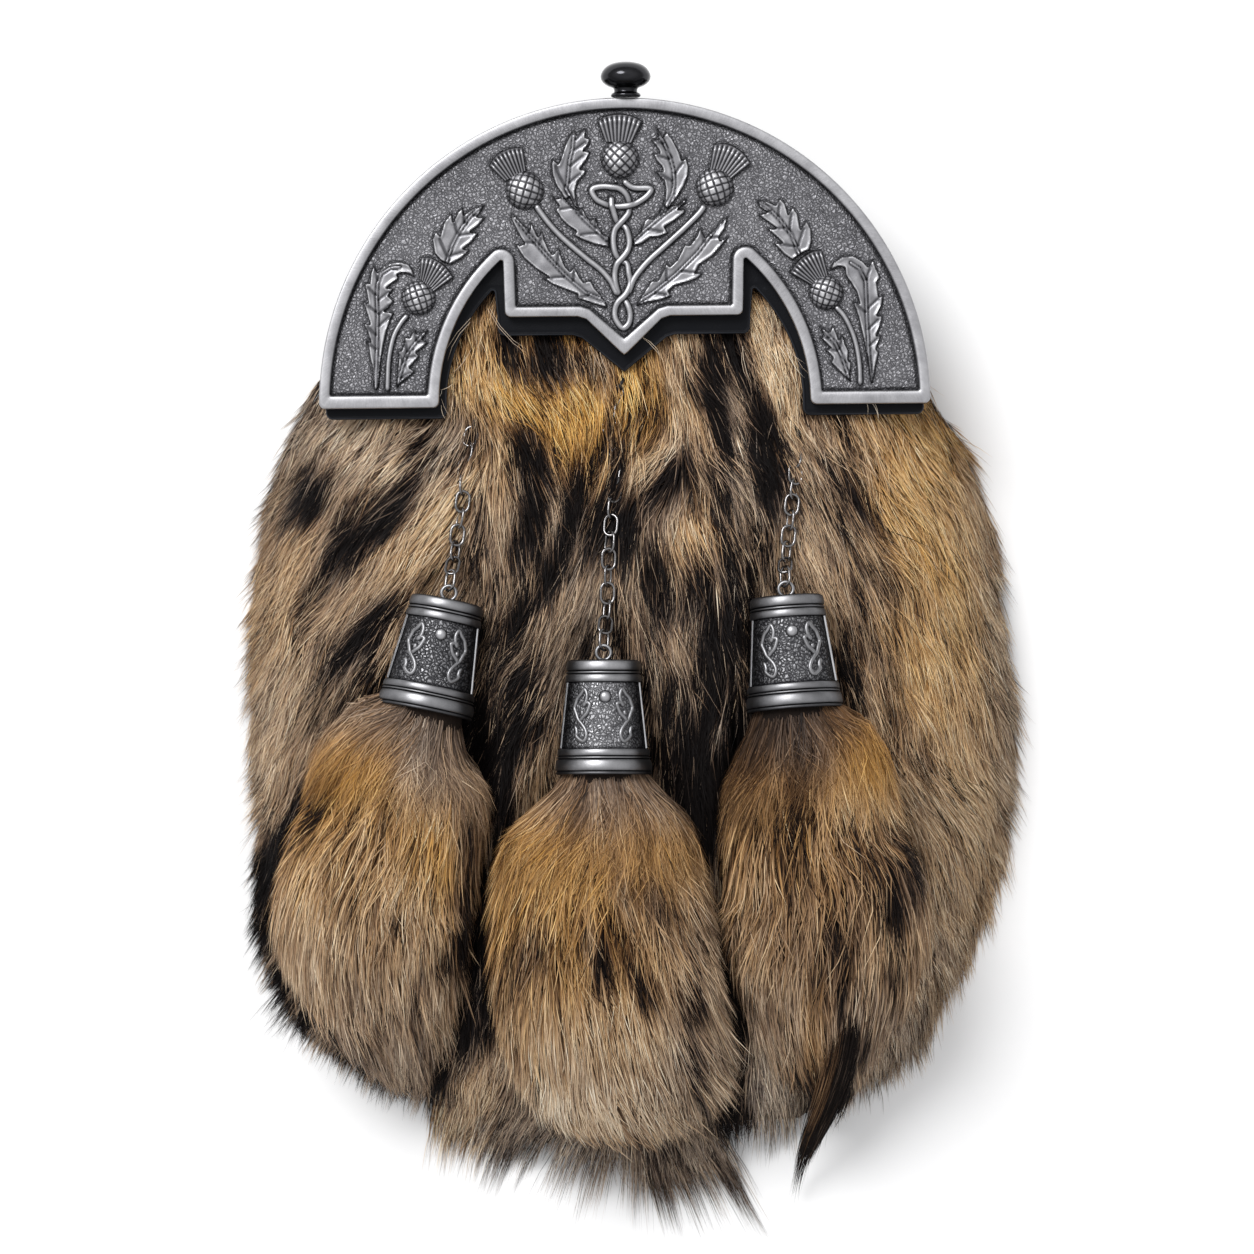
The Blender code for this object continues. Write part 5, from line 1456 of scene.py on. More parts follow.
def build_links():
    total = 0
    half_length = (LINK_LENGTH - LINK_WIRE) / 2
    half_width = (LINK_WIDTH - LINK_WIRE) / 2
    straight = half_length - half_width
    route = []
    for end in (1.0, -1.0):
        for i in range(13):
            a = math.radians(-90.0 + 15.0 * i + (0.0 if end > 0 else 180.0))
            route.append((end * straight + half_width * math.cos(a),
                          half_width * math.sin(a)))
    route = resample(np.array(route), 0.55, closed=True)
    for name, (line, links) in CHAINS.items():
        pile = Pile()
        nodes = []
        for number, (centre, along, on_edge) in enumerate(links, 1):
            up = np.array([0.0, 0.0, 1.0])
            side = np.cross(along, up)
            side /= np.linalg.norm(side)
            up = np.cross(side, along)
            roll = math.radians((58.0 if on_edge else 8.0)
                                + 9.0 * math.sin(number * 2.3))
            if number % 4 in (1, 2):
                roll = -roll
            across = side * math.cos(roll) + up * math.sin(roll)
            ring = (centre + np.outer(route[:, 0], along)
                    + np.outer(route[:, 1], across))
            # the wire is a little flatter than round
            tube(pile, ring, 0.37, 8, closed=True, shade=0.92,
                 normal=np.cross(along, across), squash=0.9)
            nodes.append("link_%s_%02d" % (name, number))
        pile.make("chain_" + name, LINK_METAL, "gunmetal", nodes)
        total += pile.triangles()
    return total


def build_knob():
    rows_ = ((0.01, 141.3, 0.62), (1.4, 141.25, 0.62), (2.6, 141.05, 0.62),
             (3.7, 140.72, 0.62), (4.6, 140.25, 0.6), (5.35, 139.6, 0.6),
             (5.85, 138.9, 0.6), (6.15, 138.2, 0.6), (6.25, 137.6, 0.58),
             (6.12, 136.95, 0.55), (5.75, 136.3, 0.5), (5.15, 135.75, 0.45),
             (4.4, 135.3, 0.4), (3.6, 135.02, 0.3), (3.1, 134.8, 0.3),
             (2.92, 134.5, 0.4), (2.86, 134.1, 0.5), (2.9, 133.8, 0.5),
             (2.96, 133.62, 0.3), (3.25, 133.5, 0.3), (3.55, 133.3, 0.6),
             (3.7, 133.0, 0.6), (3.72, 132.7, 0.5), (3.3, 132.45, 0.3),
             (0.01, 132.45, 0.3))
    profile = np.array(rows_)
    shade = np.repeat(profile[:, 2], 96)
    pile = Pile()
    turned(pile, profile[:, :2], (1.0, 0.0, 35.8), (0, 1, 0), (0, 0, 1), 96,
           shade)
    pile.make("knob", KNOB_METAL, "gunmetal", ("cantle_knob",))


BELL_METAL = cast_metal("gunmetal_relief", (
    (0.0, (0.007, 0.007, 0.008)), (0.25, (0.030, 0.030, 0.033)),
    (0.55, (0.135, 0.135, 0.142)), (0.8, (0.28, 0.28, 0.29)),
    (1.0, (0.47, 0.47, 0.485))), 0.40, 0.03, 0.0, 0.20, 0.42)
LINK_METAL = cast_metal("gunmetal_wire", (
    (0.0, (0.02, 0.02, 0.02)), (0.7, (0.12, 0.117, 0.117)),
    (1.0, (0.26, 0.25, 0.25))), 0.15, 0.03, 0.0)
KNOB_METAL = cast_metal("gunmetal_polished", (
    (0.0, (0.008, 0.008, 0.009)), (0.5, (0.032, 0.032, 0.035)),
    (1.0, (0.075, 0.075, 0.08))), 0.16, 0.01, 0.0)
POST_METAL = cast_metal("gunmetal_plain", (
    (0.0, (0.05, 0.05, 0.052)), (1.0, (0.16, 0.16, 0.165))), 0.3, 0.03, 0.0)

for name in BELLS:
    build_bell(name)
build_links()
build_knob()
for name in BELLS:
    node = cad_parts["chain_post_" + name]
    node.data.materials.clear()
    node.data.materials.append(POST_METAL)


# ================================================================== leather ==
POUCH_ROWS = (
    (115.0, 9.0, 7.3, 25.0, 4.0), (112.6, 22.0, 7.3, 25.4, 6.0),
    (107.3, 35.0, 7.3, 25.8, 7.5), (97.9, 48.5, 7.3, 26.0, 9.0),
    (85.5, 58.9, 7.3, 26.0, 10.0), (71.0, 65.7, 7.3, 26.0, 10.0),
    (60.0, 67.6, 6.2, 26.0, 10.0), (48.0, 68.6, 1.2, 26.0, 10.0),
    (42.0, 69.0, 0.0, 26.0, 10.0), (10.0, 71.0, 0.0, 26.4, 10.5),
    (-25.0, 71.0, 0.0, 26.4, 11.0), (-52.0, 67.0, 0.0, 25.0, 11.0),
    (-72.0, 58.0, 0.0, 22.0, 10.0), (-87.0, 44.0, 0.0, 17.5, 8.0),
    (-96.0, 28.0, 0.0, 13.0, 6.0), (-99.5, 16.0, 0.0, 10.0, 4.5),
)
MOUTH_Y = 78.0


def stitches(pile, line, normals, length, gap, radius):
    """A row of short stitches, each a bowed rod, along a 3D line."""
    seg = np.linalg.norm(np.diff(line, axis=0), axis=1)
    s = np.concatenate([[0.0], np.cumsum(seg)])
    count = int(s[-1] // (length + gap))
    for i in range(count):
        at = np.linspace(i * (length + gap), i * (length + gap) + length, 5)
        p = np.stack([np.interp(at, s, line[:, k]) for k in range(3)], 1)
        n = np.stack([np.interp(at, s, normals[:, k]) for k in range(3)], 1)
        bow = np.array([-0.25, 0.12, 0.22, 0.12, -0.25])[:, None]
        tube(pile, p + n * bow, radius, 6)


def build_flap():
    """The leather plate behind the cantle, its edge rounded and creased."""
    outer = cantle_outline(OUTLINES["flap"], 3)
    pile = Pile()
    # each station's third number is its shade: high on the rounded top edge, which
    # paints a highlight along it
    stations = ((0.45, 32.0, 0.1), (0.12, 32.08, 0.25), (0.0, 32.4, 0.45),
                (0.0, 33.4, 0.5), (0.06, 33.72, 0.8), (0.22, 33.92, 0.95),
                (0.42, 33.97, 0.6), (0.62, 33.94, 0.25), (0.8, 33.90, 0.1),
                (1.0, 33.93, 0.2), (1.25, 33.97, 0.35))
    verts, shade = [], []
    for amount, z, s in stations:
        flat = inset(outer, amount)
        verts.append(np.column_stack([flat, np.full(len(flat), z)]))
        shade.append(np.full(len(flat), s))
    n = len(outer)
    top, bottom = cap(verts[-1][:, :2]), cap(verts[0][:, :2])
    quads = grid_faces(len(stations), n, wrap_cols=True)
    tris = np.vstack([top + (len(stations) - 1) * n, bottom[:, ::-1]])
    a = verts[-1][:, :2]
    t = top[0]
    if np.cross(a[t[1]] - a[t[0]], a[t[2]] - a[t[0]]) < 0:
        tris = tris[:, ::-1]
    area = np.sum(outer[:, 0] * np.roll(outer[:, 1], -1)
                  - np.roll(outer[:, 0], -1) * outer[:, 1])
    if area < 0:
        quads = quads[:, ::-1]
    pile.add(np.concatenate(verts), quads, tris, np.concatenate(shade))
    pile.make("flap_leather", LEATHER, "leather", ("flap",), 40)


def slab(pile, path, normals, half, thick, shade=0.2, cols=25):
    """A strap with rounded edges along a path of points and normals; half is
    its half width at each point."""
    path, normals = np.asarray(path, float), np.asarray(normals, float)
    n = len(path)
    half = np.broadcast_to(np.asarray(half, float), (n,))
    h = thick / 2
    section = []
    for x in np.linspace(-1, 1, cols):
        section.append((x, 1.0))
    for a in (60, 30, 0, -30, -60):
        section.append((1.0 + 0.0001, math.sin(math.radians(a)),
                        math.cos(math.radians(a))))
    for x in np.linspace(1, -1, cols):
        section.append((x, -1.0))
    for a in (-60, -30, 0, 30, 60):
        section.append((-1.0 - 0.0001, math.sin(math.radians(a)),
                        math.cos(math.radians(a))))
    verts = []
    for item in section:
        x, z = item[0], item[1]
        extra = item[2] * h * 0.8 if len(item) > 2 else 0.0
        off = x * (half - h * 0.8) + math.copysign(extra, x)
        verts.append(path + np.stack([off, 0 * off, 0 * off], 1)
                     + normals * (z * h))
    verts = np.stack(verts, 1)
    m = verts.shape[1]
    quads = grid_faces(n, m, wrap_cols=True)
    first = np.array([[0, i, i + 1] for i in range(1, m - 1)])
    last = first[:, ::-1] + (n - 1) * m
    pile.add(verts.reshape(-1, 3), quads, np.vstack([first, last]), shade)


def build_strap():
    front_z, back_z = 32.0 - 0.3 - 1.0, 1.0
    radius, middle = (front_z - back_z) / 2, (front_z + back_z) / 2
    path, normals = [], []
    for y in np.linspace(94.5, 108.5, 8)[:-1]:
        path.append((0, y, front_z))
        normals.append((0, 0, 1))
    for i in range(37):
        a = math.radians(90.0 - i * 5.0)
        path.append((0, 108.5 + radius * math.cos(a),
                     middle + radius * math.sin(a)))
        normals.append((0, math.cos(a), math.sin(a)))
    for y in np.linspace(108.5, 60.5, 20)[1:]:
        path.append((0, y, back_z))
        normals.append((0, 0, -1))
    path, normals = np.array(path, float), np.array(normals, float)
    pile = Pile()
    slab(pile, path, normals, 30.0, 2.0, 0.25)
    pile.make("strap_leather", LEATHER, "leather", ("hinge_strap",), 60)
    thread = Pile()
    for side in (-27.2, 27.2):
        for face in (1.0,):
            line = path + normals * 1.02 * face
            line[:, 0] = side
            stitches(thread, line, normals * face, 2.6, 1.1, 0.3)
    x = np.linspace(-26.0, 26.0, 30)
    line = np.column_stack([x, np.full(30, 63.5), np.full(30, -0.02 + 0.0)])
    line[:, 2] = 0.35
    return thread


def pouch_section(half, low, high, front, back):
    room = 0.47 * (high - low)
    front = min(front, 0.9 * half, 2 * room - 1.0)
    back = min(back, 0.9 * half, 0.3 * room)
    pts = []
    for x, z, r, start, count in (
            (half - front, high - front, front, 0.0, 10),
            (-half + front, high - front, front, 90.0, 10),
            (-half + back, low + back, back, 180.0, 6),
            (half - back, low + back, back, 270.0, 6)):
        for i in range(count):
            a = math.radians(start + 90.0 * i / (count - 1))
            pts.append((x + r * math.cos(a), z + r * math.sin(a)))
    pts = np.array(pts)
    even = resample(pts, 1.0, closed=True)
    s = np.linspace(0, len(even), 97)[:-1]
    wrap = np.vstack([even, even[:1]])
    return np.stack([np.interp(s, np.arange(len(wrap)), wrap[:, k])
                     for k in range(2)], 1)


def build_pouch(thread):
    y, half, low, high, corner = np.array(POUCH_ROWS).T
    f = [smooth_table(y, v) for v in (half, low, high, corner)]
    ys = np.concatenate([np.linspace(-99.5, -60, 12), np.linspace(-57, 77.6, 22)])
    pile = Pile()
    outer, inner = [], []
    for at in ys:
        h, lo, hi, c = (float(g(at)) for g in f)
        pts = pouch_section(h, lo, hi, c, 3.0)
        outer.append(np.column_stack([pts[:, 0], np.full(96, at), pts[:, 1]]))
    for at in ys[::-1]:
        at = max(at, -97.3)
        h, lo, hi, c = (float(g(at)) for g in f)
        pts = pouch_section(h - 2.0, lo + 2.0, hi - 2.0, max(c - 2.0, 1.5), 1.6)
        inner.append(np.column_stack([pts[:, 0], np.full(96, at), pts[:, 1]]))
    lip = []
    a, b = outer[-1], inner[0]
    for t in (0.15, 0.5, 0.85):
        p = a * (1 - t) + b * t
        p[:, 1] += 0.5 * math.sin(math.pi * t)
        lip.append(p)
    rings = np.array(outer + lip + inner)
    wob = 0.22 * value_noise(rings[:, :, 0] + rings[:, :, 2], rings[:, :, 1],
                             16.0, 91)
    rings[:len(outer), :, 2] += np.where(
        rings[:len(outer), :, 2] > 12.0, wob[:len(outer)], 0.0)
    quads = grid_faces(len(rings), 96, wrap_cols=True)
    k = np.arange(1, 95)
    first = np.stack([np.zeros(94, int), k, k + 1], 1)
    last = first[:, ::-1] + (len(rings) - 1) * 96
    pile.add(rings.reshape(-1, 3), quads[:, ::-1],
             np.vstack([first[:, ::-1], last[:, ::-1]])[:, ::-1], 0.22)
    # above the gusset: the back panel and the front panel, apart
    for z, name in ((8.3, "back"), (25.0, "front")):
        ys2 = np.linspace(72.0, 115.0, 36)
        h = f[0](ys2) - (0.5 if name == "front" else 0.0)
        zs = np.where(ys2 < 90, z, z)
        path = np.column_stack([np.zeros(36), ys2, zs + 0.0])
        slab(pile, path, np.tile([0.0, 0.0, 1.0], (36, 1)), h, 1.96, 0.22)
    pile.make("pouch_leather", LEATHER, "leather", ("pouch",), 60)
    # stitching round the gusset's back seam and the panels' upper edges
    ys3 = np.linspace(-90.0, 76.0, 90)
    for side in (-1.0, 1.0):
        line = np.column_stack([side * (f[0](ys3) - 3.6), ys3,
                                f[1](ys3) - 0.02])
        line[:, 2] = np.maximum(line[:, 2], 0.18)
        stitches(thread, line, np.tile([0.0, 0.0, -0.4], (90, 1)), 2.8, 1.2,
                 0.28)
        ys4 = np.linspace(78.0, 113.0, 60)
        line = np.column_stack([side * (f[0](ys4) - 3.0), ys4,
                                np.full(60, 26.0)])
        stitches(thread, line, np.tile([0.0, 0.0, 1.0], (60, 1)), 2.8, 1.2,
                 0.28)
    for number, points in enumerate(thread.v):
        points = np.array(points, float)
        points[:, 2] = np.maximum(points[:, 2], 0.02)
        thread.v[number] = points
    thread.make("stitching", THREAD, "leather")


build_flap()
build_pouch(build_strap())


# ====================================================================== fur ==
TASSELS = {
    "left": (
        (-54.2, -27.0, 48.2, 18.0, 11.4), (-57.0, -36.5, 46.0, 22.2, 11.8),
        (-58.6, -48.0, 43.6, 23.6, 11.6), (-62.0, -60.0, 40.4, 25.0, 11.0),
        (-64.4, -72.0, 36.8, 25.6, 10.4), (-64.6, -83.5, 32.6, 24.0, 9.4),
        (-62.6, -94.0, 28.0, 19.6, 7.8), (-60.0, -103.5, 22.8, 12.6, 5.6),
        (-58.2, -112.0, 17.2, 6.0, 3.2)),
    "centre": (
        (-5.8, -43.0, 51.0, 17.4, 11.8), (-6.0, -52.0, 49.4, 23.2, 12.2),
        (-7.2, -60.5, 47.8, 26.0, 12.2), (-7.2, -69.0, 45.6, 27.6, 12.0),
        (-6.8, -81.0, 41.6, 28.8, 11.4), (-5.0, -96.0, 35.4, 29.6, 10.4),
        (-2.0, -109.5, 28.6, 28.0, 9.0), (1.2, -118.5, 23.2, 23.6, 7.2),
        (5.4, -126.5, 17.6, 15.0, 4.2)),
    "right": (
        (42.6, -27.0, 49.6, 17.0, 11.4), (44.8, -35.0, 48.8, 19.8, 11.8),
        (45.2, -45.0, 47.2, 21.6, 11.8), (46.0, -56.0, 45.2, 23.6, 11.6),
        (48.8, -68.0, 42.2, 26.0, 11.4), (49.2, -79.0, 38.4, 25.4, 10.8),
        (48.9, -89.0, 33.8, 23.4, 9.8), (48.6, -99.0, 28.4, 18.8, 8.2),
        (50.0, -107.5, 22.8, 12.6, 6.2), (51.4, -117.0, 15.4, 6.2, 3.6),
        (49.0, -128.0, 8.6, 3.4, 2.2), (44.0, -140.0, 4.6, 1.3, 1.0)),
}

# Which way the hair lies: sheet x, y, degrees from straight down, + to the
# right.
FLOW = (
    (300, 430, -38), (260, 520, -38), (340, 520, -42), (400, 560, -45),
    (440, 430, -48), (430, 500, -45), (250, 640, -35), (300, 620, -38),
    (360, 650, -35), (240, 760, -30), (300, 800, -28), (270, 900, -28),
    (280, 980, -32), (350, 1070, -25), (420, 1100, -10), (470, 1120, -25),
    (500, 1160, -40), (570, 1170, -30), (640, 1180, 10), (680, 1190, 25),
    (730, 1200, 40), (770, 1140, 0), (470, 350, -5), (480, 400, 8),
    (530, 400, 22), (560, 420, 15), (590, 430, 0), (620, 400, -5),
    (630, 420, -8), (540, 480, 10), (520, 550, -10), (570, 600, -28),
    (600, 540, -15), (620, 480, -30), (665, 455, -50), (680, 400, 20),
    (700, 450, 24), (740, 440, 22), (760, 400, 15), (780, 400, 8),
    (720, 530, 8), (680, 620, -5), (720, 680, 0), (800, 470, 20),
    (830, 460, 24), (880, 450, 20), (930, 480, 19), (980, 560, 19),
    (900, 560, 16), (860, 640, 15), (940, 680, 14), (1010, 680, 16),
    (890, 760, 14), (960, 800, 18), (1010, 800, 20), (930, 900, 8),
    (990, 900, 0), (900, 1000, 5), (950, 1000, -5), (890, 1060, 5),
    (560, 680, -15), (500, 700, -20), (530, 640, -25),
)

# The fur's outline on the sheet, hair ends included.
SILHOUETTE = (
    (500, 250), (320, 355), (300, 385), (279, 422), (264, 470), (254, 520),
    (245, 580), (240, 640), (239, 700), (241, 760), (247, 830), (244, 890),
    (246, 940), (262, 985), (292, 1040), (340, 1082), (392, 1108),
    (430, 1126), (440, 1148), (468, 1158), (500, 1163), (530, 1160),
    (560, 1163), (600, 1176), (625, 1184), (655, 1202), (688, 1197),
    (714, 1190), (722, 1170), (746, 1144), (794, 1136), (830, 1126),
    (860, 1108), (885, 1092), (915, 1078), (938, 1041), (954, 1006),
    (970, 974), (989, 945), (1002, 909), (1014, 862), (1021, 810),
    (1027, 758), (1028, 705), (1023, 664), (1016, 613), (1011, 564),
    (1006, 525), (998, 494), (984, 453), (967, 419), (945, 387),
    (928, 360), (750, 250),
)
TASSEL_OUTLINES = {
    "left": (
        (384, 700), (350, 716), (328, 739), (308, 777), (303, 821),
        (279, 868), (268, 915), (274, 955), (293, 982), (318, 1008),
        (342, 1035), (370, 1068), (408, 1092), (444, 1086), (458, 1045),
        (461, 1003), (472, 944), (480, 885), (489, 844), (495, 803),
        (486, 756), (472, 722), (462, 708)),
    "centre": (
        (562, 772), (542, 790), (518, 822), (495, 868), (487, 947),
        (490, 1011), (506, 1060), (530, 1100), (575, 1128), (640, 1140),
        (700, 1142), (731, 1134), (738, 1097), (735, 1033), (721, 976),
        (711, 899), (701, 842), (685, 804), (668, 788), (650, 774)),
    "right": (
        (752, 703), (740, 730), (731, 760), (719, 813), (714, 879),
        (719, 929), (731, 995), (750, 1050), (785, 1092), (830, 1106),
        (868, 1082), (891, 1045), (924, 978), (938, 896), (912, 862),
        (904, 830), (893, 785), (878, 740), (858, 718), (838, 703)),
}

# Colour of the body fur by patches: sheet x, y, half width, half length, the
# patch's lean, how light (0 to 1), how warm (0 to 1), and its weight.
PATCHES = (
    (489, 302, 9, 16, 0, 0.28, 0.45, 2.0),
    (482, 352, 13, 30, 0, 0.60, 0.68, 2.2),
    (492, 398, 23, 28, 6, 0.63, 0.84, 3.0),
    (524, 412, 19, 19, 20, 0.59, 0.92, 2.6),
    (512, 352, 9, 24, 18, 0.14, 0.55, 2.6),
    (562, 345, 32, 8, 0, 0.34, 0.98, 2.2),
    (556, 366, 24, 9, 0, 0.03, 0.35, 6.0),
    (546, 384, 7, 10, 0, 0.04, 0.35, 4.5),
    (538, 350, 8, 14, 0, 0.10, 0.50, 2.5),
    (546, 412, 5, 18, 0, 0.36, 0.80, 1.2),
    (574, 410, 26, 22, 0, 0.62, 0.94, 3.6),
    (578, 436, 25, 22, 0, 0.58, 0.97, 3.0),
    (563, 462, 10, 14, 0, 0.50, 1.0, 3.2),
    (592, 464, 11, 18, 0, 0.34, 0.85, 2.0),
    (603, 380, 7, 24, 0, 0.50, 0.35, 2.4),
    (610, 445, 3.5, 62, -3, 0.12, 0.4, 2.6),
    (628, 402, 11, 29, 4, 0.63, 0.92, 3.8),
    (652, 398, 10, 38, -4, 0.33, 0.88, 2.4),
    (620, 458, 7, 18, 0, 0.07, 0.35, 3.2),
    (637, 462, 7, 22, 0, 0.52, 0.50, 2.4),
    (663, 462, 15, 30, -45, 0.66, 0.32, 2.4),
    (657, 496, 7, 24, -46, 0.05, 0.3, 3.6),
    (684, 370, 20, 36, 18, 0.58, 0.42, 2.2),
    (692, 420, 15, 30, 22, 0.54, 0.45, 1.8),
    (703, 436, 9, 26, 22, 0.36, 0.48, 1.6),
    (716, 410, 11, 27, 15, 0.02, 0.3, 4.5),
    (713, 367, 5, 14, 15, 0.08, 0.3, 3.0),
    (735, 420, 7, 30, 15, 0.42, 0.2, 2.2),
    (742, 362, 9, 22, 12, 0.05, 0.3, 3.2),
    (757, 432, 10, 56, 10, 0.02, 0.25, 5.5),
    (742, 480, 18, 30, 12, 0.17, 0.22, 2.2),
    (773, 372, 13, 54, 12, 0.66, 0.48, 3.0),
    (752, 296, 8, 14, 0, 0.48, 0.65, 2.0),
    (532, 453, 9, 24, 45, 0.05, 0.3, 3.4),
    (480, 434, 13, 16, 10, 0.08, 0.3, 2.4),
    (565, 494, 14, 20, 0, 0.04, 0.3, 3.4),
    (536, 520, 16, 18, 0, 0.05, 0.3, 3.0),
    (536, 482, 14, 12, 0, 0.20, 0.4, 1.8),
    (593, 490, 11, 28, 0, 0.26, 0.55, 1.8),
    (593, 534, 13, 24, -6, 0.09, 0.25, 2.4),
    (560, 548, 12, 30, -25, 0.38, 0.15, 1.6),
    (540, 556, 18, 24, -10, 0.09, 0.3, 2.2),
    (525, 640, 32, 80, -15, 0.16, 0.3, 2.2),
    (580, 598, 22, 26, -28, 0.44, 0.2, 1.1),
    (570, 668, 26, 40, -20, 0.27, 0.2, 1.2),
    (500, 480, 15, 28, 4, 0.54, 0.48, 2.4),
    (496, 537, 17, 34, -10, 0.52, 0.28, 1.5),
    (626, 545, 8, 32, 0, 0.05, 0.3, 3.2),
    (698, 544, 22, 20, 5, 0.62, 0.60, 2.4),
    (662, 520, 20, 16, -30, 0.50, 0.2, 1.6),
    (697, 490, 12, 26, 10, 0.48, 0.40, 1.6),
    (646, 578, 9, 20, -10, 0.08, 0.3, 2.0),
    (694, 590, 8, 18, 0, 0.08, 0.3, 2.0),
    (731, 606, 24, 50, 5, 0.28, 0.25, 1.6),
    (716, 672, 40, 56, 0, 0.21, 0.25, 2.0),
    (618, 600, 14, 34, -20, 0.28, 0.30, 1.2),
    (662, 640, 24, 44, -5, 0.33, 0.26, 1.4),
    (817, 548, 20, 22, 15, 0.66, 0.35, 1.4),
    (800, 490, 20, 44, 14, 0.38, 0.30, 1.3),
    (765, 545, 10, 40, 8, 0.14, 0.3, 1.6),
    (846, 470, 28, 34, 26, 0.46, 0.30, 1.3),
    (863, 555, 19, 46, 22, 0.20, 0.35, 2.0),
    (855, 664, 28, 60, 14, 0.25, 0.36, 1.7),
    (835, 610, 14, 30, 15, 0.44, 0.35, 0.9),
    (918, 530, 36, 90, 20, 0.57, 0.76, 1.5),
    (949, 435, 27, 30, 25, 0.60, 0.80, 1.6),
    (935, 664, 36, 50, 16, 0.58, 0.76, 1.4),
    (985, 560, 24, 60, 26, 0.58, 0.52, 1.2),
    (975, 720, 36, 90, 20, 0.54, 0.50, 1.2),
    (1016, 720, 16, 150, 5, 0.60, 0.20, 1.5),
    (910, 780, 20, 60, 12, 0.50, 0.42, 1.0),
    (960, 860, 40, 60, 8, 0.58, 0.44, 1.2),
    (904, 884, 20, 9, 55, 0.10, 0.2, 2.0),
    (940, 980, 34, 40, 0, 0.56, 0.30, 1.2),
    (898, 1056, 40, 30, 0, 0.54, 0.14, 1.2),
    (293, 420, 17, 44, -38, 0.54, 0.12, 1.5),
    (335, 412, 26, 26, -40, 0.52, 0.22, 1.0),
    (355, 455, 50, 24, -42, 0.62, 0.28, 1.2),
    (400, 415, 24, 22, -40, 0.50, 0.30, 0.9),
    (311, 498, 12, 26, -42, 0.10, 0.2, 2.2),
    (336, 553, 12, 36, -42, 0.13, 0.2, 2.0),
    (388, 516, 11, 24, -45, 0.15, 0.2, 1.7),
    (371, 613, 12, 28, -42, 0.15, 0.2, 1.7),
    (341, 664, 13, 32, -38, 0.14, 0.2, 1.8),
    (352, 500, 12, 26, -42, 0.42, 0.3, 0.9),
    (418, 540, 19, 62, -38, 0.63, 0.52, 1.7),
    (375, 570, 9, 34, -44, 0.44, 0.3, 1.0),
    (439, 455, 17, 42, -42, 0.50, 0.15, 1.6),
    (277, 595, 20, 55, -34, 0.56, 0.46, 1.5),
    (262, 500, 12, 44, -36, 0.50, 0.30, 1.2),
    (267, 740, 26, 64, -25, 0.57, 0.34, 1.5),
    (312, 730, 22, 46, -30, 0.44, 0.30, 1.0),
    (395, 650, 18, 50, -30, 0.44, 0.34, 1.0),
    (365, 720, 20, 34, -30, 0.30, 0.35, 1.0),
    (290, 840, 14, 60, -28, 0.10, 0.2, 2.2),
    (258, 936, 15, 40, -10, 0.11, 0.2, 2.2),
    (302, 1025, 36, 40, -42, 0.13, 0.2, 2.2),
    (404, 1098, 34, 12, -20, 0.26, 0.10, 1.6),
    (475, 935, 14, 90, -5, 0.05, 0.2, 2.4),
    (484, 790, 14, 60, -10, 0.10, 0.2, 1.8),
    (496, 690, 16, 50, -20, 0.18, 0.25, 1.4),
    (712, 740, 22, 80, 0, 0.09, 0.2, 1.8),
    (478, 1108, 20, 40, -25, 0.62, 0.42, 2.2),
    (505, 1100, 12, 40, -10, 0.30, 0.14, 1.6),
    (518, 1158, 30, 27, -40, 0.42, 0.12, 1.8),
    (583, 1180, 30, 28, -30, 0.50, 0.10, 1.8),
    (662, 1176, 52, 36, 20, 0.47, 0.14, 1.8),
    (735, 1136, 12, 16, 0, 0.07, 0.2, 2.6),
    (775, 1097, 24, 54, 0, 0.54, 0.12, 1.7),
    (735, 1030, 12, 60, 0, 0.12, 0.2, 1.6),
)


class Lookup:
    """Values on a grid, read between its points."""

    def __init__(self, values, x0, y0, step):
        self.v, self.x0, self.y0, self.step = values, x0, y0, step

    def __call__(self, x, y):
        gx = np.clip((x - self.x0) / self.step, 0, self.v.shape[1] - 1.001)
        gy = np.clip((y - self.y0) / self.step, 0, self.v.shape[0] - 1.001)
        ix, iy = gx.astype(int), gy.astype(int)
        fx, fy = gx - ix, gy - iy
        v = self.v
        return ((v[iy, ix] * (1 - fx) + v[iy, ix + 1] * fx) * (1 - fy)
                + (v[iy + 1, ix] * (1 - fx) + v[iy + 1, ix + 1] * fx) * fy)


def soften(grid, sigma):
    reach = int(3 * sigma) + 1
    k = np.exp(-0.5 * (np.arange(-reach, reach + 1) / sigma) ** 2)
    k /= k.sum()
    padded = np.pad(grid, reach, mode="edge")
    padded = np.apply_along_axis(lambda r: np.convolve(r, k, "valid"), 0, padded)
    return np.apply_along_axis(lambda r: np.convolve(r, k, "valid"), 1, padded)


GX, GY = np.meshgrid(np.arange(-118.0, 118.5, 1.0), np.arange(-156.0, 98.5, 1.0))
GP = np.stack([GX.ravel(), GY.ravel()], 1)


def grid_of(values):
    return Lookup(values.reshape(GX.shape), -118.0, -156.0, 1.0)


def tassel_path(name):
    mouth, side, front, up, top = bell_frame(name)
    inner = BELL_MOUTH_RADIUS - BELL_WALL
    slope = (BELL_MOUTH_RADIUS - BELL_TOP_RADIUS) / BELL_HEIGHT
    path = []
    for along, radius in ((-NECK_IN_BELL, inner - slope * NECK_IN_BELL - 0.6),
                          (-0.3, inner - 0.6), (1.8, inner + 0.6)):
        p = mouth - up * along
        path.append((p[0], p[1], p[2], radius, radius))
    return np.array(path + list(TASSELS[name]))


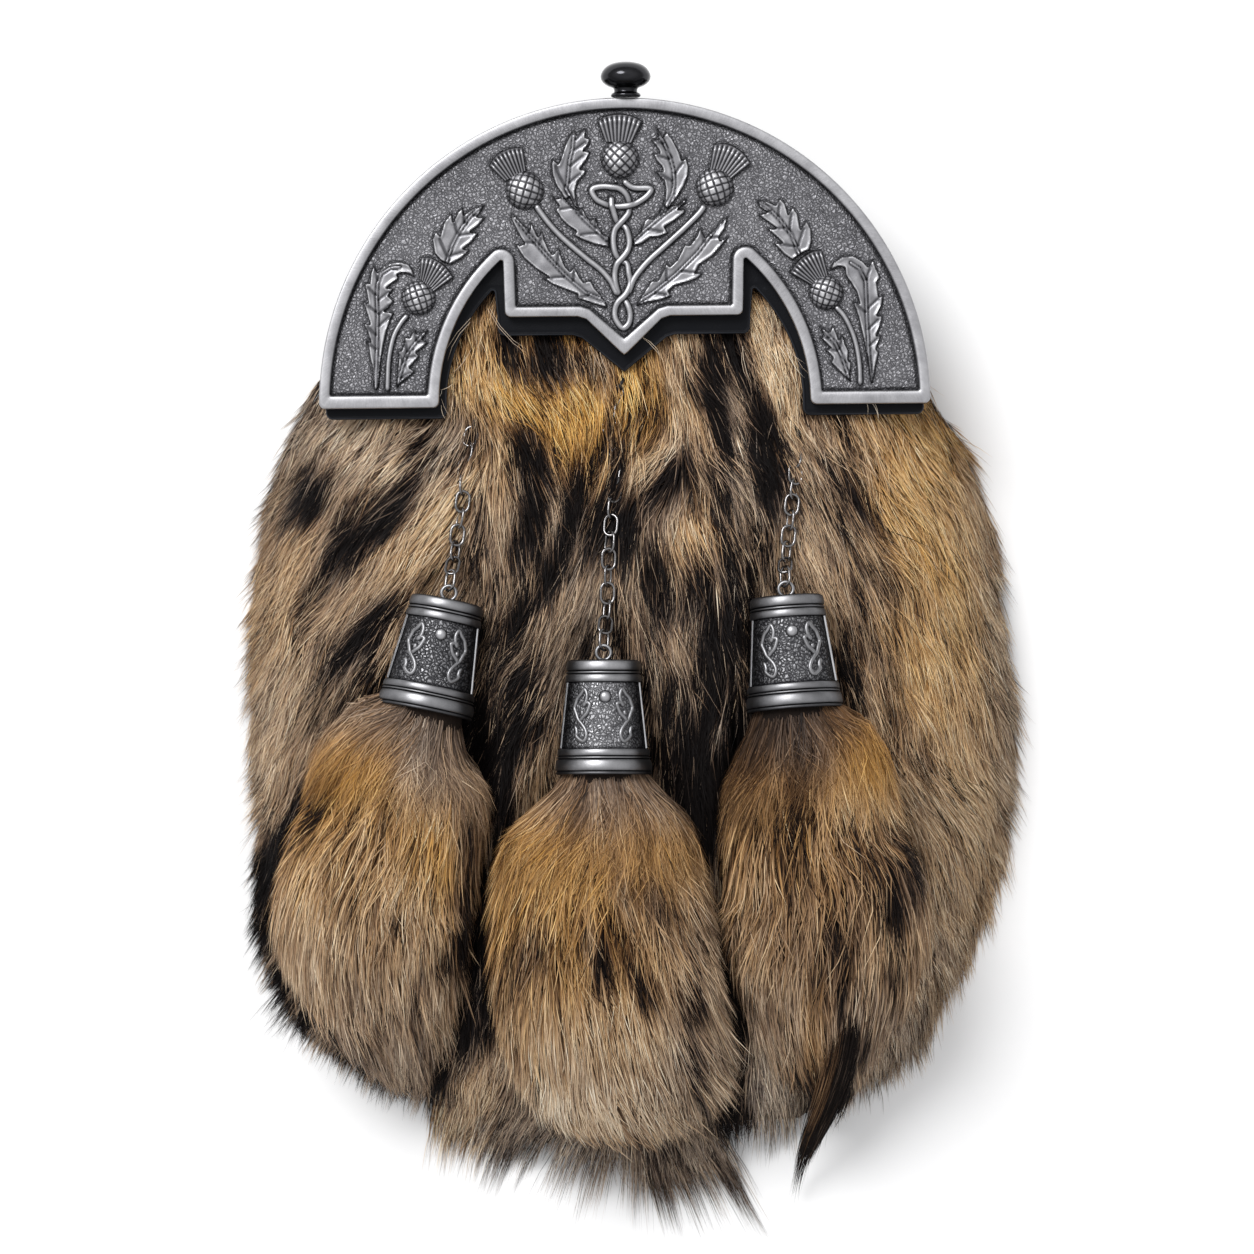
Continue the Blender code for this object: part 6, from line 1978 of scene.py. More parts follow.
def pressed_by(name, clearance):
    """Over the grid: the highest fur clear of a bell and its tassel, and how
    far a place is inside their outline."""
    mouth, side, front, up, top = bell_frame(name)
    path = tassel_path(name)
    rows_ = [(*(top + up * 3.2), 2.6, 2.6), (*top, 9.0, 9.0),
             (*mouth, 11.9, 11.9)] + [tuple(r) for r in path[2:]]
    best = np.full(len(GP), 90.0)
    cover = np.full(len(GP), -60.0)
    for a, b in zip(rows_, rows_[1:]):
        a, b = np.array(a), np.array(b)
        d = b[:2] - a[:2]
        size = np.hypot(*d)
        t = ((GP - a[:2]) @ d) / size ** 2
        t = np.clip(t, -4.0 / size, 1.0 + 4.0 / size)
        off = np.hypot(GP[:, 0] - a[0] - t * d[0], GP[:, 1] - a[1] - t * d[1])
        t = np.clip(t, 0.0, 1.0)
        wide = a[3] + (b[3] - a[3]) * t
        cover = np.maximum(cover, wide - off)
        wide = wide + 1.0
        thick = a[4] + (b[4] - a[4]) * t
        drop = np.sqrt(np.maximum(1.0 - (off / wide) ** 2.4, 0.0))
        z = a[2] + (b[2] - a[2]) * t - thick * drop - clearance
        best = np.where(off < wide + 2.0, np.minimum(best, z), best)
    return best, cover


# How far down each chain the hair lies over the links, in mm.
BURIED = {"left": 19.0, "centre": 34.0, "right": 13.0}


def over_chain():
    """Over the grid: how much the hair rises to pass over buried links."""
    best = np.zeros(len(GP))
    for name, (line, links) in CHAINS.items():
        s = np.concatenate([[0.0], np.cumsum(
            np.linalg.norm(np.diff(line, axis=0), axis=1))])
        for k in range(0, len(line), 2):
            off = np.hypot(GP[:, 0] - line[k, 0], GP[:, 1] - line[k, 1])
            share = 1.0 - smoothstep(BURIED[name] * 0.6,
                                     BURIED[name] * 1.1, s[k])
            best = np.maximum(best, 2.9 * share * np.exp(-(off / 4.2) ** 2))
    return best


def chain_limit():
    """Over the grid: the highest hair that leaves a chain in view.  The upper
    links lie deeper in the fur."""
    best = np.full(len(GP), 90.0)
    for name, (line, links) in CHAINS.items():
        buried = BURIED[name]
        s = np.concatenate([[0.0], np.cumsum(
            np.linalg.norm(np.diff(line, axis=0), axis=1))])
        for k in range(0, len(line), 2):
            p = line[k]
            off = np.hypot(GP[:, 0] - p[0], GP[:, 1] - p[1])
            deep = 7.0 * (1.0 - smoothstep(buried * 0.75, buried * 1.15, s[k]))
            z = p[2] - 1.1 + deep + np.maximum(off - 2.4, 0.0) * 1.1
            best = np.where(off < 11.0, np.minimum(best, z), best)
    return best


def lean_field():
    pts = sheet([(a, b) for a, b, _ in FLOW])
    lean = np.array([c for _, _, c in FLOW], float)
    total = np.zeros(len(GP))
    weight = np.zeros(len(GP))
    for (x, y), angle in zip(pts, lean):
        d2 = (GP[:, 0] - x) ** 2 + (GP[:, 1] - y) ** 2
        w = 1.0 / (d2 + 18.0) ** 1.6
        total += w * angle
        weight += w
    field = total / weight
    field += 9.0 * value_noise(GP[:, 0], GP[:, 1], 21.0, 201)
    field += 6.0 * value_noise(GP[:, 0], GP[:, 1], 8.5, 202)
    return grid_of(np.radians(field))


def colour_fields():
    tone = np.full(len(GP), 0.46 * 0.10)
    warm = np.full(len(GP), 0.40 * 0.10)
    weight = np.full(len(GP), 0.10)
    for px, py, rx, ry, lean, light, heat, w0 in PATCHES:
        c = sheet([(px, py)])[0]
        a = math.radians(lean)
        dx, dy = GP[:, 0] - c[0], GP[:, 1] - c[1]
        dx = dx + 1.6 * value_noise(GP[:, 0], GP[:, 1], 6.0, 211)
        dy = dy + 1.6 * value_noise(GP[:, 0], GP[:, 1], 6.0, 212)
        along = dx * math.sin(a) - dy * math.cos(a)
        across = dx * math.cos(a) + dy * math.sin(a)
        d2 = (across / (rx / 4.0)) ** 2 + (along / (ry / 4.0)) ** 2
        w = w0 * np.exp(-0.75 * d2) + 0.02 * w0 / (1.0 + d2) ** 2
        tone += w * light
        warm += w * heat
        weight += w
    return grid_of(tone / weight), grid_of(warm / weight)


PRESS, COVER = np.full(len(GP), 90.0), np.full(len(GP), -60.0)
for _name in BELLS:
    _z, _c = pressed_by(_name, 1.0)
    PRESS, COVER = np.minimum(PRESS, _z), np.maximum(COVER, _c)
FLAP_AWAY = outline_distance(FLAP_OUTLINE, GP)
SIDE_IN = 3.2                          # hair ends make up the last of the width


def visual_height():
    y = np.clip(GP[:, 1], -138.0, 91.0)
    width = np.where(GP[:, 0] < 0, fur_left(y), fur_right(y)) - SIDE_IN
    past = np.maximum(-138.0 - GP[:, 1], 0.0)
    width = width * np.clip(1.0 - past / 22.0, 0.15, 1.0)
    crest = fur_crest(y) * np.clip(1.0 - past / 12.0, 0.0, 1.0)
    ratio = np.minimum(np.abs(GP[:, 0]) / width, 1.0)
    z = crest * np.sqrt(1.0 - ratio ** fur_full(y))
    high = GP[:, 1] > 40.0
    z[high] = np.minimum(z[high], 31.2 + 1.2
                         * np.maximum(FLAP_AWAY[high] - 4.0, 0.0))
    return z


_height = np.minimum(visual_height(), PRESS - 0.3)
HEIGHT_RAW = _height.reshape(GX.shape)
HEIGHT = grid_of(soften(HEIGHT_RAW, 1.3))
_gy, _gx = np.gradient(HEIGHT.v)
SLOPE_X, SLOPE_Y = grid_of(_gx), grid_of(_gy)
PRESS_AT = grid_of(np.minimum(PRESS, 90.0))
COVER_AT = grid_of(COVER)
AWAY_AT = grid_of(FLAP_AWAY)
CHAIN_AT = grid_of(chain_limit())
OVER_AT = grid_of(over_chain())
LEAN = lean_field()
_edge = resample(catmull(sheet(SILHOUETTE), 4), 1.2, closed=True)
OUT_AT = grid_of(outline_distance(_edge, GP))


def combed(size, seed, reach):
    """Noise drawn out along the lie of the hair, evened to unit spread."""
    base = grid_of(value_noise(GP[:, 0], GP[:, 1], size, seed))
    total = base.v.ravel().copy()
    for way in (1.0, -1.0):
        x, y = GP[:, 0].copy(), GP[:, 1].copy()
        for _ in range(reach):
            a = LEAN(x, y)
            x += way * np.sin(a)
            y -= way * np.cos(a)
            total += base(x, y)
    return grid_of(total / np.std(total))


LOCKS = combed(6.0, 231, 7)
WISPS = combed(2.4, 232, 6)
TONE, WARM = colour_fields()


def two_toned(patch, push, dark_floor=0.025):
    """Locks are either dark or light; the patch says how often and how
    light."""
    m = smoothstep(-0.32, 0.32, push + 3.6 * (patch - 0.32)
                   - 1.3 * np.maximum(0.24 - patch, 0.0))
    light = np.maximum(patch, 0.47) * 1.14
    dark = dark_floor + 0.22 * np.maximum(patch - 0.36, 0.0)
    return dark + (light - dark) * m


def shorten(points, share):
    """The first share of each hair, with as many stations as before."""
    n, k, _ = points.shape
    t = np.linspace(0.0, 1.0, k)[None] * share[:, None] * (k - 1)
    i = np.minimum(t.astype(int), k - 2)
    f = (t - i)[..., None]
    row = np.arange(n)[:, None]
    return points[row, i] * (1 - f) + points[row, i + 1] * f


def fit_inside(points, away, fray, length):
    """How much of each hair may stay so that its end is at the outline."""
    share = np.ones(len(points))
    for _ in range(4):
        tip = shorten(points, share)[:, -1]
        past = away(tip[:, 0], tip[:, 1]) - fray
        share = np.where(past > 0, share - past / length * 1.05, share)
        share = np.clip(share, 0.12, 1.0)
    tip = shorten(points, share)[:, -1]
    good = (away(tip[:, 0], tip[:, 1]) < fray + 1.0) & (share > 0.26)
    return share, good


def nearest_centre(x, y, size, seed):
    """The nearest jittered centre of each place, and two random numbers that
    belong to it."""
    gx, gy = x / size, y / size
    ix, iy = np.floor(gx).astype(int), np.floor(gy).astype(int)
    first = np.full(x.shape, 9.0)
    cx0, cy0 = np.zeros(x.shape), np.zeros(x.shape)
    one, two = np.zeros(x.shape), np.zeros(x.shape)
    for dx in (-1, 0, 1):
        for dy in (-1, 0, 1):
            cx, cy = ix + dx, iy + dy
            px = cx + 0.1 + 0.8 * hash01(cx, cy, seed)
            py = cy + 0.1 + 0.8 * hash01(cx, cy, seed + 1)
            d = np.hypot(px - gx, py - gy)
            closer = d < first
            first = np.where(closer, d, first)
            cx0, cy0 = np.where(closer, px, cx0), np.where(closer, py, cy0)
            one = np.where(closer, hash01(cx, cy, seed + 2), one)
            two = np.where(closer, hash01(cx, cy, seed + 3), two)
    return cx0 * size, cy0 * size, one, two


def hair_mesh(name, points, widths, normals, roll, tone, warm, replaces=()):
    """Ribbons with pointed ends.  points is strands x stations x 3, widths and
    tone are strands x stations, warm is one for each strand or station."""
    n, k, _ = points.shape
    tangent = np.gradient(points, axis=1)
    tangent /= np.linalg.norm(tangent, axis=2)[..., None] + 1e-9
    side = np.cross(tangent, normals)
    side /= np.linalg.norm(side, axis=2)[..., None] + 1e-9
    lift = np.cross(side, tangent)
    side = (side * np.cos(roll)[:, None, None]
            + lift * np.sin(roll)[:, None, None])
    half = widths[..., None] * 0.5
    left = points - side * half
    right = points + side * half
    per = 2 * (k - 1) + 1
    verts = np.empty((n, per, 3))
    verts[:, 0:2 * (k - 1):2] = left[:, :-1]
    verts[:, 1:2 * (k - 1):2] = right[:, :-1]
    verts[:, -1] = points[:, -1]
    verts[..., 2] = np.maximum(verts[..., 2], 0.05)
    loops, starts, at = [], [], 0
    for j in range(k - 2):
        loops += [2 * j, 2 * j + 1, 2 * j + 3, 2 * j + 2]
        starts.append(at)
        at += 4
    loops += [2 * (k - 2), 2 * (k - 2) + 1, per - 1]
    starts.append(at)
    at += 3
    loops, starts = np.array(loops), np.array(starts)
    base = np.arange(n)
    all_loops = (base[:, None] * per + loops[None]).ravel().astype(np.int32)
    all_starts = (base[:, None] * at + starts[None]).ravel().astype(np.int32)
    mesh = bpy.data.meshes.new(name)
    mesh.vertices.add(n * per)
    mesh.vertices.foreach_set("co", (verts * MM).astype(np.float32).ravel())
    mesh.loops.add(len(all_loops))
    mesh.loops.foreach_set("vertex_index", all_loops)
    mesh.polygons.add(len(all_starts))
    mesh.polygons.foreach_set("loop_start", all_starts)
    mesh.update(calc_edges=True)
    mesh.shade_smooth()
    u = np.empty((n, per))
    v = np.empty((n, per))
    tone = np.clip(tone, 0.012, 0.985)
    u[:, 0:2 * (k - 1):2] = tone[:, :-1]
    u[:, 1:2 * (k - 1):2] = tone[:, :-1] + 0.001
    u[:, -1] = tone[:, -1] + 0.0005
    warm = np.clip(warm, 0.012, 0.985)
    if warm.ndim == 1:
        warm = warm[:, None] * np.ones((1, k))
    v[:, 0:2 * (k - 1):2] = warm[:, :-1] - 0.002
    v[:, 1:2 * (k - 1):2] = warm[:, :-1] + 0.002
    v[:, -1] = warm[:, -1]
    # stations of one hair never share a spot on the map
    u[:, :] += np.arange(per)[None] // 2 * 0.0008
    uv = np.stack([u.ravel()[all_loops], v.ravel()[all_loops]], 1)
    uv = uv.astype(np.float32).ravel()
    for layer in ("fur", "OFBake"):
        made = mesh.uv_layers.new(name=layer)
        made.data.foreach_set("uv", uv)
    return place(name, mesh, HAIR, replaces)


def grow(x, y, length, lift, depth, hug, bend, own_lean, stations, obey,
         clump=0.7):
    """Hairs from their roots along the lie of the fur, over its surface."""
    n = len(x)
    px, py = x.copy(), y.copy()
    cx, cy, c1, c2 = nearest_centre(x, y, 2.7, 301)
    lx, ly, l1, l2 = nearest_centre(x, y, 7.5, 311)
    lean = LEAN(x, y)
    turn = own_lean + (c1 - 0.5) * 0.32 + (l1 - 0.5) * 0.42
    over = 0.35 + 0.75 * c2
    points = np.empty((n, stations, 3))
    z = HEIGHT(px, py)
    step = length / (stations - 1)
    drop = np.zeros(n)
    nx0, ny0 = np.cos(lean + turn), np.sin(lean + turn)
    side_c = ((x - cx) * nx0 + (y - cy) * ny0) * clump
    side_l = ((x - lx) * nx0 + (y - ly) * ny0) * clump * 0.35
    zz = z.copy()
    for k in range(stations):
        t = k / (stations - 1.0)
        a = LEAN(px, py) + turn + bend * (t - 0.4)
        gather = t ** 1.3
        ox = -(side_c + side_l) * gather * nx0
        oy = -(side_c + side_l) * gather * ny0
        qx, qy = px + ox, py + oy
        ground = HEIGHT(qx, qy)
        level = ground * hug + zz * (1.0 - hug)
        up = (lift + (l1 - 0.5) * 2.2 + (c1 - 0.5) * 1.2) * t ** 1.4 \
            - depth * (1.0 - t) ** 1.6
        up = up + OVER_AT(qx, qy) * over * min(t * 2.5, 1.0)
        out = level + up
        limit = np.minimum(PRESS_AT(qx, qy) - 0.4,
                           31.5 + 1.25 * np.maximum(AWAY_AT(qx, qy) - 0.5, 0))
        limit = np.where(obey, np.minimum(limit, CHAIN_AT(qx, qy)), limit)
        out = np.minimum(out, limit)
        points[:, k, 0], points[:, k, 1] = qx, qy
        points[:, k, 2] = np.maximum(out, 0.12 + 0.25 * (1 - t))
        dx, dy = np.sin(a), -np.cos(a)
        slope = np.clip(SLOPE_X(px, py) * dx + SLOPE_Y(px, py) * dy, -2.6, 0.9)
        slope = slope * hug
        plan = step / np.sqrt(1.0 + slope ** 2)
        px = px + dx * plan
        py = py + dy * plan
        zz = np.maximum(zz + slope * plan - 0.12 * step * (t > 0.3), 0.2)
    return points, (c1, c2, l1, l2)


def surface_normals(points):
    gx = np.clip(SLOPE_X(points[..., 0], points[..., 1]), -2.5, 2.5)
    gy = np.clip(SLOPE_Y(points[..., 0], points[..., 1]), -2.5, 2.5)
    n = np.stack([-gx, -gy, np.ones_like(gx)], -1)
    return n / np.linalg.norm(n, axis=-1)[..., None]


def root_places(count, rng):
    """Places for roots, even over the fur's surface and kept where the hair
    can be seen."""
    found = []
    total = 0
    while total < count:
        m = 120000
        x = rng.uniform(-100.0, 100.0, m)
        y = rng.uniform(-146.0, 90.0, m)
        sx, sy = SLOPE_X(x, y), SLOPE_Y(x, y)
        area = np.sqrt(1.0 + np.minimum(sx ** 2 + sy ** 2, 9.0))
        area = area * (1.0 + 0.5 * smoothstep(-9.0, -3.0, OUT_AT(x, y)))
        keep = rng.uniform(0, 3.0, m) < area
        ragged = smoothstep(-112.0, -128.0, y)
        keep &= OUT_AT(x, y) < -2.2 - ragged * rng.uniform(0, 5.0, m)
        away = AWAY_AT(x, y)
        keep &= away > -9.0
        keep &= (away > 0.0) | (rng.uniform(0, 1, m) < 0.7)
        low = (y < -112.0) | ((y < -88.0)
                              & (rng.uniform(0, 1, m) < 0.55))
        keep &= (COVER_AT(x, y) < 7.0) | low
        keep &= (COVER_AT(x, y) < 1.0) | (rng.uniform(0, 1, m) < 0.45) | low
        found.append(np.stack([x[keep], y[keep]], 1))
        total += keep.sum()
    return np.concatenate(found)[:count]


def body_hair(name, count, seed, kind):
    rng = np.random.default_rng(seed)
    roots = root_places(count, rng)
    x, y = roots[:, 0], roots[:, 1]
    n = len(x)
    layer = rng.uniform(0, 1, n)
    stray = rng.uniform(0, 1, n) < (0.22 if kind == "guard" else 0.08)
    low = smoothstep(-95.0, -140.0, y)
    length = rng.uniform(11.0, 20.0, n) * (1.0 + 0.22 * layer + 0.25 * low)
    if kind == "guard":
        length = rng.uniform(15.0, 26.0, n) * (1.0 + 0.25 * low)
    # shorter where the coat begins, under the flap, and by the bells
    length *= 0.72 + 0.28 * smoothstep(2.0, 16.0, AWAY_AT(x, y))
    length *= 1.0 - 0.25 * smoothstep(-4.0, 1.0, COVER_AT(x, y))
    rim = smoothstep(-16.0, -2.0, OUT_AT(x, y))
    length *= 1.0 - 0.28 * rim * (1.0 - low)
    lift = -0.8 + 2.4 * layer + 1.2 * stray
    if kind == "guard":
        lift = 0.3 + 2.0 * layer
    depth = rng.uniform(1.8, 3.6, n)
    hug = np.clip(rng.normal(0.82, 0.09, n) - 0.25 * rim * rng.uniform(0, 1, n),
                  0.3, 1.0)
    bend = rng.normal(0.0, 0.15, n)
    own = rng.normal(0.0, 0.085, n) + stray * rng.normal(0.0, 0.24, n)
    obey = rng.uniform(0, 1, n) < 0.96
    stations = 3 if kind == "short" else 4
    points, (c1, c2, l1, l2) = grow(
        x, y, length, lift, depth, hug, bend, own, stations, obey,
        clump=0.72 * ~stray * (1.0 - 0.75 * rim))
    wisp = rng.uniform(0, 1, n) < 0.22 * rim
    ragged = smoothstep(-98.0, -118.0, y)
    fray = np.abs(rng.normal(0.0, 2.1, n)) - 1.2 \
        + wisp * rng.uniform(1.0, 5.5, n) \
        + ragged * (rng.normal(-3.6, 3.2, n) + (c1 - 0.5) * 7.0)
    fray = np.minimum(fray, 5.0)
    share, good = fit_inside(points, OUT_AT, fray, length)
    points = shorten(points, share)
    base = np.where(rng.uniform(0, 1, n) < 0.5, 0.32, 0.26)
    base = base * (0.76 if kind == "guard" else 1.0) * (1 - 0.2 * stray)
    base = base * (1.0 - 0.34 * rim) * (1.0 - 0.30 * wisp) \
        * (1.0 - 0.25 * ragged)
    taper = np.array([0.85, 1.0, 0.74, 0.0] if stations == 4
                     else [0.85, 0.95, 0.0])
    widths = base[:, None] * taper[None]
    sample = points[:, -2] * 0.5 + points[:, -1] * 0.5
    own_push = ((c2 - 0.5) * 0.95 + (l2 - 0.5) * 0.35
                + rng.normal(0, 0.50, n))

    def coat(px, py):
        patch = TONE(px, py)
        even = 1.0 - 0.55 * smoothstep(0.46, 0.56, patch)
        push = (0.36 * LOCKS(px, py) + 0.44 * WISPS(px, py)) * even \
            - 1.5 * np.maximum(0.24 - patch, 0.0)
        return two_toned(patch, push + (
            own_push if px.ndim == 1 else own_push[:, None]))

    kept = rng.uniform(0.06, 0.58, n)[:, None]
    tone = (coat(sample[:, 0], sample[:, 1])[:, None] * kept
            + coat(points[..., 0], points[..., 1]) * (1.0 - kept))
    tone = tone * (1.0 + (c1 - 0.5) * 0.22
                   + rng.normal(0, 0.15, n))[:, None]
    pale = rng.uniform(0, 1, n)
    pale = (pale < 0.035) & ((TONE(x, y) > 0.22) | (pale < 0.008))
    tone[pale] = tone[pale] * 0.45 + 0.42
    ink = rng.uniform(0, 1, n) < 0.05
    tone[ink] = tone[ink] * 0.30
    # tone along each hair rises from root to tip: partly the hair's own banding, partly
    # painted shade where the roots lie under the coat
    tone = tone * np.array([0.14, 0.66, 1.10, 1.24] if stations == 4
                           else [0.16, 0.92, 1.24])[None]
    dark_tip = rng.uniform(0, 1, n) < 0.14 + 0.25 * rim
    tone[dark_tip, -1] *= 0.50
    tone[dark_tip, -2] *= 0.86
    warm = (0.5 * WARM(sample[:, 0], sample[:, 1])[:, None]
            + 0.5 * WARM(points[..., 0], points[..., 1]))
    warm = warm + (rng.normal(0, 0.05, n) + (c1 - 0.5) * 0.16)[:, None]
    warm = np.where(pale[:, None], warm * 0.7, warm)
    warm = np.where(tone[:, -2:-1] < 0.16, warm * 0.4, warm)
    roll = rng.normal(0.0, 0.45, n)
    return hair_mesh(name, points[good], widths[good],
                     surface_normals(points[good]), roll[good], tone[good],
                     warm[good])


def underfur():
    """The dense dark pile below the hair, a closed body over the pouch; its darkness is
    partly painted shade between the hairs.
    """
    step = 4.0
    xs = np.arange(-96.0, 96.1, step)
    ys = np.arange(-126.0, 90.1, step)
    gx, gy = np.meshgrid(xs, ys)
    yy = np.clip(gy, -138.0, 91.0)
    width = np.where(gx < 0, fur_left(yy), fur_right(yy)) - SIDE_IN - 3.5
    flat = np.where(np.abs(gx) > width, np.sign(gx) * width, gx)
    z = HEIGHT(flat, gy) - 3.4
    ratio = np.clip(np.abs(flat) / width, 0, 1)
    z = np.where(ratio > 0.999, 1.2, z)
    z = np.maximum(z, 1.2)
    y, half, low, high, corner = np.array(POUCH_ROWS).T
    half_at, high_at = smooth_table(y, half), smooth_table(y, high)
    inside = (np.abs(flat) < half_at(gy) + 1.0) & (gy > -100.5)
    under = np.where(inside, high_at(gy) + 0.45, 0.3)
    under = np.minimum(under, z - 0.6)
    ny, nx = gx.shape
    top = np.dstack([flat, gy, z]).reshape(-1, 3)
    bottom = np.dstack([flat, gy, under]).reshape(-1, 3)
    quads = grid_faces(ny, nx)
    wide = np.ptp(flat, axis=1)
    idx = np.arange(ny * nx).reshape(ny, nx)
    loop = np.concatenate([idx[0], idx[1:, -1], idx[-1, ::-1][1:],
                           idx[::-1, 0][1:-1]])
    n = ny * nx
    skirt = np.stack([loop, n + loop, n + np.roll(loop, -1),
                      np.roll(loop, -1)], 1)
    pile = Pile()
    tone = TONE(flat.ravel(), gy.ravel())
    faces = np.vstack([quads, quads[:, ::-1] + n, skirt])
    pile.add(np.vstack([top, bottom]), faces, None,
             np.concatenate([tone, tone]) * 0.75)
    obj = pile.make("fur_underlayer", UNDERFUR, "fur", ("fur_front",))
    return obj


# Colours of the tassels by patches, as for the body.
TASSEL_PATCHES = {
    "left": (
        (426, 728, 46, 24, 0, 0.50, 0.06, 3.4),
        (440, 765, 26, 34, 10, 0.50, 0.14, 2.2),
        (364, 770, 26, 30, -20, 0.54, 0.88, 1.8),
        (330, 800, 20, 30, -20, 0.42, 0.80, 1.2),
        (437, 852, 22, 44, 5, 0.60, 0.84, 1.8),
        (455, 780, 22, 40, 10, 0.48, 0.45, 1.2),
        (380, 850, 30, 40, -5, 0.58, 0.62, 1.2),
        (330, 880, 30, 46, -12, 0.56, 0.60, 1.3),
        (395, 930, 50, 44, 0, 0.60, 0.46, 1.3),
        (320, 970, 34, 40, -10, 0.56, 0.34, 1.3),
        (400, 1010, 50, 34, 0, 0.55, 0.32, 1.3),
        (385, 1070, 50, 26, 0, 0.46, 0.20, 1.4),
        (470, 900, 12, 70, 0, 0.34, 0.35, 1.1)),
    "centre": (
        (605, 790, 52, 22, 0, 0.47, 0.06, 3.6),
        (612, 815, 30, 24, 0, 0.50, 0.30, 1.8),
        (560, 850, 36, 36, -15, 0.50, 0.80, 1.6),
        (640, 850, 30, 36, 10, 0.54, 0.80, 1.6),
        (518, 890, 20, 44, -15, 0.56, 0.80, 1.4),
        (600, 900, 30, 40, 0, 0.53, 0.84, 1.4),
        (624, 897, 7, 20, 15, 0.10, 0.3, 3.2),
        (594, 951, 7, 26, 12, 0.12, 0.3, 3.2),
        (653, 908, 7, 18, 10, 0.12, 0.3, 3.0),
        (640, 985, 8, 20, 10, 0.28, 0.5, 2.2),
        (527, 966, 9, 30, -5, 0.30, 0.5, 2.0),
        (570, 985, 26, 36, 0, 0.56, 0.74, 1.3),
        (670, 960, 24, 44, 10, 0.50, 0.60, 1.2),
        (700, 1000, 24, 60, 12, 0.52, 0.26, 1.5),
        (530, 1040, 26, 44, -8, 0.54, 0.52, 1.3),
        (600, 1050, 44, 34, 0, 0.63, 0.46, 1.5),
        (610, 1100, 80, 26, 0, 0.66, 0.30, 1.7),
        (700, 1080, 26, 40, 5, 0.50, 0.20, 1.4)),
    "right": (
        (780, 728, 42, 28, -5, 0.27, 0.16, 3.2),
        (835, 728, 20, 20, 10, 0.36, 0.40, 1.8),
        (860, 760, 22, 30, 20, 0.50, 0.92, 1.8),
        (745, 770, 20, 40, -10, 0.38, 0.66, 1.4),
        (865, 818, 26, 26, 15, 0.66, 0.58, 1.7),
        (785, 820, 30, 44, 0, 0.46, 0.72, 1.5),
        (750, 860, 22, 50, -5, 0.40, 0.56, 1.3),
        (820, 880, 36, 44, 8, 0.44, 0.56, 1.3),
        (890, 850, 14, 26, 25, 0.34, 0.40, 1.2),
        (906, 898, 22, 8, 55, 0.10, 0.25, 2.0),
        (780, 950, 44, 44, 0, 0.50, 0.46, 1.3),
        (870, 960, 36, 44, 5, 0.48, 0.42, 1.3),
        (770, 1020, 34, 36, 5, 0.50, 0.28, 1.3),
        (866, 1040, 36, 36, -5, 0.46, 0.24, 1.3),
        (818, 1050, 10, 50, 0, 0.46, 0.70, 1.8),
        (846, 1060, 10, 36, 0, 0.07, 0.25, 3.0),
        (815, 1150, 12, 60, -10, 0.05, 0.2, 3.0)),
}


def patch_lookup(patches, x, y):
    tone = np.full(x.shape, 0.48 * 0.08)
    warm = np.full(x.shape, 0.45 * 0.08)
    weight = np.full(x.shape, 0.08)
    wx = x + 1.3 * value_noise(x, y, 5.0, 221)
    wy = y + 1.3 * value_noise(x, y, 5.0, 222)
    for px, py, rx, ry, lean, light, heat, w0 in patches:
        c = sheet([(px, py)])[0]
        a = math.radians(lean)
        dx, dy = wx - c[0], wy - c[1]
        along = dx * math.sin(a) - dy * math.cos(a)
        across = dx * math.cos(a) + dy * math.sin(a)
        d2 = (across / (rx / 4.0)) ** 2 + (along / (ry / 4.0)) ** 2
        w = w0 * np.exp(-0.75 * d2) + 0.02 * w0 / (1.0 + d2) ** 2
        tone, warm, weight = tone + w * light, warm + w * heat, weight + w
    return tone / weight, warm / weight


class TasselForm:
    """A tassel's form: its centre line with a half width and thickness."""

    def __init__(self, name):
        path = tassel_path(name)
        d = np.linalg.norm(np.diff(path[:, :3], axis=0), axis=1)
        s = np.concatenate([[0.0], np.cumsum(d)])
        fine = np.linspace(0, s[-1], 160)
        self.data = np.stack([smooth_table(s, path[:, k])(fine)
                              for k in range(5)], 1)
        self.data[:, :3] = np.stack([np.convolve(
            np.pad(self.data[:, k], 4, mode="reflect", reflect_type="odd"),
            np.ones(9) / 9, "valid") for k in range(3)], 1)
        tangent = np.gradient(self.data[:, :3], axis=0)
        tangent /= np.linalg.norm(tangent, axis=1)[:, None]
        self.side = np.cross(tangent, (0.0, 0.0, 1.0))
        self.side /= np.linalg.norm(self.side, axis=1)[:, None]
        self.up = np.cross(self.side, tangent)
        self.tangent = tangent
        self.length = s[-1]

    def at(self, s, values):
        g = np.clip(s / self.length, 0.0, 1.0) * 158.999
        i = g.astype(int)
        f = (g - i)[..., None]
        return values[i] * (1 - f) + values[i + 1] * f

    def point(self, s, angle, ratio):
        row = self.at(s, self.data)
        side, up = self.at(s, self.side), self.at(s, self.up)
        over = np.maximum(s - self.length, 0.0)[..., None]
        middle = row[..., :3] + self.tangent[-1] * over
        power = 0.9
        c, n = np.cos(angle), np.sin(angle)
        c = np.sign(c) * np.abs(c) ** power
        n = np.sign(n) * np.abs(n) ** power
        return (middle + side * (row[..., 3] * c * ratio)[..., None]
                + up * (row[..., 4] * n * ratio)[..., None])

    def outward(self, s, angle):
        side, up = self.at(s, self.side), self.at(s, self.up)
        row = self.at(s, self.data)
        n = (side * (np.cos(angle) / row[..., 3])[..., None]
             + up * (np.sin(angle) / row[..., 4])[..., None])
        return n / np.linalg.norm(n, axis=-1)[..., None]


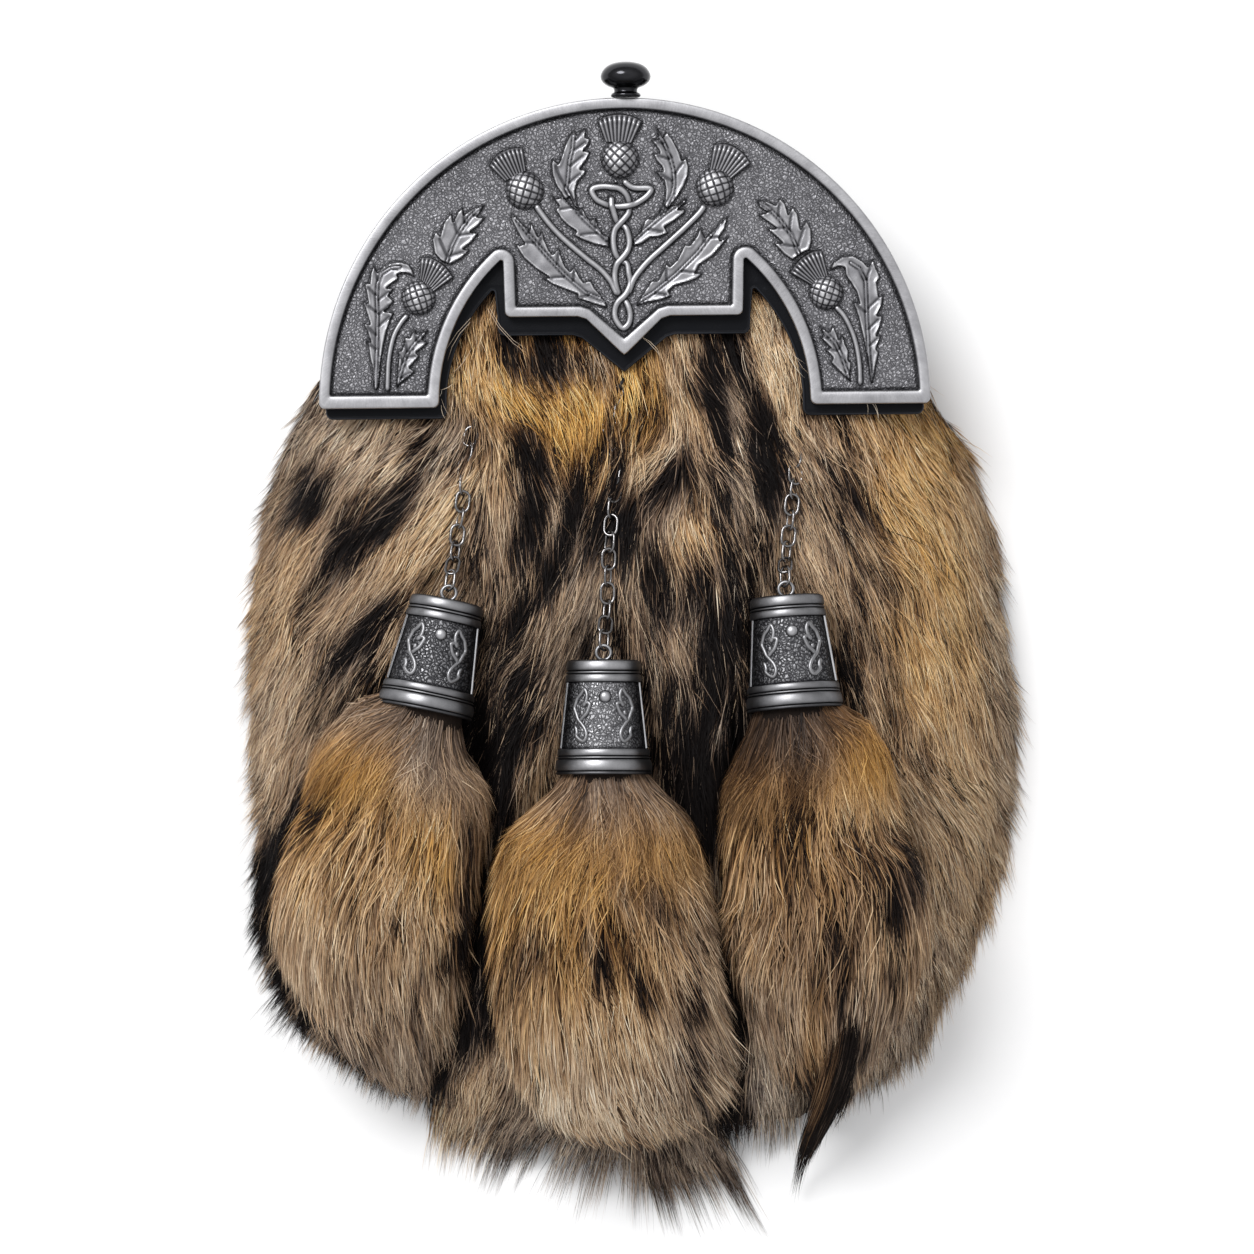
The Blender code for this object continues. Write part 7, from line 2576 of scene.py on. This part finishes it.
def tassel_core(name):
    form = TasselForm(name)
    # the tail below the right tassel is hair alone
    s = np.linspace(0.5, form.length * (0.72 if name == "right" else 0.90), 26)
    a = np.arange(28) * 2 * math.pi / 28
    ss, aa = np.meshgrid(s, a, indexing="ij")
    shrink = 0.80 - 0.25 * smoothstep(0.75, 1.0, ss / s[-1] * 0.9)
    shrink = np.where(ss < 10.0, 0.93, shrink)
    points = form.point(ss, aa, shrink)
    pile = Pile()
    quads = grid_faces(26, 28, wrap_cols=True)
    first = np.array([[0, i, i + 1] for i in range(1, 27)])
    verts = points.reshape(-1, 3)
    tone, _ = patch_lookup(TASSEL_PATCHES[name], verts[:, 0], verts[:, 1])
    # the core takes the underfur finish, partly painted shade between the tassel's
    # hairs
    pile.add(verts, quads[:, ::-1],
             np.vstack([first, first[:, ::-1] + 25 * 28]), tone * 0.7)
    pile.make("tassel_core_" + name, UNDERFUR, "fur", ("tassel_" + name,))
    return form


def tassel_hair(name, form, count, seed):
    rng = np.random.default_rng(seed)
    n = count
    total = form.length
    # many roots are gathered in the bell's mouth, the rest spread below
    u = rng.uniform(0, 1, n)
    s0 = np.where(rng.uniform(0, 1, n) < 0.28, rng.uniform(3.0, 11.0, n),
                  8.0 + (total * 0.93 - 8.0) * u ** 0.92)
    angle = rng.uniform(0, 2 * math.pi, n)
    top = rng.uniform(0, 1, n) < 0.66
    angle = np.where(top, rng.uniform(-0.12, math.pi + 0.12, n), angle)
    layer = rng.uniform(0, 1, n)
    stray = rng.uniform(0, 1, n) < 0.09
    length = rng.uniform(15.0, 26.0, n)
    length = np.where(s0 < 11.0, rng.uniform(16.0, 30.0, n), length)
    girth = 22.0
    cx, cy, c1, c2 = nearest_centre(s0, angle * girth, 3.0, 401 + seed)
    lx, ly, l1, l2 = nearest_centre(s0, angle * girth, 8.0, 411 + seed)
    lower = smoothstep(0.50, 0.85, s0 / total)
    drift = (rng.normal(0, 0.045, n) + (c1 - 0.5) * 0.22 + (l1 - 0.5) * 0.28
             + stray * rng.normal(0, 0.2, n)
             + lower * rng.normal(0, 0.07, n))
    bend = rng.normal(0, 0.10, n)
    gather_c = (cy / girth - angle) * 0.66 * ~stray
    gather_l = (ly / girth - angle) * 0.18 * ~stray
    stations = 4
    t = np.linspace(0, 1, stations)[None, :]
    s = s0[:, None] + length[:, None] * t
    half = form.at(s0, form.data)[:, 3]
    a = (angle[:, None] + (gather_c + gather_l)[:, None] * t ** 1.3
         - (drift[:, None] * t + bend[:, None] * t ** 2)
         * (length / np.maximum(half, 8.0))[:, None])
    root_ratio = 0.86 - 0.06 * layer
    inside_bell = s < 9.5
    tip_ratio = 0.92 + 0.15 * layer + 0.06 * stray + (l1 - 0.5) * 0.09 \
        + (c1 - 0.5) * 0.05
    ratio = root_ratio[:, None] + (tip_ratio - root_ratio)[:, None] * t ** 0.8
    ratio = np.where(inside_bell, np.minimum(ratio, 0.97), ratio)
    points = form.point(s, a, ratio)
    # hair keeps its first direction below instead of closing to the end
    first = form.point(s0 + 1.5, angle, root_ratio + 0.01)
    straight = first - points[:, 0]
    straight /= np.linalg.norm(straight, axis=1)[:, None]
    spin = drift[:, None, None] * np.stack(
        [-straight[:, 1], straight[:, 0], 0 * straight[:, 0]], 1)[:, None]
    line = points[:, :1] + (straight[:, None] + spin * t[..., None]) \
        * (length[:, None] * t)[..., None]
    keep = (0.92 * smoothstep(0.38, 0.70, s0 / total))[:, None, None] \
        * np.ones_like(t)[..., None]
    points = points * (1 - keep) + line * keep
    down = smoothstep(0.55, 1.0, s / total)
    points[..., 2] -= 0.030 * (length[:, None] * t) ** 1.25 * down
    points[..., 2] = np.maximum(points[..., 2], 0.3)
    edge = resample(catmull(sheet(TASSEL_OUTLINES[name]), 4), 1.0,
                    closed=True)
    x0, y0 = edge.min(0) - 20.0
    gx, gy = np.meshgrid(np.arange(x0, edge[:, 0].max() + 20.0, 1.0),
                         np.arange(y0, edge[:, 1].max() + 20.0, 1.0))
    away = Lookup(outline_distance(edge, np.stack([gx.ravel(), gy.ravel()], 1))
                  .reshape(gx.shape), x0, y0, 1.0)
    fray = np.abs(rng.normal(0.0, 1.3, n)) \
        + lower * rng.normal(0.2, 1.6, n) \
        + rng.uniform(1.0, 6.0, n) * (rng.uniform(0, 1, n) < 0.07)
    share, good = fit_inside(points, away, fray, length)
    good |= s0 < 12.0
    share = np.where(s0 < 12.0, np.maximum(share, 0.5), share)
    points = shorten(points, share)
    base = np.where(rng.uniform(0, 1, n) < 0.5, 0.35, 0.28)
    base = base * (1.0 - 0.30 * smoothstep(17.0, 7.0, s0))
    widths = base[:, None] * np.array([0.85, 1.0, 0.76, 0.0])[None]
    normals = form.outward(s, a)
    sample = points[:, 2] * 0.5 + points[:, 3] * 0.5
    patches = TASSEL_PATCHES[name]
    at_tone, at_warm = patch_lookup(patches, sample[:, 0], sample[:, 1])
    here, here_warm = patch_lookup(patches, points[..., 0], points[..., 1])
    push = (c2 - 0.5) * 0.80 + (l2 - 0.5) * 0.50 + rng.normal(0, 0.17, n)
    lightness = 0.90 + 0.25 * (l2 - 0.5)
    streak = (0.30 * LOCKS(sample[:, 0], sample[:, 1])
              + 0.32 * WISPS(sample[:, 0], sample[:, 1]))
    push = push + streak
    tone = (two_toned(at_tone, push, 0.05)[:, None] * 0.66
            + two_toned(here, push[:, None], 0.05) * 0.34)
    tone = tone * (lightness + 0.05 + 0.05 * streak
                   + rng.normal(0, 0.15, n))[:, None]
    ink = rng.uniform(0, 1, n) < 0.06
    tone[ink] *= 0.35
    pale = rng.uniform(0, 1, n) < 0.04
    tone[pale] = tone[pale] * 0.5 + 0.40
    # tone rises from root to tip here too: partly the hair's own banding, partly
    # painted shade where the roots lie under other hair
    tone = tone * np.array([0.26, 0.76, 1.06, 1.16])[None]
    calm = (0.66 * smoothstep(17.0, 7.0, s0))[:, None]
    tone = tone * (1 - calm) + calm * here \
        * (1.0 + rng.normal(0, 0.24, n) + 0.16 * streak)[:, None] \
        * np.array([0.60, 0.90, 1.02, 1.08])[None]
    near_bell = s0 < 11.0
    tone[near_bell, 0] *= 1.6
    dark_tip = rng.uniform(0, 1, n) < 0.16
    tone[dark_tip, 3] *= 0.5
    warm = at_warm[:, None] * 0.3 + here_warm * 0.7 \
        + (rng.normal(0, 0.05, n) + (c1 - 0.5) * 0.14)[:, None]
    warm = np.where(tone[:, 2:3] < 0.16, warm * 0.5, warm)
    roll = rng.normal(0, 0.45, n)
    return hair_mesh("tassel_hair_" + name, points[good], widths[good],
                     normals[good], roll[good], tone[good], warm[good])


TAIL = ((850, 975, 12.0), (848, 1020, 13.0), (842, 1060, 13.0),
        (832, 1100, 12.5), (817, 1140, 11.0), (806, 1172, 9.0),
        (800, 1200, 7.5))


def tail_hair(count, seed):
    """The black tail of long hair at the right tassel's end."""
    rng = np.random.default_rng(seed)
    rows_ = np.array(TAIL)
    route = catmull(np.column_stack([sheet(rows_[:, :2]), rows_[:, 2] / 4.0]),
                    8)
    z = np.interp(np.linspace(0, 1, len(route)),
                  (0.0, 0.2, 0.4, 0.6, 0.8, 1.0),
                  (43.0, 39.2, 32.2, 21.5, 11.5, 4.5))
    d = np.hypot(*np.diff(route[:, :2], axis=0).T)
    s = np.concatenate([[0.0], np.cumsum(d)]) / d.sum()
    # the tail parts into pointed locks of their own lengths
    locks = 17
    middle = np.linspace(-1.0, 1.0, locks) + rng.normal(0, 0.07, locks)
    ends = 1.15 - 0.24 * np.abs(middle + 0.15) ** 1.3 \
        - rng.uniform(0.0, 0.15, locks)
    own = rng.integers(0, locks, count)
    start = -0.06 + 0.74 * rng.beta(1.7, 1.25, count)
    stop = np.minimum(start + rng.uniform(0.24, 0.50, count),
                      ends[own] + rng.normal(-0.02, 0.050, count))
    start = np.minimum(start, stop - 0.18)
    # a few hairs stray from the locks and run past them
    stray = rng.uniform(0, 1, count) < 0.09
    stop = np.where(stray, stop + rng.uniform(0.02, 0.07, count), stop)
    t = np.linspace(0, 1, 4)[None]
    at = start[:, None] + (stop - start)[:, None] * t
    close = smoothstep(-0.30, 0.0, at - ends[own][:, None])
    off = middle[own][:, None] \
        + rng.normal(0, 0.22, count)[:, None] * (1.0 - 0.74 * close) \
        + rng.normal(0, 0.06, count)[:, None] * t \
        + np.where(stray, rng.normal(0, 0.55, count), 0.0)[:, None] * t ** 2
    deep = rng.uniform(0, 1, count)[:, None]
    inside = np.clip(at, 0.0, 1.0)
    past = (at - inside) * d.sum()
    wide = np.interp(inside, s, route[:, 2]) \
        * (1.0 - 0.22 * smoothstep(0.45, 0.95, at))
    cx = np.interp(inside, s, route[:, 0]) - 0.2 * past
    cy = np.interp(inside, s, route[:, 1]) - past
    cz = np.interp(inside, s, z)
    px = cx + off * wide
    pz = cz - deep * wide * 0.55 - off ** 2 * wide * 0.4 \
        - 3.2 * (1.0 - t) ** 1.5
    points = np.stack([px, cy, np.maximum(pz, 0.3)], -1)
    widths = rng.uniform(0.11, 0.20, count)[:, None] \
        * np.array([0.5, 1.0, 0.70, 0.0])[None]
    tone = rng.uniform(0.015, 0.10, count)
    brown = (off[:, 0] < -0.25) & (rng.uniform(0, 1, count) < 0.5) \
        & (start < 0.45)
    tone = np.where(brown, rng.uniform(0.28, 0.46, count), tone)
    tone[rng.uniform(0, 1, count) < 0.05] = 0.30
    tone = tone[:, None] * np.array([0.6, 0.9, 1.1, 1.2])[None]
    warm = np.where(brown, 0.50, 0.20)
    normals = np.zeros((count, 4, 3))
    normals[..., 2] = 1.0
    return hair_mesh("tassel_tail_right", points, widths, normals,
                     rng.normal(0, 0.7, count), tone, warm)


# Loose locks of long hair past the coat's lower end: where a lock starts and
# ends on the sheet, half its width at both, its bow, how many hairs, how
# light and how warm.
FANS = (
    ((450, 1092), (433, 1166), 15, 12, -3, 120, 0.66, 0.46),
    ((472, 1100), (454, 1172), 16, 14, -3, 150, 0.62, 0.34),
    ((502, 1108), (476, 1180), 15, 16, -4, 140, 0.50, 0.10),
    ((532, 1116), (494, 1188), 13, 11, -6, 140, 0.34, 0.12),
    ((552, 1122), (514, 1188), 12, 13, -5, 90, 0.44, 0.10),
    ((590, 1126), (556, 1202), 16, 16, -4, 130, 0.48, 0.10),
    ((614, 1128), (590, 1214), 14, 16, -2, 110, 0.42, 0.12),
    ((632, 1128), (636, 1220), 12, 14, 2, 120, 0.46, 0.14),
    ((640, 1130), (670, 1229), 15, 10, 3, 180, 0.32, 0.18),
    ((654, 1130), (698, 1222), 12, 10, 4, 130, 0.38, 0.18),
    ((670, 1128), (720, 1214), 10, 10, 4, 110, 0.46, 0.16),
    ((686, 1124), (750, 1226), 11, 9, 5, 150, 0.32, 0.16),
    ((700, 1122), (742, 1196), 10, 12, 3, 70, 0.44, 0.12),
    ((737, 1100), (744, 1150), 14, 11, 0, 110, 0.08, 0.2),
    ((772, 1098), (776, 1162), 22, 24, 2, 120, 0.50, 0.10),
    ((868, 1070), (874, 1114), 20, 24, 2, 60, 0.34, 0.10),
    ((820, 1090), (824, 1134), 18, 18, 2, 60, 0.34, 0.10),
    ((392, 1072), (380, 1112), 22, 22, -2, 70, 0.22, 0.10),
    ((300, 1000), (268, 1040), 22, 24, -2, 60, 0.14, 0.10),
)


def loose_locks():
    rng = np.random.default_rng(91)
    t = np.linspace(0.0, 1.0, 4)[None]
    made, widths, tones, warms = [], [], [], []
    for first, last, wide0, wide1, bow, count, light, warm in FANS:
        a, b = sheet((first, last))
        b = a + 1.15 * (b - a)
        way = (b - a) / np.hypot(*(b - a))
        side = np.array([-way[1], way[0]])
        part = rng.uniform(-1.0, 1.0, count)
        strand = np.round(part * 3.5) / 3.5
        reach = rng.uniform(0.60, 1.02, count) \
            * (1.0 - 0.14 * np.abs(strand)) \
            * (1.0 + 0.06 * np.sin(strand * 9.0 + bow))
        fly = rng.uniform(0, 1, count) < 0.20
        reach = np.where(fly, rng.uniform(0.96, 1.20, count), reach)
        ends = (0.26 * part + 0.74 * strand + rng.normal(0, 0.09, count)
                + np.where(fly, rng.normal(0, 0.28, count), 0.0)) \
            * wide1 / 4.0
        off = part[:, None] * wide0 / 4.0 * (1 - t) + ends[:, None] * t \
            + bow / 4.0 * np.sin(math.pi * t) \
            + rng.normal(0, 0.55, count)[:, None] * t ** 2
        along = (np.hypot(*(b - a)) * reach)[:, None] * t \
            + rng.normal(0, 2.0, count)[:, None] * (1 - t)
        x = a[0] + way[0] * along + side[0] * off
        y = a[1] + way[1] * along + side[1] * off
        lift = rng.uniform(0.2, 1.6, count)[:, None]
        z = HEIGHT(x, y) * 0.92 + lift * (1.0 - 0.5 * t) \
            - 2.0 * (1.0 - t) ** 2
        made.append(np.stack([x, np.maximum(y, -157.5),
                              np.maximum(z, 0.25)], -1))
        thin = np.where(fly, 0.66, 1.0)
        widths.append((rng.uniform(0.13, 0.22, count) * thin)[:, None]
                      * np.array([0.7, 1.0, 0.76, 0.0])[None])
        tone = 1.12 * light * (1.0 + rng.normal(0, 0.30, count))
        dark = rng.uniform(0, 1, count) < 0.30
        tone = np.where(dark, tone * 0.30, tone)
        tones.append(tone[:, None] * np.array([0.40, 0.95, 1.10, 0.85])[None])
        warms.append(np.full(count, warm) + rng.normal(0, 0.04, count))
    points = np.concatenate(made)
    n = len(points)
    normals = np.zeros((n, 4, 3))
    normals[..., 2] = 1.0
    return hair_mesh("fur_loose_locks", points, np.concatenate(widths),
                     normals, rng.normal(0, 0.5, n), np.concatenate(tones),
                     np.concatenate(warms))


# Single long pale hairs that lie over the leather and the chains' ends: two
# ends on the sheet, and how far the middle bows.
WIRY = (
    ((487, 308), (531, 356), 5.0), ((470, 322), (447, 362), 4.0),
    ((452, 384), (438, 390), -1.5), ((441, 405), (446, 420), 1.5),
    ((641, 336), (662, 357), -3.0), ((779, 332), (806, 364), 4.0),
    ((786, 344), (805, 378), 3.5), ((864, 394), (868, 416), -2.0),
    ((872, 402), (879, 420), -1.5), ((466, 356), (452, 372), -2.0),
    ((742, 352), (748, 380), 2.5), ((600, 352), (612, 378), 2.0),
)


def wiry_hairs():
    rng = np.random.default_rng(77)
    made, widths = [], []
    for a, b, bow in WIRY:
        for copy in range(2):
            ends = sheet((a, b)) + rng.normal(0, 1.2 * copy, (2, 2))
            t = np.linspace(0, 1, 4)
            line = ends[0] + (ends[1] - ends[0]) * t[:, None]
            d = ends[1] - ends[0]
            side = np.array([d[1], -d[0]]) / np.hypot(*d)
            line = line + side * (np.sin(math.pi * t) * bow / 4.0)[:, None]
            away = AWAY_AT(line[:, 0], line[:, 1])
            z = np.where(away < 0.4, 34.35 + 0.25 * np.sin(math.pi * t),
                         HEIGHT(line[:, 0], line[:, 1]) + 2.6)
            z = np.maximum(z, np.interp(t, (0, 1), (z[0], z[-1])))
            made.append(np.column_stack([line, z]))
            widths.append((0.12 - 0.03 * copy) * np.array([0.8, 1.0, 0.8, 0.0]))
    n = len(made)
    tone = np.full((n, 4), 0.86) * rng.uniform(0.75, 1.1, n)[:, None]
    normals = np.zeros((n, 4, 3))
    normals[..., 2] = 1.0
    return hair_mesh("fur_wiry_hairs", np.array(made), np.array(widths),
                     normals, np.zeros(n), tone, np.full(n, 0.15))


underfur()
BODY = (("fur_coat_a", 34000, 11, "coat"), ("fur_coat_b", 50500, 12, "short"),
        ("fur_guard", 27500, 13, "guard"))
for _args in BODY:
    body_hair(*_args)
for _number, (_name, _count) in enumerate((("left", 12000), ("centre", 15000),
                                           ("right", 12000))):
    tassel_hair(_name, tassel_core(_name), _count, 21 + _number)
tail_hair(1150, 31)
loose_locks()
wiry_hairs()


# ============================================================ light, camera ==
def area_light(name, location, target, size, watts, colour=(1, 1, 1)):
    data = bpy.data.lights.new(name, 'AREA')
    data.shape = 'DISK'
    data.size = size
    data.energy = watts
    data.color = colour
    obj = bpy.data.objects.new(name, data)
    bpy.context.scene.collection.objects.link(obj)
    obj.location = location
    aim = Vector(target) - Vector(location)
    obj.rotation_euler = aim.to_track_quat('-Z', 'Y').to_euler()
    return obj


def build_stage():
    scene = bpy.context.scene
    mesh = bpy.data.meshes.new("floor")
    mesh.from_pydata([(-6, -6, 0), (6, -6, 0), (6, 6, 0), (-6, 6, 0)], [],
                     [(0, 1, 2, 3)])
    floor = bpy.data.objects.new("floor", mesh)
    scene.collection.objects.link(floor)
    f = Finish("paper")
    place_at = f.position()
    grain = f.noise(place_at, "Object", 300.0, 2.0)
    colour = f.ramp(grain, "Fac", ((0.0, 0.945), (1.0, 0.96)))
    f.link(colour, "Color", f.shader, "Base Color")
    f.shader.inputs["Roughness"].default_value = 0.9
    f.shader.inputs["Specular IOR Level"].default_value = 0.1
    mesh.materials.append(f.mat)

    world = bpy.data.worlds.new("studio")
    scene.world = world
    world.use_nodes = True
    tree = world.node_tree
    back = tree.nodes["Background"]
    where = tree.nodes.new("ShaderNodeTexCoord")
    split = tree.nodes.new("ShaderNodeSeparateXYZ")
    tree.links.new(where.outputs["Generated"], split.inputs[0])
    ramp = tree.nodes.new("ShaderNodeValToRGB")
    tree.links.new(split.outputs["Z"], ramp.inputs[0])
    stops = ((0.0, 0.52), (0.30, 0.50), (0.55, 0.78), (0.8, 1.0), (1.0, 0.92))
    while len(ramp.color_ramp.elements) < len(stops):
        ramp.color_ramp.elements.new(0.5)
    for element, (position, value) in zip(ramp.color_ramp.elements, stops):
        element.position = position
        element.color = (value, value, value * 1.01, 1.0)
    tree.links.new(ramp.outputs["Color"], back.inputs["Color"])
    back.inputs["Strength"].default_value = 0.84

    area_light("key", (-0.78, 1.25, 1.75), (0, 0, 0), 1.15, 41.0)
    scene.view_settings.view_transform = 'Standard'

    data = bpy.data.cameras.new("camera")
    camera = bpy.data.objects.new("camera", data)
    scene.collection.objects.link(camera)
    height = 1.5
    data.sensor_width = 36.0
    data.lens = 36.0 * (height - 0.036) / 0.3135
    data.clip_start, data.clip_end = 0.05, 20.0
    camera.location = (0.0, 0.0, height)
    camera.rotation_euler = (0.0, 0.0, math.radians(-0.565))
    scene.camera = camera


build_stage()
